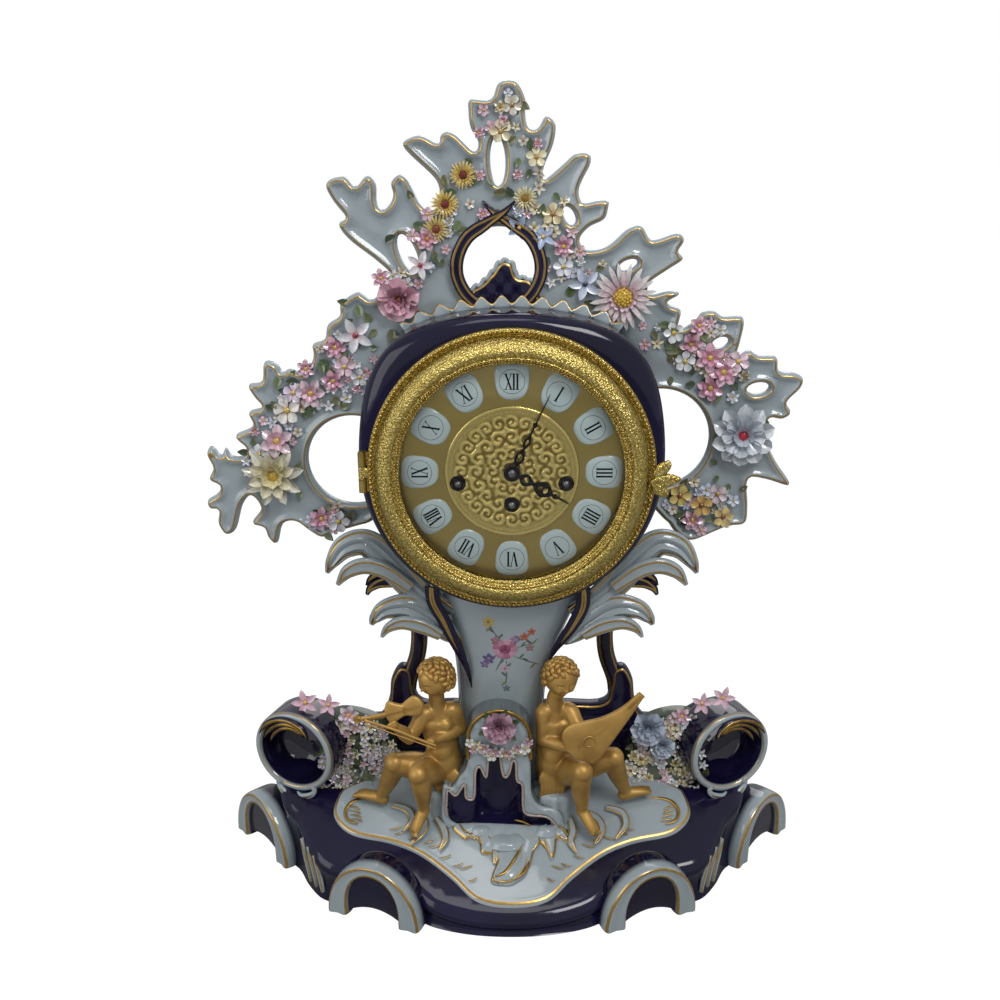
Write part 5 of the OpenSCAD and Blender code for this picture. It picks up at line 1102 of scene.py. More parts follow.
def onPlaque(hour, across, up, lift=0.0):
    # a place on the domed enamel of an hour's plaque, whose own up points away from the hub
    upward = polar(1, 90 - 30 * hour)
    rightward = np.array([upward[1], -upward[0]])
    flat = dial["plaqueCircle"] * upward + np.multiply.outer(across, rightward) + np.multiply.outer(up, upward)
    reach = (abs(across) / 11.6) ** 2.6 + (abs(up) / 12.2) ** 2.6
    dome = 0.35 + dial["dome"] * np.clip(1 - reach, 0, 1) ** 0.6
    return np.stack([flat[..., 0], -clock["dialFront"] - dome - lift, flat[..., 1] + dialHeight], -1)


def makeShields():
    # squared ovals, wider at the outer end, each closed at the back
    across, up = (power(ring(56), 0.62) * [dial["plaqueWide"] / 2, dial["plaqueHigh"] / 2]).T
    across = across * (1 + 0.1 * up / dial["plaqueHigh"] * 2) * np.where(up < 0, 1 - 0.1 * (up / 12) ** 2, 1)
    up = up + 0.9 * (1 - (across / 12) ** 2) * np.sign(up)
    share = np.array(dial["shares"])[:, None]
    shields = Piece("plaque_shields")
    for hour in range(12):
        foot = onPlaque(hour, across[None], up[None])
        foot[..., 1] = -clock["dialFront"] + 0.02
        shields.grid(np.concatenate([onPlaque(hour, share * across, share * up), foot,
                                     foot.mean(1, keepdims=True) + 0 * foot]))
    shields.make(plaqueEnamel, instead="dial_plaques", crease=70)


def makeNumerals():
    # each letter is a few straight strokes laid on the dome, centred by the sum of their advances
    figures = Piece("plaque_numerals")
    size = dial["numeral"]
    t = np.linspace(0, 1, 7)
    for hour, text in enumerate("XII I II III IIII V VI VII VIII IX X XI".split()):
        total = sum(dial["advance"][letter] for letter in text) * size
        squeeze = min(1.0, dial["widest"] / total)
        at = -total / 2
        for letter in text:
            at += dial["advance"][letter] * size / 2
            for top, foot, bold in dial["strokes"][letter]:
                x = (at + (top + (foot - top) * t) * size) * squeeze
                z = (0.5 - t) * size
                figures.swept(onPlaque(hour, x, z, 0.05), dial["bold" if bold else "thin"], 0.12, ring(8))
                # a short bar at each end, but none at the point of a V
                for end in (0, -1)[:1 if letter == "V" else 2]:
                    bar = x[end] + np.linspace(-0.1, 0.1, 4) * size * (1.0 if bold else 0.8)
                    figures.swept(onPlaque(hour, bar, z[end] + 0 * bar, 0.05), dial["thin"], 0.12, ring(8))
            at += dial["advance"][letter] * size / 2
        circle = dial["ringRadius"] * ring(48)
        figures.swept(onPlaque(hour, circle[:, 0], circle[:, 1] * 0.96, -0.02), 0.16, 0.1, ring(6), closed=True)
    figures.make(blackPaint)


makeDialCentre()
makeShields()
makeNumerals()

# hands: rows of (distance from the hub, half width), then the pierced ovals
hands = {"minute_hand": {"length": 60.0, "angle": 65.0, "front": 63.6, "body": "minute",
                         "rows": [(3.6, 1.3), (6, 1.1), (9, 2.7), (13, 3.2), (17, 1.5), (19, 0.8), (22, 2.1),
                                  (25, 2.4), (28, 0.9), (34, 0.6), (36.5, 1.6), (39, 0.55), (48, 0.45), (57, 0.3)],
                         "ovals": [(11.8, 3.0, 1.5), (23.6, 2.2, 0.9)]},
         "hour_hand": {"length": 46.0, "angle": -30.0, "front": 61.6, "body": "hour",
                       "rows": [(3.8, 1.5), (6, 1.2), (8.5, 3.4), (11.5, 4.4), (14.5, 2.4), (16.5, 1.1), (20, 3.8),
                                (24.5, 5.6), (29, 3.2), (31.5, 1.1), (33.5, 2.0), (35.5, 0.7), (40, 0.6),
                                (44, 0.3)],
                       "ovals": [(10.8, 2.2, 2.0), (22.0, 1.6, 1.5), (25.8, 1.6, 2.4)]}}


def makeHand(name, hand):
    # outline mirrored about the hand's own line, pierced, rolled at its edge and turned to its hour
    rows = np.array(hand["rows"])
    hub = [polar(4.6, angle) for angle in range(60, 301, 30)]
    outline = np.concatenate([hub, rows * [1, -1], [[hand["length"], 0.0]], rows[::-1]])
    holes = [2.1 * ring(24)] + [np.array([at, 0]) + ring(24) * [long, wide] for at, long, wide in hand["ovals"]]
    spots, triangles, near, _ = plate(smoothLine(outline, 4, True), holes, 0.4, [0.12, 0.3, 0.6], 0.8)
    spots = turned(spots, hand["angle"])
    blade = Piece(name + "_blade")
    blade.skins(standing(spots, -hand["front"] - rolled(near, 0.5, 0.8)), standing(spots, -hand["front"]), triangles)
    blade.make(blackSteel, hand["body"], name, 70)


for handName, handShape in hands.items():
    makeHand(handName, handShape)
for turnedName, profile, sides, finish, slot, body, node in (
        ("hand_boss", "boss", 40, brightSteel, "bright_steel", "minute", "hand_nut"),
        ("hand_washer", "washer", 48, blackSteel, "black_steel", "minute", "")):
    turnedPart = Piece(turnedName)
    turnedPart.grid(lathe(lathed[profile], sides))
    turnedPart.make(finish, body, node)
for winder, (across, up) in dial["arbors"].items():
    tip = Piece("winding_tip_" + winder.split("_")[0])
    tip.grid(lathe(lathed["tip"], 32, (across, dialHeight + up)))
    tip.make(brightSteel, winder)
print("dial and hands made")

# bezel ring: rows of (radius, distance in front of the crest), rows of beads (radius, front, size, count), the
# three leaves of the knob (across and up, widths) and the pearl on it
bezel = {"profile": [(97, 60.4), (97, 62.6), (96.5, 63.8), (95, 64.4), (93.5, 64.0), (92.8, 63.2), (92.3, 63.2),
                     (92.0, 64.6), (91.1, 67.6), (89.2, 70.6), (86.6, 72.7), (83.8, 73.6), (81.6, 73.5), (80.7, 73.0),
                     (80.4, 72.3), (79.9, 72.3), (79.6, 73.0), (79.0, 73.3), (78.5, 72.8), (77.9, 72.0), (76.9, 71.5),
                     (76.0, 71.0), (75.3, 70.8), (75.0, 70.2), (75.0, 68.5), (76.8, 68.5), (76.8, 60.4)],
         "beadRows": [(95.0, 64.7, 1.4, 190), (77.9, 72.3, 0.82, 236), (76.1, 71.3, 0.78, 232)],
         "knob": [([[93, -6], [99, -5], [106, -3.5], [112.5, -3]], [2.5, 5.0, 4.4, 0.8]),
                  ([[95, -1], [99, 3], [103, 7], [104, 10]], [2.0, 4.2, 3.4, 0.8]),
                  ([[95, -6], [98, -10], [102, -13], [103, -16]], [2.0, 4.2, 3.4, 0.8])],
         "knuckle": [(-4.4, 2.2), (-4.3, 2.6), (4.3, 2.6), (4.4, 2.2)]}


def makeBezel():
    # profile turned about the dial's axis, with the leafy knob, the hinge and three rows of beads
    rim = Piece("bezel_rim")
    rim.grid(lathe(bezel["profile"], 288))
    for points, widths in bezel["knob"]:
        path = smoothLine([[x, -66.5 - 0.03 * (105 - x), z + dialHeight] for x, z in points], 7)
        wide = smoothValues(widths, 7)
        rim.swept(path, wide, np.minimum(wide, 3.0), grooved(22, 0.35, 0.7))
    # hinge knuckle and its strap
    size = [radius for _, radius in bezel["knuckle"]]
    rim.swept([[-100.6, -61.2, dialHeight + z] for z, _ in bezel["knuckle"]], size, size, ring(20))
    rim.swept([[-101, -62.6, dialHeight], [-95, -62.8, dialHeight]], 3.6, 1.1, ring(16))
    rim.make(bezelGold, "bezel_door", "bezel_ring", 60)
    pearls = Piece("bezel_pearls")
    for radius, front, size, count in bezel["beadRows"]:
        pearls.balls(standing(radius * ring(count), -front), size)
    pearls.balls([[110.5, -67.5, dialHeight - 3]], 2.2)
    pearls.make(pearlGold, "bezel_door")


makeBezel()
print("bezel made")

# flowers: each ring of petals is (count, start, length, half width, tilt, bend, cup, tip shape), sizes as shares
# of the flower's radius; a tip shape over 1 is round-ended, below 1 pointed
blooms = {
    "daisy": {"rings": [(20, 0.3, 0.7, 0.075, 0.12, -0.1, 0.5, 1.3), (18, 0.24, 0.6, 0.07, 0.42, -0.12, 0.5, 1.3),
                        (14, 0.18, 0.36, 0.07, 0.85, -0.1, 0.5, 1.3)], "heart": 0.28, "grains": 26},
    "dahlia": {"rings": [(10, 0.2, 0.8, 0.26, 0.12, -0.05, 0.9, 1.7), (8, 0.12, 0.66, 0.24, 0.5, -0.12, 0.9, 1.7),
                         (7, 0.06, 0.44, 0.2, 0.95, -0.1, 0.9, 1.7)], "heart": 0.16, "grains": 9},
    "rose": {"rings": [(6, 0.12, 0.84, 0.42, 0.2, 0.02, 0.9, 1.9), (6, 0.08, 0.66, 0.36, 0.66, 0.02, 1.1, 1.9),
                       (5, 0.05, 0.46, 0.28, 1.05, 0.02, 1.2, 1.9), (3, 0.02, 0.3, 0.2, 1.25, 0.0, 1.2, 1.9)],
             "heart": 0.1, "grains": 0},
    "lotus": {"rings": [(9, 0.12, 0.88, 0.2, 0.1, 0.05, 0.9, 1.05), (8, 0.1, 0.74, 0.19, 0.5, 0.02, 0.9, 1.05),
                        (7, 0.06, 0.52, 0.17, 0.95, 0.0, 0.9, 1.05)], "heart": 0.2, "grains": 16},
    "star": {"rings": [(5, 0.06, 0.94, 0.24, 0.18, -0.05, 0.5, 0.95)], "heart": 0.16, "grains": 5},
    "double": {"rings": [(6, 0.1, 0.9, 0.3, 0.14, -0.05, 0.7, 1.5), (5, 0.06, 0.6, 0.24, 0.55, -0.05, 0.8, 1.5)],
               "heart": 0.2, "grains": 7},
    "five": {"rings": [(5, 0.08, 0.9, 0.36, 0.16, -0.1, 0.5, 1.7)], "heart": 0.22, "grains": 0}}
# section of a petal or leaf: places across it and which of its two sides each lies on
petalSides = np.array([0, 1, 1, 1, 0, -1, -1, -1])[None]
luck = np.random.default_rng(7)


def petalRing(count, start, length, half, tilt, bend, cup, shape, rows):
    # petals round an axis: along the petal it rises by tilt and bend, across it cups by the square
    u = np.linspace(0, 1, rows)[:, None]
    v = np.array([-1, -0.55, 0, 0.55, 1, 0.55, 0, -0.55])[None]
    width = half * np.sin(pi * np.clip(0.1 + 0.9 * u, 0, 1) ** shape) ** 0.8
    width[0], width[-1] = 0, 0
    reach = start + length * u * math.cos(tilt) + 0 * v
    rise = (length * (u * math.sin(tilt) + bend * u ** 2) + cup * width * v ** 2
            + 0.022 * petalSides * (width > 0))
    phi = (np.arange(count) * 2 * pi / count + luck.uniform(0, 6.3) + luck.uniform(-0.08, 0.08, count))[:, None, None]
    across = (width * v)[None]
    return np.stack([reach * np.cos(phi) - across * np.sin(phi), reach * np.sin(phi) + across * np.cos(phi),
                     rise[None] + luck.uniform(-0.02, 0.02, count)[:, None, None]], 3), u


def addBloom(piece, kind, place, radius, outer, inner, heart, lean=None, turn=None):
    # rings of petals that shade from the inner to the outer colour, round a grained heart; the flower's own axis
    # leans from straight ahead by lean in the direction turn
    shape = blooms[kind]
    lean = luck.uniform(0, 0.3) if lean is None else lean
    turn = luck.uniform(0, 6.3) if turn is None else turn
    axis = np.array([math.sin(lean) * math.cos(turn), -math.cos(lean), math.sin(lean) * math.sin(turn)])
    side = unit(np.cross(axis, [0.01, 0, 1.0]))
    axes = np.stack([side, np.cross(axis, side), axis])
    outer, inner, heart = tone(outer), tone(inner), tone(heart)
    for k, spec in enumerate(shape["rings"]):
        local, u = petalRing(*spec, 7 if radius > 7 else 6)
        depth = k / max(len(shape["rings"]) - 1, 1)
        foot = outer + (inner - outer) * min(1.0, 0.35 + 0.65 * depth)
        tip = outer + (inner - outer) * 0.6 * depth
        colour = foot + (tip - foot) * ease(0.1, 0.75, u)[..., None]
        glow = luck.uniform(0.88, 1.06, len(local))[:, None, None, None]
        piece.grid(place + radius * local @ axes, tint=np.clip(colour[None] * glow, 0, 1) + 0 * local)
    size = shape["heart"] * radius
    cap = ballGrid(6, 12) * [1, 1, 0.7] * size + [0, 0, 0.1 * radius]
    piece.grid(place + cap @ axes, tint=heart)
    if shape["grains"]:
        k = np.arange(shape["grains"]) + 0.5
        spread = np.sqrt(k / shape["grains"]) * 0.95
        spot = np.stack([size * spread * np.cos(2.4 * k), size * spread * np.sin(2.4 * k),
                         0.1 * radius + 0.7 * size * np.sqrt(1 - 0.85 * spread ** 2)], 1)
        piece.balls(place + spot @ axes, 0.17 * size, np.clip(heart * 1.25, 0, 1), 4, 6)


def addLeafBlade(piece, place, length, angle, colour, lean=0.35):
    # pointed leaf folded along its vein, lying along angle; its colour is painted darker along the fold as shade and
    # lighter towards the raised edges
    u = np.linspace(0, 1, 8)[:, None]
    v = np.array([-1, -0.5, 0, 0.5, 1, 0.5, 0, -0.5])[None]
    width = 0.3 * np.sin(pi * u ** 0.75) ** 0.9
    width[0], width[-1] = 0, 0
    local = np.stack([u * math.cos(lean) + 0 * v, width * v,
                      0.35 * width * abs(v) + 0.25 * u ** 2 + 0.02 * petalSides * (width > 0)], 2)
    along, up = polar(1, angle), polar(1, angle + 90)
    axes = np.array([[along[0], 0, along[1]], [up[0], 0, up[1]], [0, -1, 0]])
    # painted shade: darker in the valley of the folded vein, lighter towards the edges
    creaseShade = (0.75 + 0.35 * abs(v) + 0 * u)[..., None]
    piece.grid(place + length * local @ axes, tint=np.clip(tone(colour) * creaseShade, 0, 1))


# crest flowers: kind, across, up, radius (hundredths of the crest height), petals, inner petals, heart
crestFlowers = [
    ("rose", -31, 43.5, 6.6, "#d9b3be", "#b86a86", "#cfa948"),
    ("star", -25, 52.5, 4.2, "#d3d3d4", "#c99aa5", "#8f2f3c"),
    ("double", -23, 59.5, 3.4, "#d6b3bd", "#c07f93", "#b0803a"),
    ("daisy", -13, 76, 3.8, "#cdb668", "#c49a3c", "#6e2a28"),
    ("daisy", -18, 68.5, 4.0, "#cdb668", "#c49a3c", "#6e2a28"),
    ("daisy", -20.5, 62, 3.8, "#cbb878", "#bf9a48", "#7a3a28"),
    ("five", -3, 87, 3.2, "#cfc6a4", "#c9b774", "#a3803a"),
    ("five", 0, 93.5, 2.8, "#c7c2b4", "#c2ad88", "#8f6d3f"),
    ("five", 6.5, 80.5, 3.0, "#cdc6a4", "#c9b774", "#9c7a32"),
    ("daisy", 3.5, 70, 3.4, "#cdc59a", "#bfa864", "#8a6a2c"),
    ("five", 11, 66, 3.2, "#cfc39a", "#c2a65a", "#8a6a2c"),
    ("star", 2, 62.5, 3.6, "#9fb0cb", "#7b90b8", "#c5a54c"),
    ("star", 8.5, 60, 3.8, "#a3b1ca", "#8094bb", "#c5a54c"),
    ("double", 14, 57.5, 3.2, "#d3aebb", "#b9788f", "#c0a04a"),
    ("star", 20, 47.5, 4.8, "#c3cddb", "#8e9fbe", "#37324f"),
    ("daisy", 30.5, 44, 9.4, "#d4d3cf", "#cf9fae", "#c2a23c"),
    ("five", 14, 52, 3.0, "#cdd0d4", "#a9b2c8", "#b59a4c"),
    ("double", -36, 49, 2.8, "#d2b4bd", "#bd8496", "#b59a4c")]
leftWingFlowers = [
    ("star", -43.5, 33.5, 5.4, "#d0d3d6", "#c9a0ab", "#93303c"),
    ("double", -49.5, 30, 3.4, "#d2aab8", "#b97a90", "#bba04c"),
    ("five", -47, 24.5, 3.2, "#d5bcc6", "#c391a3", "#bba04c"),
    ("double", -50.5, 20.5, 3.4, "#cda3b3", "#b5748c", "#bba04c"),
    ("five", -43, 21.5, 2.8, "#cdd0d2", "#b5bac0", "#bba04c"),
    ("double", -57, 17, 4.4, "#d0bac1", "#bd8b9c", "#b99b45"),
    ("five", -64, 12, 4.4, "#d3d0cc", "#c5b58a", "#b99b45"),
    ("double", -67.5, 3, 5.0, "#d5bfc6", "#c08fa0", "#b99b45"),
    ("lotus", -69, -7, 9.2, "#cfcdbd", "#cbbf83", "#b89a3e"),
    ("five", -73, -1, 3.2, "#cfd0d0", "#b9bcc4", "#bba04c"),
    ("double", -56, -20.5, 3.8, "#d0aab8", "#b6778e", "#bba04c"),
    ("five", -51, -21.5, 3.6, "#cfd0d3", "#b5b6c6", "#bba04c"),
    ("five", -62, 17, 3.2, "#c9bccb", "#a98fae", "#bba04c"),
    ("double", -58, 24, 2.8, "#d1b2bd", "#bb8498", "#bba04c")]
rightWingFlowers = [
    ("double", 50, 31, 3.6, "#d3aebb", "#bd7f95", "#bba04c"),
    ("double", 55.5, 27, 4.4, "#d2a9b8", "#b97a90", "#bba04c"),
    ("double", 59.5, 23, 4.4, "#d3aebb", "#bd7f95", "#bba04c"),
    ("double", 56, 18.5, 4.0, "#cfa5b5", "#b5748c", "#bba04c"),
    ("five", 63.5, 26, 3.4, "#d5c0c8", "#c394a4", "#bba04c"),
    ("five", 48.5, 26, 3.2, "#cdd0d2", "#aab3a0", "#bba04c"),
    ("dahlia", 66, 5, 9.2, "#c9cfd3", "#9aa6b4", "#b02438"),
    ("five", 49, -13.5, 3.6, "#c8b264", "#b0893a", "#7b4a22"),
    ("five", 55.5, -16.5, 3.6, "#c9a55a", "#b07c3a", "#7b4a22"),
    ("five", 60, -13, 3.2, "#cfc0c4", "#bb8f9c", "#9c7a32"),
    ("double", 53, -21, 3.4, "#d1b4bd", "#b97f92", "#b89a3e"),
    ("five", 62, -20, 3.4, "#cdb77a", "#b2903f", "#7b4a22"),
    ("five", 45, 34, 3.2, "#ccd0d0", "#a7b19a", "#b89a3e"),
    ("double", 52, 36, 3.0, "#d3b2bd", "#b97f92", "#b89a3e")]
greens = ["#4d5f3c", "#5d6c46", "#39482f", "#6d7350", "#5a5a38"]
smallTones = [("#c9cdd0", "#b3b9bd", "#b59a4c"), ("#cdb0ba", "#b27c90", "#b59a4c"), ("#cdc7ae", "#bba766", "#8a6a2c"),
              ("#bfc5d3", "#97a4bd", "#b59a4c"), ("#c6a6b2", "#a8768c", "#b59a4c"), ("#c8c4b8", "#b4a58a", "#8a6a2c")]


def drumLoop():
    # outline of the drum with a little room, starting at the right
    degrees = np.arange(0, 360, 3.0)
    reach = drumReach(((degrees + 90) % 360) - 90) + 1.5
    return reach[:, None] * ring(len(degrees))


def spread(tried, apart, blocked, most):
    # keeps the spots in turn that stand apart from those kept before and aren't blocked, up to a number
    kept = np.zeros((0, 2))
    for spot in tried:
        free = len(kept) == 0 or np.linalg.norm(kept - spot, axis=1).min() > apart
        if free and not blocked(spot):
            kept = np.concatenate([kept, spot[None]])
        if len(kept) >= most:
            break
    return kept


def flowerPatch(name, flowers, blossoms, leafCount, reach):
    # the named flowers, then small blossoms and leaves strewn round them over the crest
    loops = crestLoops()
    patch = Piece("blossoms_" + name)
    places = np.array([[f[1], f[2]] for f in flowers]) * crestScale
    sizes = np.array([f[3] for f in flowers]) * crestScale
    for (kind, _, _, _, *tones), (x, z), size in zip(flowers, places, sizes):
        addBloom(patch, kind, np.array([x, -5.0 - 0.18 * size, dialHeight + z]), size, *tones,
                 lean=0.12 if size > 15 else None)
    tried = places[luck.integers(0, len(places), 4000)] + luck.normal(0, reach, (4000, 2))
    tried = tried[within(tried, [loops[0], drumLoop(), *loops[1:]])]
    tried = tried[nearness(tried, loops) > 2.5]
    kept = spread(tried, 5.0, lambda spot: (np.linalg.norm(places - spot, axis=1) <= 0.62 * sizes).any(),
                  blossoms + leafCount)
    for k, (x, z) in enumerate(kept):
        place = np.array([x, -5.4, dialHeight + z])
        if k < blossoms:
            addBloom(patch, ("five", "double", "five", "star")[k % 4], place - [0, 0.6, 0], luck.uniform(3.2, 5.4),
                     *smallTones[luck.integers(0, len(smallTones))])
        else:
            addLeafBlade(patch, place, luck.uniform(6, 10.5), luck.uniform(0, 360), greens[k % len(greens)])
    patch.make(petalEnamel, instead="flowers_" + name, crease=40)


flowerPatch("crest", crestFlowers, 46, 44, 10.0)
flowerPatch("wing_left", leftWingFlowers, 40, 34, 8.5)
flowerPatch("wing_right", rightWingFlowers, 36, 36, 8.5)
print("crest flowers made")

# flower banks on the base, in millimetres: across is counted outwards on both sides
bank = {"plan": [[92, 57], [147.2, 57], [150.6, 82.5], [142.6, 114.7], [115, 114.7], [96.6, 98.6]],
        "back": 5.8, "front": -9.0, "lean": 0.8, "apart": 4.3, "most": 118, "ground": "#3f4a38"}
bankFlowers = {
    -1: [("star", 160, 130, 11.0, "#d3b0be", "#b9788f", "#c0a04a"),
         ("star", 142, 128, 9.5, "#d0aebd", "#b97a92", "#c0a04a"),
         ("double", 127, 119, 8.5, "#d2ccd2", "#c08fa4", "#c0a04a"),
         ("star", 133, 108, 7.0, "#cfc3cf", "#a98fb4", "#c0a04a")],
    1: [("rose", 106, 107, 15.0, "#b4bfcc", "#8b9ab0", "#97a3b4"),
        ("rose", 118, 91, 11.0, "#b9c3ce", "#94a2b6", "#97a3b4"),
        ("star", 147, 129, 9.5, "#d0b2bf", "#bb8097", "#c0a04a"),
        ("star", 163, 134, 10.0, "#d2b5c1", "#bd849a", "#c0a04a"),
        ("double", 132, 118, 7.5, "#d0b6c1", "#b9869a", "#c0a04a"),
        ("five", 102, 79, 6.0, "#c9bd84", "#b0903c", "#7b4a22")]}
bankTones = {
    -1: [("#c6c6c4", "#aaa9a4", "#a58f4c"), ("#bdb8bf", "#948a9c", "#a58f4c"), ("#c9c6b2", "#a9a07a", "#8a6a2c"),
         ("#c6b2ba", "#a3808f", "#a58f4c")],
    1: [("#d6dadd", "#b4bdc8", "#b59a4c"), ("#d4cda8", "#b0a060", "#7b4a22"), ("#d2c0c8", "#b08e9c", "#b59a4c"),
        ("#d8d6cb", "#b9b090", "#8a6a2c")]}


def bankDepth(up):
    # front of the mound: upright over the flat rear part, leaning forward over the slope
    return bank["front"] - bank["lean"] * np.maximum(0, clock["baseTop"] - up)


def makeBank(side, name):
    # lumpy mound over the outline, the named flowers, then small ones and leaves strewn evenly
    flowers = bankFlowers[side]
    loop = smoothLine(np.array(bank["plan"]) - [0, dialHeight], 6, True)
    spots, triangles, near, _ = plate(loop, [], 2.5, [0.5, 1.5, 3.0, 5.0], 4.0)
    lumps = 2.4 * np.sin(0.42 * spots[:, 0]) * np.sin(0.39 * spots[:, 1]) * ease(0, 4, near)
    back = bank["back"]
    front = back + (bankDepth(spots[:, 1] + dialHeight) - back) * rolled(near, 5.0, 1.0) - lumps
    mound = Piece("blossoms_base_" + name)
    spots = spots * [side, 1]
    mound.skins(standing(spots, front), standing(spots, back), triangles, tint=tone(bank["ground"]))
    for kind, x, z, size, *tones in flowers:
        depth = bankDepth(z) - 1.5 if z < 118 else -12.0
        addBloom(mound, kind, np.array([side * x, depth, z]), size, *tones, lean=0.2, turn=pi / 2)
    tried = np.stack([luck.uniform(92, 152, 2400), luck.uniform(58, 116, 2400)], 1)
    tried = tried[insideLoop(tried - [0, dialHeight], loop)]
    large = [f for f in flowers if f[3] > 9]
    kept = spread(tried, bank["apart"],
                  lambda spot: any(np.hypot(spot[0] - f[1], spot[1] - f[2]) < 0.6 * f[3] for f in large), bank["most"])
    for k, (x, z) in enumerate(kept):
        place = np.array([side * x, bankDepth(z) - 0.5, z])
        if k % 4 == 3:
            addLeafBlade(mound, place, luck.uniform(6, 10), luck.uniform(0, 360), greens[k % len(greens)])
        else:
            addBloom(mound, ("five", "double", "star")[k % 3], place - [0, 1, 0], luck.uniform(3.6, 5.6),
                     *bankTones[side][luck.integers(0, 4)], lean=0.35, turn=pi / 2 if luck.random() > 0.4 else None)
    mound.make(petalEnamel, instead="flowers_base_" + name, crease=40)


makeBank(-1, "left")
makeBank(1, "right")
print("base flowers made")

# figures: joints as shares of the sitting height about the middle of each seat, as in the construction
figures = {
    "violinist": {
        "seat": (-48.3, -34.5, 72.5), "face": (-0.72, -0.66, -0.2), "side": -1, "joints": {
            "pelvis": (-0.03, 0, 0.14), "waist": (-0.04, -0.02, 0.33), "chest": (-0.06, -0.05, 0.5),
            "neck": (-0.07, -0.06, 0.67), "head": (-0.07, -0.07, 0.85), "shoulderA": (-0.145, -0.09, 0.6),
            "elbowA": (-0.25, -0.17, 0.46), "handA": (-0.345, -0.24, 0.6), "shoulderB": (0.03, -0.04, 0.6),
            "elbowB": (0.09, -0.02, 0.445), "handB": (-0.1, -0.22, 0.46), "kneeA": (-0.36, -0.13, 0.245),
            "ankleA": (-0.47, -0.05, -0.06), "toeA": (-0.64, 0.01, -0.09), "kneeB": (-0.19, -0.25, 0.23),
            "ankleB": (-0.165, -0.21, -0.06), "toeB": (-0.23, -0.28, -0.2)}},
    "lutenist": {
        "seat": (34.5, -35.65, 72.5), "face": (0.3, -0.93, -0.16), "side": 1, "joints": {
            "pelvis": (-0.01, 0, 0.14), "waist": (-0.035, -0.03, 0.32), "chest": (-0.02, -0.045, 0.5),
            "neck": (-0.025, -0.06, 0.68), "head": (0.01, -0.07, 0.86), "shoulderA": (0.065, -0.055, 0.61),
            "elbowA": (0.165, -0.165, 0.49), "handA": (0.255, -0.22, 0.6), "shoulderB": (-0.09, -0.07, 0.61),
            "elbowB": (-0.11, -0.11, 0.42), "handB": (0.11, -0.235, 0.41), "kneeA": (0.375, -0.13, 0.29),
            "ankleA": (0.475, -0.035, -0.03), "toeA": (0.64, 0.01, -0.06), "kneeB": (0.155, -0.27, 0.27),
            "ankleB": (0.165, -0.23, -0.04), "toeB": (0.25, -0.3, -0.18)}}}
cherub = {"sitting": 110.0, "voxel": 0.85, "softer": 5, "torso": [13.5, 15.5, 14.6, 12.8, 13.2, 11.6, 7, 6, 6],
          "upperArm": [7.5, 7, 6, 4.9], "forearm": [5.0, 5.1, 3.3, 3.8], "finger": [1.5, 1.4, 1.1], "thumb": [1.6, 1.3],
          "thigh": [11.5, 10.8, 8.2], "lowerLeg": [7.6, 7.5, 4.3], "footWide": [4.4, 4.6, 5.2, 4.6],
          "footHigh": [4.6, 4.4, 3.4, 2.6], "toes": [1.9, 1.6, 1.5, 1.4, 1.3], "fold": [2.0, 2.5, 2.1, 1.2]}


def aboutSeat(who, shares):
    # shares of the sitting height about the seat, in millimetres
    return np.array(figures[who]["seat"]) + cherub["sitting"] * np.array(shares, float)


def limb(piece, places, radii, flat=1.0):
    # rounded limb through places; flat narrows it from front to back
    radius, path = smoothValues(radii, 6), smoothLine(places, 6)
    piece.swept(path, radius, radius * flat, ring(18), facing=(0.2, -1, 0.3))
    piece.balls(path[[0, -1]], radius[[0, -1]] * min(flat, 1.0), rows=9, columns=14)


def oval(piece, middle, radii, axes=np.eye(3), rows=16, columns=22):
    # ellipsoid; axes turns it
    piece.grid(np.asarray(middle, float) + ballGrid(rows, columns) * radii @ axes)


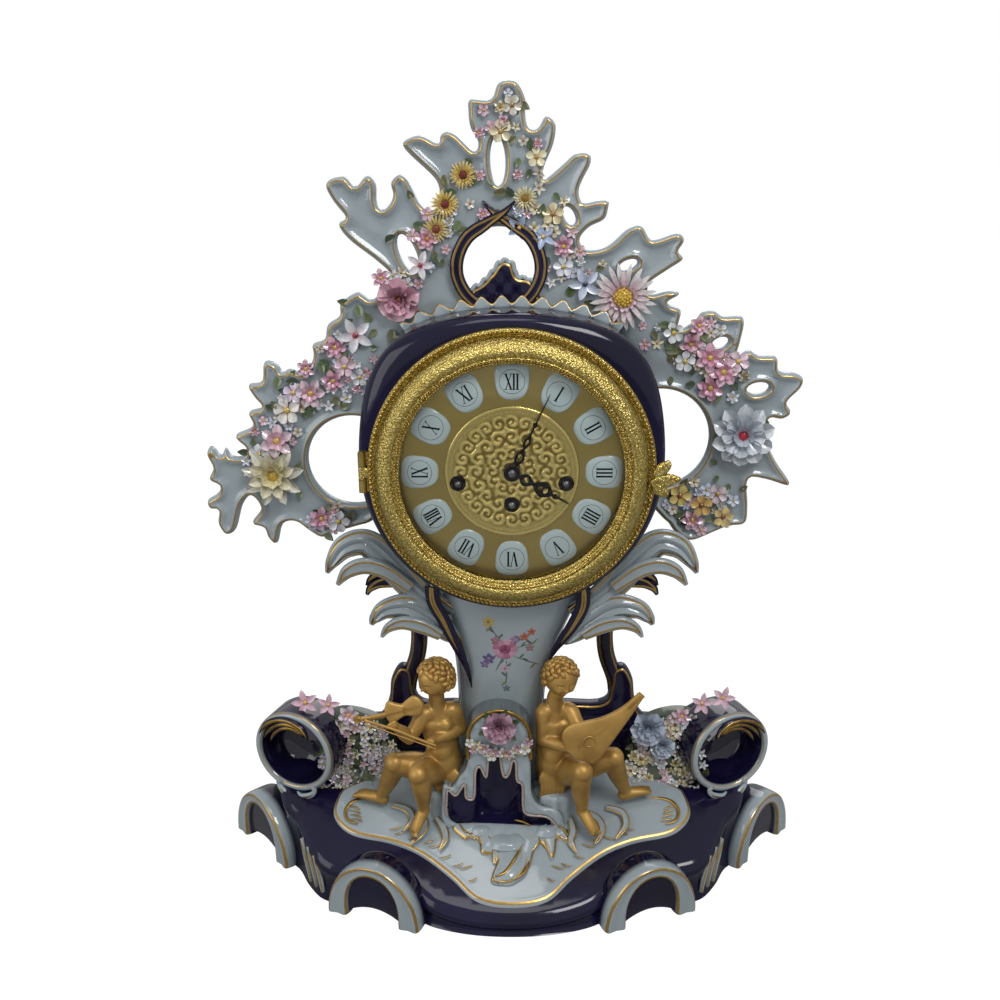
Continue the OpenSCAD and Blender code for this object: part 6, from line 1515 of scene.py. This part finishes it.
def makeBody(who):
    # rounded limbs and swellings between the joints, melted into one skin and softened
    spot = {name: aboutSeat(who, shares) for name, shares in figures[who]["joints"].items()}
    side = figures[who]["side"]
    form = Piece(who + "_body")
    pelvis, waist, chest, neck, head = (spot[n] for n in ("pelvis", "waist", "chest", "neck", "head"))
    limb(form, [pelvis - [0, 0, 5], pelvis, (pelvis + waist) / 2 - [0, 1.5, 0], waist, chest, chest + [0, 0, 6],
                neck - [0, 0, 3], neck + [0, 0, 4], head - [0, 0, 8]], cherub["torso"], 0.86)
    oval(form, waist + [0, -5.5, -4], (9.5, 7.5, 10))
    for x in (-1, 1):
        oval(form, chest + [5.0 * x, -6.5, 2.5], (5.6, 4.6, 5))
        oval(form, pelvis + [7.0 * x, 4, -5], (8.5, 9, 8.5))
    for which, hipX in (("A", 6.5 * side), ("B", 5.0 * side)):
        shoulder, elbow, hand, knee, ankle, toe = (
            spot[n + which] for n in ("shoulder", "elbow", "hand", "knee", "ankle", "toe"))
        limb(form, [chest + [0, 0, 6], shoulder, (shoulder + elbow) / 2, elbow], cherub["upperArm"])
        limb(form, [elbow + share * (hand - elbow) for share in (0, 0.4, 0.84, 1)], cherub["forearm"])
        reach = unit(hand - elbow)
        across = unit(np.cross(reach, [0, -1, 0.2]))
        for k in range(4):
            start = hand + (k - 1.5) * 1.7 * across
            limb(form, [start, start + 2.6 * reach - [0, 1.2, 0], start + 3.6 * reach + [0, 0, -1.6]], cherub["finger"])
        limb(form, [hand - 1.5 * across, hand - 4.2 * across + 1.5 * reach], cherub["thumb"])
        hip = pelvis + [hipX, -3, -2]
        limb(form, [hip, hip + 0.5 * (knee - hip) + [0, 0, 0.5], knee], cherub["thigh"])
        oval(form, knee + [0, -1, 0.5], (7.6, 7.6, 7.6))
        calf = knee + 0.42 * (ankle - knee) + 1.2 * unit((knee - toe) * [1, 0.4, 0])
        limb(form, [knee, calf, ankle], cherub["lowerLeg"])
        forward = unit(toe - ankle)
        wide = unit(np.cross(forward, [0, 0, 1.0]))
        heel = ankle - [0, 0, 3.5] - 1.5 * forward
        form.swept(smoothLine([heel, ankle - [0, 0, 2] + 4 * forward, toe - 5 * forward, toe], 6),
                   smoothValues(cherub["footWide"], 6), smoothValues(cherub["footHigh"], 6), ring(16),
                   facing=unit(np.cross(wide, forward)))
        form.balls([heel], 4.5, rows=8, columns=12)
        form.balls([toe + (k - 2) * 1.9 * wide + (2.2 - 0.5 * abs(k - 0.6)) * forward for k in range(5)],
                   cherub["toes"], columns=10)
    # a loose cloth over the lap that hangs beside the seat in folds
    for k in range(6):
        top = pelvis - [side * 11, 10, 0] + [side * 3.2 * k, -2.4 + 0.5 * k, -1]
        limb(form, [top + [side * 5, 3, 5], top, top + [side * 0.6, -0.6, -9],
                    top + [-side * 1.2, -1.2, -17 - 2 * math.sin(1.7 * k)]], cherub["fold"])
    made = form.make(cherubGold, instead="cherub_" + who, crease=180)
    melt = made.modifiers.new("melt", "REMESH")
    melt.mode, melt.voxel_size, melt.use_smooth_shade = "VOXEL", cherub["voxel"] * mm, True
    soft = made.modifiers.new("soften", "SMOOTH")
    soft.factor, soft.iterations = 0.5, cherub["softer"]


# soft swellings of a round child's head: (across, up, spread across, spread up, height)
faceForm = {"size": (12.4, 13.4, 14.2), "curls": 130, "curl": (3.5, 2.1, 2.3), "curlReach": (12.7, 13.4, 14.4),
            "swellings": [(0, 0.45, 0.4, 0.3, 0.7), (0.34, 0.06, 0.15, 0.1, -1.1), (0.34, 0.02, 0.09, 0.055, 0.75),
                          (0.34, 0.2, 0.16, 0.045, 0.35), (0, 0.02, 0.065, 0.13, 0.8), (0, -0.16, 0.085, 0.075, 2.3),
                          (0.1, -0.2, 0.06, 0.04, 0.7), (0.45, -0.3, 0.2, 0.17, 1.2), (0, -0.385, 0.14, 0.035, 0.8),
                          (0, -0.44, 0.16, 0.016, -0.6), (0, -0.49, 0.11, 0.035, 0.8), (0, -0.72, 0.17, 0.11, 1.3)]}


def makeHead(who):
    # ball whose radius grows by the sum of the face's swellings, turned to its face direction, with curls
    forward = unit(np.array(figures[who]["face"]))
    rightward = unit(np.cross(forward, [0, 0, 1.0]))
    axes = np.stack([rightward, forward, np.cross(rightward, forward)])
    middle = aboutSeat(who, figures[who]["joints"]["head"]) + [0, 0, 0.5]
    spots = ballGrid(86, 110)
    across, ahead, up = spots[..., 0], spots[..., 1], spots[..., 2]
    rise = 0
    for x, z, wide, high, height in faceForm["swellings"]:
        for way in ((1, -1) if x else (1,)):
            rise = rise + height * np.exp(-((across - way * x) / wide) ** 2 - ((up - z) / high) ** 2)
    radius = 1 + rise * ease(0.1, 0.5, ahead) / 13.0
    narrow = 1 - 0.2 * ease(0.0, 1.0, -up)
    head = Piece(who + "_head")
    skull = spots * radius[..., None] * faceForm["size"] * np.stack([narrow, narrow, 1 + 0 * up], 2)
    head.grid(middle + skull @ axes)
    for way in (-1, 1):
        a = np.linspace(-2.3, 2.2, 14)
        ear = np.stack([way * (11.9 + 0.5 * np.cos(a)), -0.5 - 2.0 * np.cos(a), -1.5 + 2.9 * np.sin(a)], 1)
        head.swept(middle + ear @ axes, 0.9, 0.9, ring(10), facing=forward)
    # curls: soft overlapping locks strewn evenly over the top, the sides and the back, each turned its own way
    k = np.arange(faceForm["curls"]) + 0.5
    high = 1 - 2 * k / faceForm["curls"]
    turn = 2.39996 * k
    place = np.stack([np.sqrt(1 - high ** 2) * np.cos(turn), np.sqrt(1 - high ** 2) * np.sin(turn), high], 1)
    hair = place[place[:, 2] > -0.55 + 1.2 * np.clip(place[:, 1] + 0.3, 0, 1)]
    for n, out in enumerate(hair):
        spin = math.sin(2.3 * n) * 1.2
        side = unit(np.cross(out, [0.1, 0.2, 1.0]))
        over = np.cross(out, side)
        own = np.stack([math.cos(spin) * side + math.sin(spin) * over, math.cos(spin) * over - math.sin(spin) * side,
                        out])
        oval(head, middle + (out * faceForm["curlReach"]) @ axes, faceForm["curl"], own @ axes, 8, 10)
    head.make(cherubGold, crease=60)


for person in figures:
    makeBody(person)
    makeHead(person)

# instruments: places as shares of the sitting height, like the joints
music = {"violin": [[-0.15, -0.17, 0.72], [-0.19, -0.185, 0.715], [-0.24, -0.19, 0.7], [-0.28, -0.2, 0.69],
                    [-0.32, -0.21, 0.685], [-0.37, -0.22, 0.68], [-0.4, -0.225, 0.675]],
         "violinWide": [1.5, 7.4, 6.4, 4.6, 6.2, 8.4, 3.0],
         "violinNeck": [[-0.39, -0.235, 0.676], [-0.48, -0.25, 0.66], [-0.56, -0.26, 0.655]],
         "bow": [[-0.07, -0.25, 0.45], [-0.2, -0.265, 0.515], [-0.34, -0.275, 0.585], [-0.53, -0.285, 0.66]],
         "lute": [[0.08, -0.26, 0.41], [0.115, -0.265, 0.45], [0.165, -0.27, 0.49], [0.22, -0.27, 0.53],
                  [0.32, -0.265, 0.605], [0.43, -0.245, 0.7], [0.54, -0.215, 0.82]],
         "luteWide": [6.5, 15.5, 17.0, 14.5, 9.2, 5.0, 2.4]}


def makeViolin():
    # squared-off section whose width follows the waisted body, then neck, scroll, strings and bow
    wood = Piece("violin")
    path = smoothLine(aboutSeat("violinist", music["violin"]), 8)
    wide = smoothValues(music["violinWide"], 8)
    wood.swept(path, wide, 2.5 * np.minimum(1, wide / 4), power(ring(28), [0.7, 0.6]), facing=(0, -1, 0.25))
    neck = smoothLine(aboutSeat("violinist", music["violinNeck"]), 6)
    wood.swept(neck, 1.8, 1.5, ring(12))
    # scroll at the end of the neck
    a = np.linspace(0, 10, 34)
    reel = neck[-1] + np.stack([-(3.1 - 0.26 * a) * np.sin(a) - 1.5, 0 * a - 0.5, (3.1 - 0.26 * a) * np.cos(a)], 1)
    wood.swept(reel, 1.0, 1.6, ring(10))
    for k in (-1, 0, 1):
        wood.swept(path[[4, -1]] + [[0, -3.4, 1.2 * k], [0, -3.4, 0.7 * k]], 0.22, 0.22, ring(6))
        wood.swept(neck[[0, -1]] + [[0, -2.4, 0.7 * k], [0, -2.4, 0.5 * k]], 0.22, 0.22, ring(6))
    wood.swept(path[22] + [[0, -3.2, -3.2], [0, -3.4, 3.2]], 0.5, 1.1, ring(8))
    bow = smoothLine(aboutSeat("violinist", music["bow"]), 8)
    wood.swept(bow, 1.15, 1.15, ring(10))
    wood.swept(bow[[0, -1]] + [0, -0.5, -2.2], 0.45, 0.7, ring(8))
    wood.make(cherubGold, instead="violin_and_bow", crease=50)


def makeLute():
    # squared-off section that narrows to the neck, with strings, a ring round the sound hole and pegs
    wood = Piece("lute_body")
    path = smoothLine(aboutSeat("lutenist", music["lute"]), 8)
    wide = smoothValues(music["luteWide"], 8)
    wood.swept(path, wide, 2.7 * np.minimum(1, wide / 5), power(ring(32), [0.6, 0.55]), facing=(0, -1, 0.2))
    for k in (-2, -1, 0, 1, 2):
        strings = path[[10, 30, -2]] + [[0.9 * k, -3.0, -0.9 * k], [0.6 * k, -2.8, -0.6 * k], [0.2 * k, -2.6, -0.2 * k]]
        wood.swept(strings, 0.2, 0.2, ring(6))
    wood.swept(path[21] + standing(4.2 * ring(32), -3.1, 0.0), 0.6, 0.5, ring(8), closed=True)
    along = unit(path[-1] - path[-6])
    for k in range(4):
        peg = path[-1] - (1.5 + 2.6 * k) * along
        wood.swept([peg + [-2.6, 0, 1.6], peg + [2.6, 0, -1.6]], 0.7, 0.7, ring(8))
    wood.make(cherubGold, instead="lute", crease=50)


makeViolin()
makeLute()
print("figures made")

# niche: outlines across and up, in millimetres; seats as (radius, height below the top or above the floor)
niche = {"middle": -9.43, "front": 56.0, "cave": 44.5, "back": 31.0, "roundTop": 124.7, "round": 23.0,
         "roll": 2.4, "wave": 0.7, "caveLumps": 1.5, "caveSides": 9.0, "caveThick": 4.0,
         "left": [[-40, 44], [-52.5, 52], [-53, 68], [-51.5, 84], [-45, 82], [-40, 90], [-34.5, 98], [-32.4, 110]],
         "right": [[13.6, 110], [14.2, 92], [15, 76], [21, 66], [34, 62.5], [39, 52], [34, 43.5]],
         "seatTop": [(0, 0), (12, 0), (16.5, -0.4), (18.2, -2), (18.6, -5), (17.6, -14)],
         "seatFoot": [(18.2, 50), (18.2, 44), (0, 44)],
         "opening": [[-49.3, 60], [-49.3, 68.3], [-48, 80.6], [-42.1, 75.9], [-35.4, 85.8], [-34.5, 74.2],
                     [-28.5, 74.2], [-27.2, 96.1], [-23.7, 100.7], [-19.3, 91.5], [-17.7, 105.3], [-15.6, 111.5],
                     [-9.7, 112.1], [-7.2, 96.1], [-4.8, 91.5], [-1.8, 96.1], [0.2, 105.3], [2.8, 104.1], [3.7, 89.2],
                     [7.8, 84.7], [8.3, 67.2], [11.4, 59.5], [26.5, 57.2], [33, 49], [26, 46.2], [-9, 46.2],
                     [-42, 50]],
         "ground": [[-40, -46], [-39, -54], [-28, -57.5], [-12, -59], [4, -58.5], [14, -57], [26, -56], [31, -49],
                    [24, -42], [-34, -42]],
         "tones": [("#c4c6c0", "#a8aa98", "#a58f44"), ("#c0a7b0", "#9c7183", "#a58f44"),
                   ("#c3b98c", "#a88f4c", "#7f5f2c")]}
nicheArch = [niche["middle"], niche["roundTop"]] + np.array([polar(niche["round"], a) for a in np.linspace(175, 5, 18)])
nicheHole = smoothLine(np.array(niche["opening"]) - [0, dialHeight], 5, True)


def makeNicheWall():
    # wavy plate with its opening, the edges between its skins, and two fluted seats
    outline = np.concatenate([niche["left"], nicheArch, niche["right"]]) - [0, dialHeight]
    spots, triangles, near, loop = plate(smoothLine(outline, 4, True), [nicheHole], 1.3, [0.3, 0.9, 1.7, 2.8], 3.0)
    wave = niche["wave"] * np.sin(0.8 * spots[:, 0] + 0.3 * spots[:, 1]) * ease(0.5, 3, near)
    wall = Piece("niche_wall")
    wall.skins(standing(spots, -niche["front"] + 1.8 - rolled(near, niche["roll"], 2.6) - wave),
               standing(spots, -niche["back"]), triangles, near)
    # edges between the skins, the one of the opening in cobalt
    for line, cobalt in ((loop, 0.0), (evenLoop(nicheHole, 1.3), 1.0)):
        rows = [standing(line, -y) for y in (niche["front"] - 1.8, niche["cave"], niche["back"])]
        wall.grid(np.stack(rows + rows[:1]), share=np.array([0, cobalt, cobalt, 0])[:, None])
    fluted = ring(72) * (1 + 0.05 * np.cos(11 * np.arange(72) * 2 * pi / 72))[:, None]
    for who in figures.values():
        x, y, top = who["seat"]
        rows = [(radius, top + low) for radius, low in niche["seatTop"]] + niche["seatFoot"]
        wall.grid(np.stack([lying([x, y] + radius * fluted, z) for radius, z in rows]))
    wall.make(nicheGlaze, instead="niche", crease=60)


def caveDepth(flat):
    # lumpy wall behind the opening, deeper at the sides so that it passes in front of the seats
    lumps = niche["caveLumps"] * np.sin(0.23 * flat[:, 0] + 0.6) * np.sin(0.19 * flat[:, 1])
    return -niche["cave"] - niche["caveSides"] * ease(14, 20, abs(flat[:, 0] - niche["middle"])) - lumps


def makeCave():
    # lumpy back wall and a low mound of ground, both in cobalt
    cave = Piece("niche_cave")
    centre = np.array([niche["middle"], 80])
    backing = smoothLine((niche["opening"] - centre) * 1.04 + centre - [0, dialHeight], 4, True)
    spots, triangles, near, loop = plate(backing, [], 2.0, [0.8, 2.0], 3.0)
    cave.skins(standing(spots, caveDepth(spots)), standing(spots, caveDepth(spots) + niche["caveThick"]),
               triangles)
    cave.grid(np.stack([standing(loop, caveDepth(loop) + k) for k in (0, niche["caveThick"])]))
    spots, triangles, near, _ = plate(smoothLine(niche["ground"], 5, True), [], 2.0, [0.6, 1.6, 3.0], 4.0)
    under = panelTop(spots[:, 1])
    cave.skins(lying(spots, under + rolled(near, 3, 1.5)), lying(spots, under - 0.8 * ease(-0.5, 0.5, near) + 0.4),
               triangles)
    cave.make(plainCobalt)


def makeNicheTrim():
    # gold line over the arch, pale drips round the opening, and the roses along the top
    rim = Piece("niche_gilding")
    top = standing(np.concatenate([[[-32.6, 108]], nicheArch, [[13.9, 108]]]), -57.2, 0.0)
    rim.swept(smoothLine(top, 5), 1.5, 1.3, ring(12))
    rim.make(lineGold)
    drips = Piece("niche_drip_lines")
    line = evenLoop(nicheHole, 1.6)
    line = line[(line[:, 1] + dialHeight > 58) | (line[:, 0] > 9)]
    start = np.argmax(np.linalg.norm(np.roll(line, 1, 0) - line, axis=1))
    drips.swept(standing(np.roll(line, -start, 0), -niche["front"] - 0.6), 0.9, 0.8, ring(8), tint=tone("#a39387"))
    drips.make(petalEnamel)
    roses = Piece("niche_roses")
    addBloom(roses, "rose", np.array([-9.4, -57.5, 135]), 13.5, "#b393a0", "#8d5a70", "#8a4a60", lean=0.25, turn=pi / 2)
    for k in range(17):
        x = -31 + 43 * k / 16
        z = 121 - 7 * math.sin(pi * k / 16) + luck.uniform(-3, 3)
        if k % 3 == 2:
            addLeafBlade(roses, np.array([x, -58, z]), luck.uniform(6, 9), luck.uniform(0, 360), greens[k % 5])
        addBloom(roses, ("five", "double", "star")[k % 3], np.array([x, -59, z]), luck.uniform(3.4, 5.2),
                 *niche["tones"][k % 3])
    for angle in (200, 250, 320, 20, 70, 130):
        x, z = polar(9, angle) + [-9.4, 135]
        addLeafBlade(roses, np.array([x, -57.5, z]), 8.0, angle, greens[angle % 5])
    roses.make(petalEnamel, crease=40)


makeNicheWall()
makeCave()
makeNicheTrim()

# rocaille at the foot of the niche, lying on the slope of the panel: places across and in depth, then widths;
# mounds are (across, depth, half sizes, how far raised)
shell = {"outline": [[-41.8, -53.5], [-35.3, -66.3], [-28.9, -64.6], [-24.7, -69.3], [-22.7, -76.4], [-13.6, -78.4],
                     [-12.5, -86], [-15.4, -95.6], [-6.5, -97.9], [2.2, -96.5], [13, -86], [16.1, -76.4],
                     [20.2, -68.5], [24.6, -73], [29.5, -80.5], [32.8, -73], [34.5, -65.6], [42.4, -68.5],
                     [41.5, -61.5], [34.8, -56.5]],
         "mounds": [(-4, -67, (16, 11, 5.2), 0.5), (-24, -60, (8, 5.5, 4.5), 1), (26, -61, (9, 6.5, 5.5), 1)],
         "ribs": [([[-34, -56], [-32, -62], [-27, -66]], [3.5, 3.0, 0.8]),
                  ([[-24, -58], [-22, -66], [-18, -74]], [4.0, 3.2, 0.8]),
                  ([[-12, -66], [-12, -76], [-13, -84]], [4.0, 3.4, 1.0]),
                  ([[-4, -72], [-8, -84], [-11, -94], [-4, -96.5]], [3.0, 3.2, 3.4, 1.0]),
                  ([[6, -70], [9, -80], [3, -92], [-4, -96]], [3.2, 3.4, 3.2, 1.0]),
                  ([[16, -62], [18, -68], [13, -76]], [3.6, 3.2, 0.8]),
                  ([[24, -58], [27, -68], [29, -78]], [4.0, 3.2, 0.8]),
                  ([[32, -56], [36, -62], [40, -66]], [3.6, 3.0, 0.8]),
                  ([[-92, -40], [-80, -44], [-76, -52], [-82, -60]], [2.4, 3.2, 3.0, 0.8]),
                  ([[-72, -46], [-66, -54], [-68, -62], [-76, -70]], [2.6, 3.4, 3.0, 0.8]),
                  ([[-58, -50], [-52, -58], [-50, -66], [-54, -74]], [2.6, 3.4, 3.0, 0.8]),
                  ([[44, -50], [46, -60], [44, -68], [48, -76]], [2.6, 3.4, 3.0, 0.8]),
                  ([[58, -46], [66, -52], [68, -60], [62, -70]], [2.6, 3.4, 3.0, 0.8]),
                  ([[72, -42], [84, -46], [86, -56], [78, -66]], [2.4, 3.2, 3.0, 0.8])],
         "lines": [([[8, -72], [1, -84], [-5, -92], [-12, -95]], 1.5), ([[13, -84], [9, -92], [2, -97]], 1.0),
                   ([[-18, -66], [-14, -70], [-10, -69]], 0.9), ([[2, -54], [8, -55], [14, -58]], 1.0),
                   ([[34, -58], [39, -61], [42, -66]], 0.8), ([[-40, -56], [-36, -62], [-30, -64]], 0.8)],
         "upright": (0, -0.42, 0.9), "swell": 1.4, "ridges": 13, "rise": 3.6}


def paintOnPanel(piece, places, steps, lift, width, thick, section, taper):
    # a gold stroke that swells and fades like half a sine wave
    path = onPanel(places, steps, lift)
    piece.swept(path, width * np.sin(np.linspace(0.25, pi - taper, len(path))), thick, section, facing=shell["upright"])


def makeShell():
    # relief that rises by a rolled edge and fans out in cosine ridges, with mounds, ribs and gold lines
    spots, triangles, near, _ = plate(smoothLine(shell["outline"], 5, True), [], 1.4, [0.3, 0.9, 1.8, 3.0], 2.6)
    ground = panelTop(spots[:, 1])
    fan = np.arctan2(spots[:, 0] + 2, -(spots[:, 1] + 40))
    lift = (rolled(near, 3.5, shell["rise"])
            + shell["swell"] * (0.5 + 0.5 * np.cos(shell["ridges"] * fan)) * ease(1, 5, near))
    relief = Piece("rocaille_relief")
    relief.skins(lying(spots, ground + lift - 0.3), lying(spots, ground - 0.6 * ease(-0.5, 0.5, near)), triangles, near)
    for x, y, radii, raised in shell["mounds"]:
        ball = ballGrid(22, 34)
        lump = (1 + 0.05 * np.sin(5 * ball[..., :1] + x) * np.cos(4 * ball[..., 1:2] + y)
                + 0.04 * np.sin(8 * ball[..., 2:] + x))
        relief.grid(np.array([x, y, panelTop(y) + raised]) + ball * radii * lump)
    for places, widths in shell["ribs"]:
        wide = smoothValues(widths, 7)
        relief.swept(onPanel(places, 7, 1.6), wide, np.minimum(wide, 2.6), grooved(22, 0.5, 0.5),
                     facing=shell["upright"])
    relief.make(shellGlaze, instead="rocaille_shell", crease=60)
    gold = Piece("rocaille_gilding")
    for places, width in shell["lines"]:
        paintOnPanel(gold, places, 7, 4.2, width, 0.7, ring(10), 0.25)
    gold.make(lineGold)


makeShell()


# brushwork: gold strokes round the panel and the bouquet on the column
def makeStrokes():
    # short dashes set out evenly along the panel's edge, and a long curl in each side lobe
    marks = Piece("panel_brushwork")
    plan = smoothLine(np.array(panelPlan) * halfBase, 6)
    run = np.concatenate([[0], np.cumsum(np.linalg.norm(np.diff(plan, axis=0), axis=1))])
    along = np.gradient(plan, axis=0)
    inward = unit(np.stack([-along[:, 1], along[:, 0]], 1))

    def stroke(places, width):
        paintOnPanel(marks, np.array(places) * [side, 1], 6, 0.05, width, 0.22, ring(8), 0.4)

    for side in (-1, 1):
        for k in range(9):
            # slanting dashes that run from the edge towards the middle
            at = 38 + 9.0 * k + 2.5 * math.sin(2.1 * k)
            start, turn = (np.array([np.interp(at, run, line[:, i]) for i in (0, 1)]) for line in (plan, inward))
            length = 6 + 4 * abs(math.sin(1.3 * k))
            begin = start + (5.0 + 1.5 * math.sin(1.7 * k)) * unit(turn)
            stroke([begin, begin + [-0.5 * length, 0.4], begin + [-length, 2.2]], 0.55)
        # the long curl in the side lobe with its small side strokes
        stroke([[106, -33], [116, -33], [124, -36], [128, -43], [125, -50], [117, -53]], 1.3)
        for k in range(4):
            stroke([[126 - k, -39 - 3.4 * k], [121 - k, -40 - 3.2 * k], [117 - k, -42 - 3 * k]], 0.6)
    marks.make(lineGold)


# small flowers: across, up, size, petals, heart
bouquet = {"stem": "#4c5d52", "leaves": ("#55675a", "#46584f", "#6c7550"),
           "sprigs": [[(-5, 191), (6, 200), (14, 206)], [(-5, 190), (-14, 184), (-20, 177)],
                      [(-4, 182), (-4, 168), (-5, 160)], [(0, 186), (12, 180), (20, 175)],
                      [(-7, 197), (-13, 206), (-17, 214)], [(-6, 186), (-12, 172)], [(0, 192), (14, 196), (19, 200)]],
           "flowers": [(-17, 214.5, 2.6, "#a99549", "#7c5a24"), (9, 202, 2.0, "#a0553c", "#7a2f28"),
                       (14, 206, 1.8, "#a35a44", "#7a2f28"), (-17, 183, 2.6, "#5b4c80", "#8f8250"),
                       (-20, 178, 2.0, "#6a5c8c", "#8f8250"), (-5, 174.5, 2.2, "#a999a2", "#8a4f66"),
                       (2, 200, 2.0, "#8f6d94", "#8f8250"), (-12, 199, 2.0, "#8a5f72", "#8f8250"),
                       (13, 192, 1.9, "#8d6a74", "#7a6a34"), (-4, 157, 1.7, "#5f6f7c", "#4c5d52")]}


def dab(piece, place, long, wide, angle, colour, lift=0.18):
    # one oval touch of the brush on the column, highest in its middle
    shares = np.array([0.0, 0.5, 0.85, 1.0])[:, None, None] * ring(14)
    flat = turned(shares * [long, wide], angle) + place
    across, up = flat[..., 0], flat[..., 1]
    skin = columnFront(across, up)
    front = np.stack([across, skin - (lift * (1 - (shares ** 2).sum(2)) + 0.04), up], 2)
    piece.grid(np.concatenate([front, np.stack([across, skin + 0.5, up], 2)[::-1]]), tint=tone(colour))


def dabRing(piece, middle, count, start, reach, long, wide, turn, tones, lift):
    # touches set evenly on an oval round the middle
    for k in range(count):
        angle = start + 360 / count * k
        dab(piece, middle + polar(1, angle) * reach, long, wide, angle + turn, tones[k % len(tones)], lift)


def makeBouquet():
    # stems with pairs of leaves, the rose in two rings of touches, then the small flowers
    paintwork = Piece("column_bouquet")
    for places in bouquet["sprigs"]:
        line = smoothLine(places, 4)
        swell = np.sin(np.linspace(0.12, pi - 0.12, len(line))) ** 0.7
        paintwork.swept(standing(line, columnFront(*line.T), 0.0), 0.5 * swell, 0.14, ring(8), tone(bouquet["stem"]))
        for k, place in enumerate(line[2:-1:2]):
            angle = (50, 140, 230, 320)[k % 4]
            dab(paintwork, place + polar(2.4, angle), 2.7, 1.0, angle, bouquet["leaves"][k % 3])
    rose = np.array([-5, 191.5])
    dabRing(paintwork, rose, 9, 0, [6.2, 5.6], 4.0, 3.2, 90, ("#a8798b", "#9a5f78", "#b48c9a"), 0.3)
    dabRing(paintwork, rose, 6, 20, [2.8, 2.6], 2.7, 2.0, 90, ("#8d4565", "#7b3555"), 0.45)
    dab(paintwork, rose, 1.8, 1.5, 0, "#612242", 0.6)
    for x, z, size, colour, heart in bouquet["flowers"]:
        dabRing(paintwork, np.array([x, z]), 5, 18, size, 0.85 * size, 0.6 * size, 0, (colour,), 0.3)
        dab(paintwork, [x, z], 0.5 * size, 0.5 * size, 0, heart, 0.4)
    paintwork.make(petalEnamel, crease=40)


makeStrokes()
makeBouquet()
print("niche, rocaille and brushwork made")

dressed = {
    "bezel": (smoothGold, ["bezel_frame", "glass_retainer", "bezel_hinge_pin"]),
    "dial": (dialGold, ["dial_plate"]),
    "glass": (clearGlass, ["bezel_glass"]),
    "black": (blackSteel, ["going_arbor", "strike_arbor", "chime_arbor"]),
    "bright": (brightSteel, ["centre_arbor", "chime_rods"]),
    "brass": (clockBrass, ["front_plate", "back_plate", "plate_pillars", "going_barrel", "strike_barrel",
                           "chime_barrel", "minute_wheel", "hour_wheel", "balance_wheel", "balance_cock",
                           "hammer_1", "hammer_2", "hammer_3", "hammer_4", "rear_ring", "rear_door"])}
for material, names in dressed.values():
    dress(names, material)
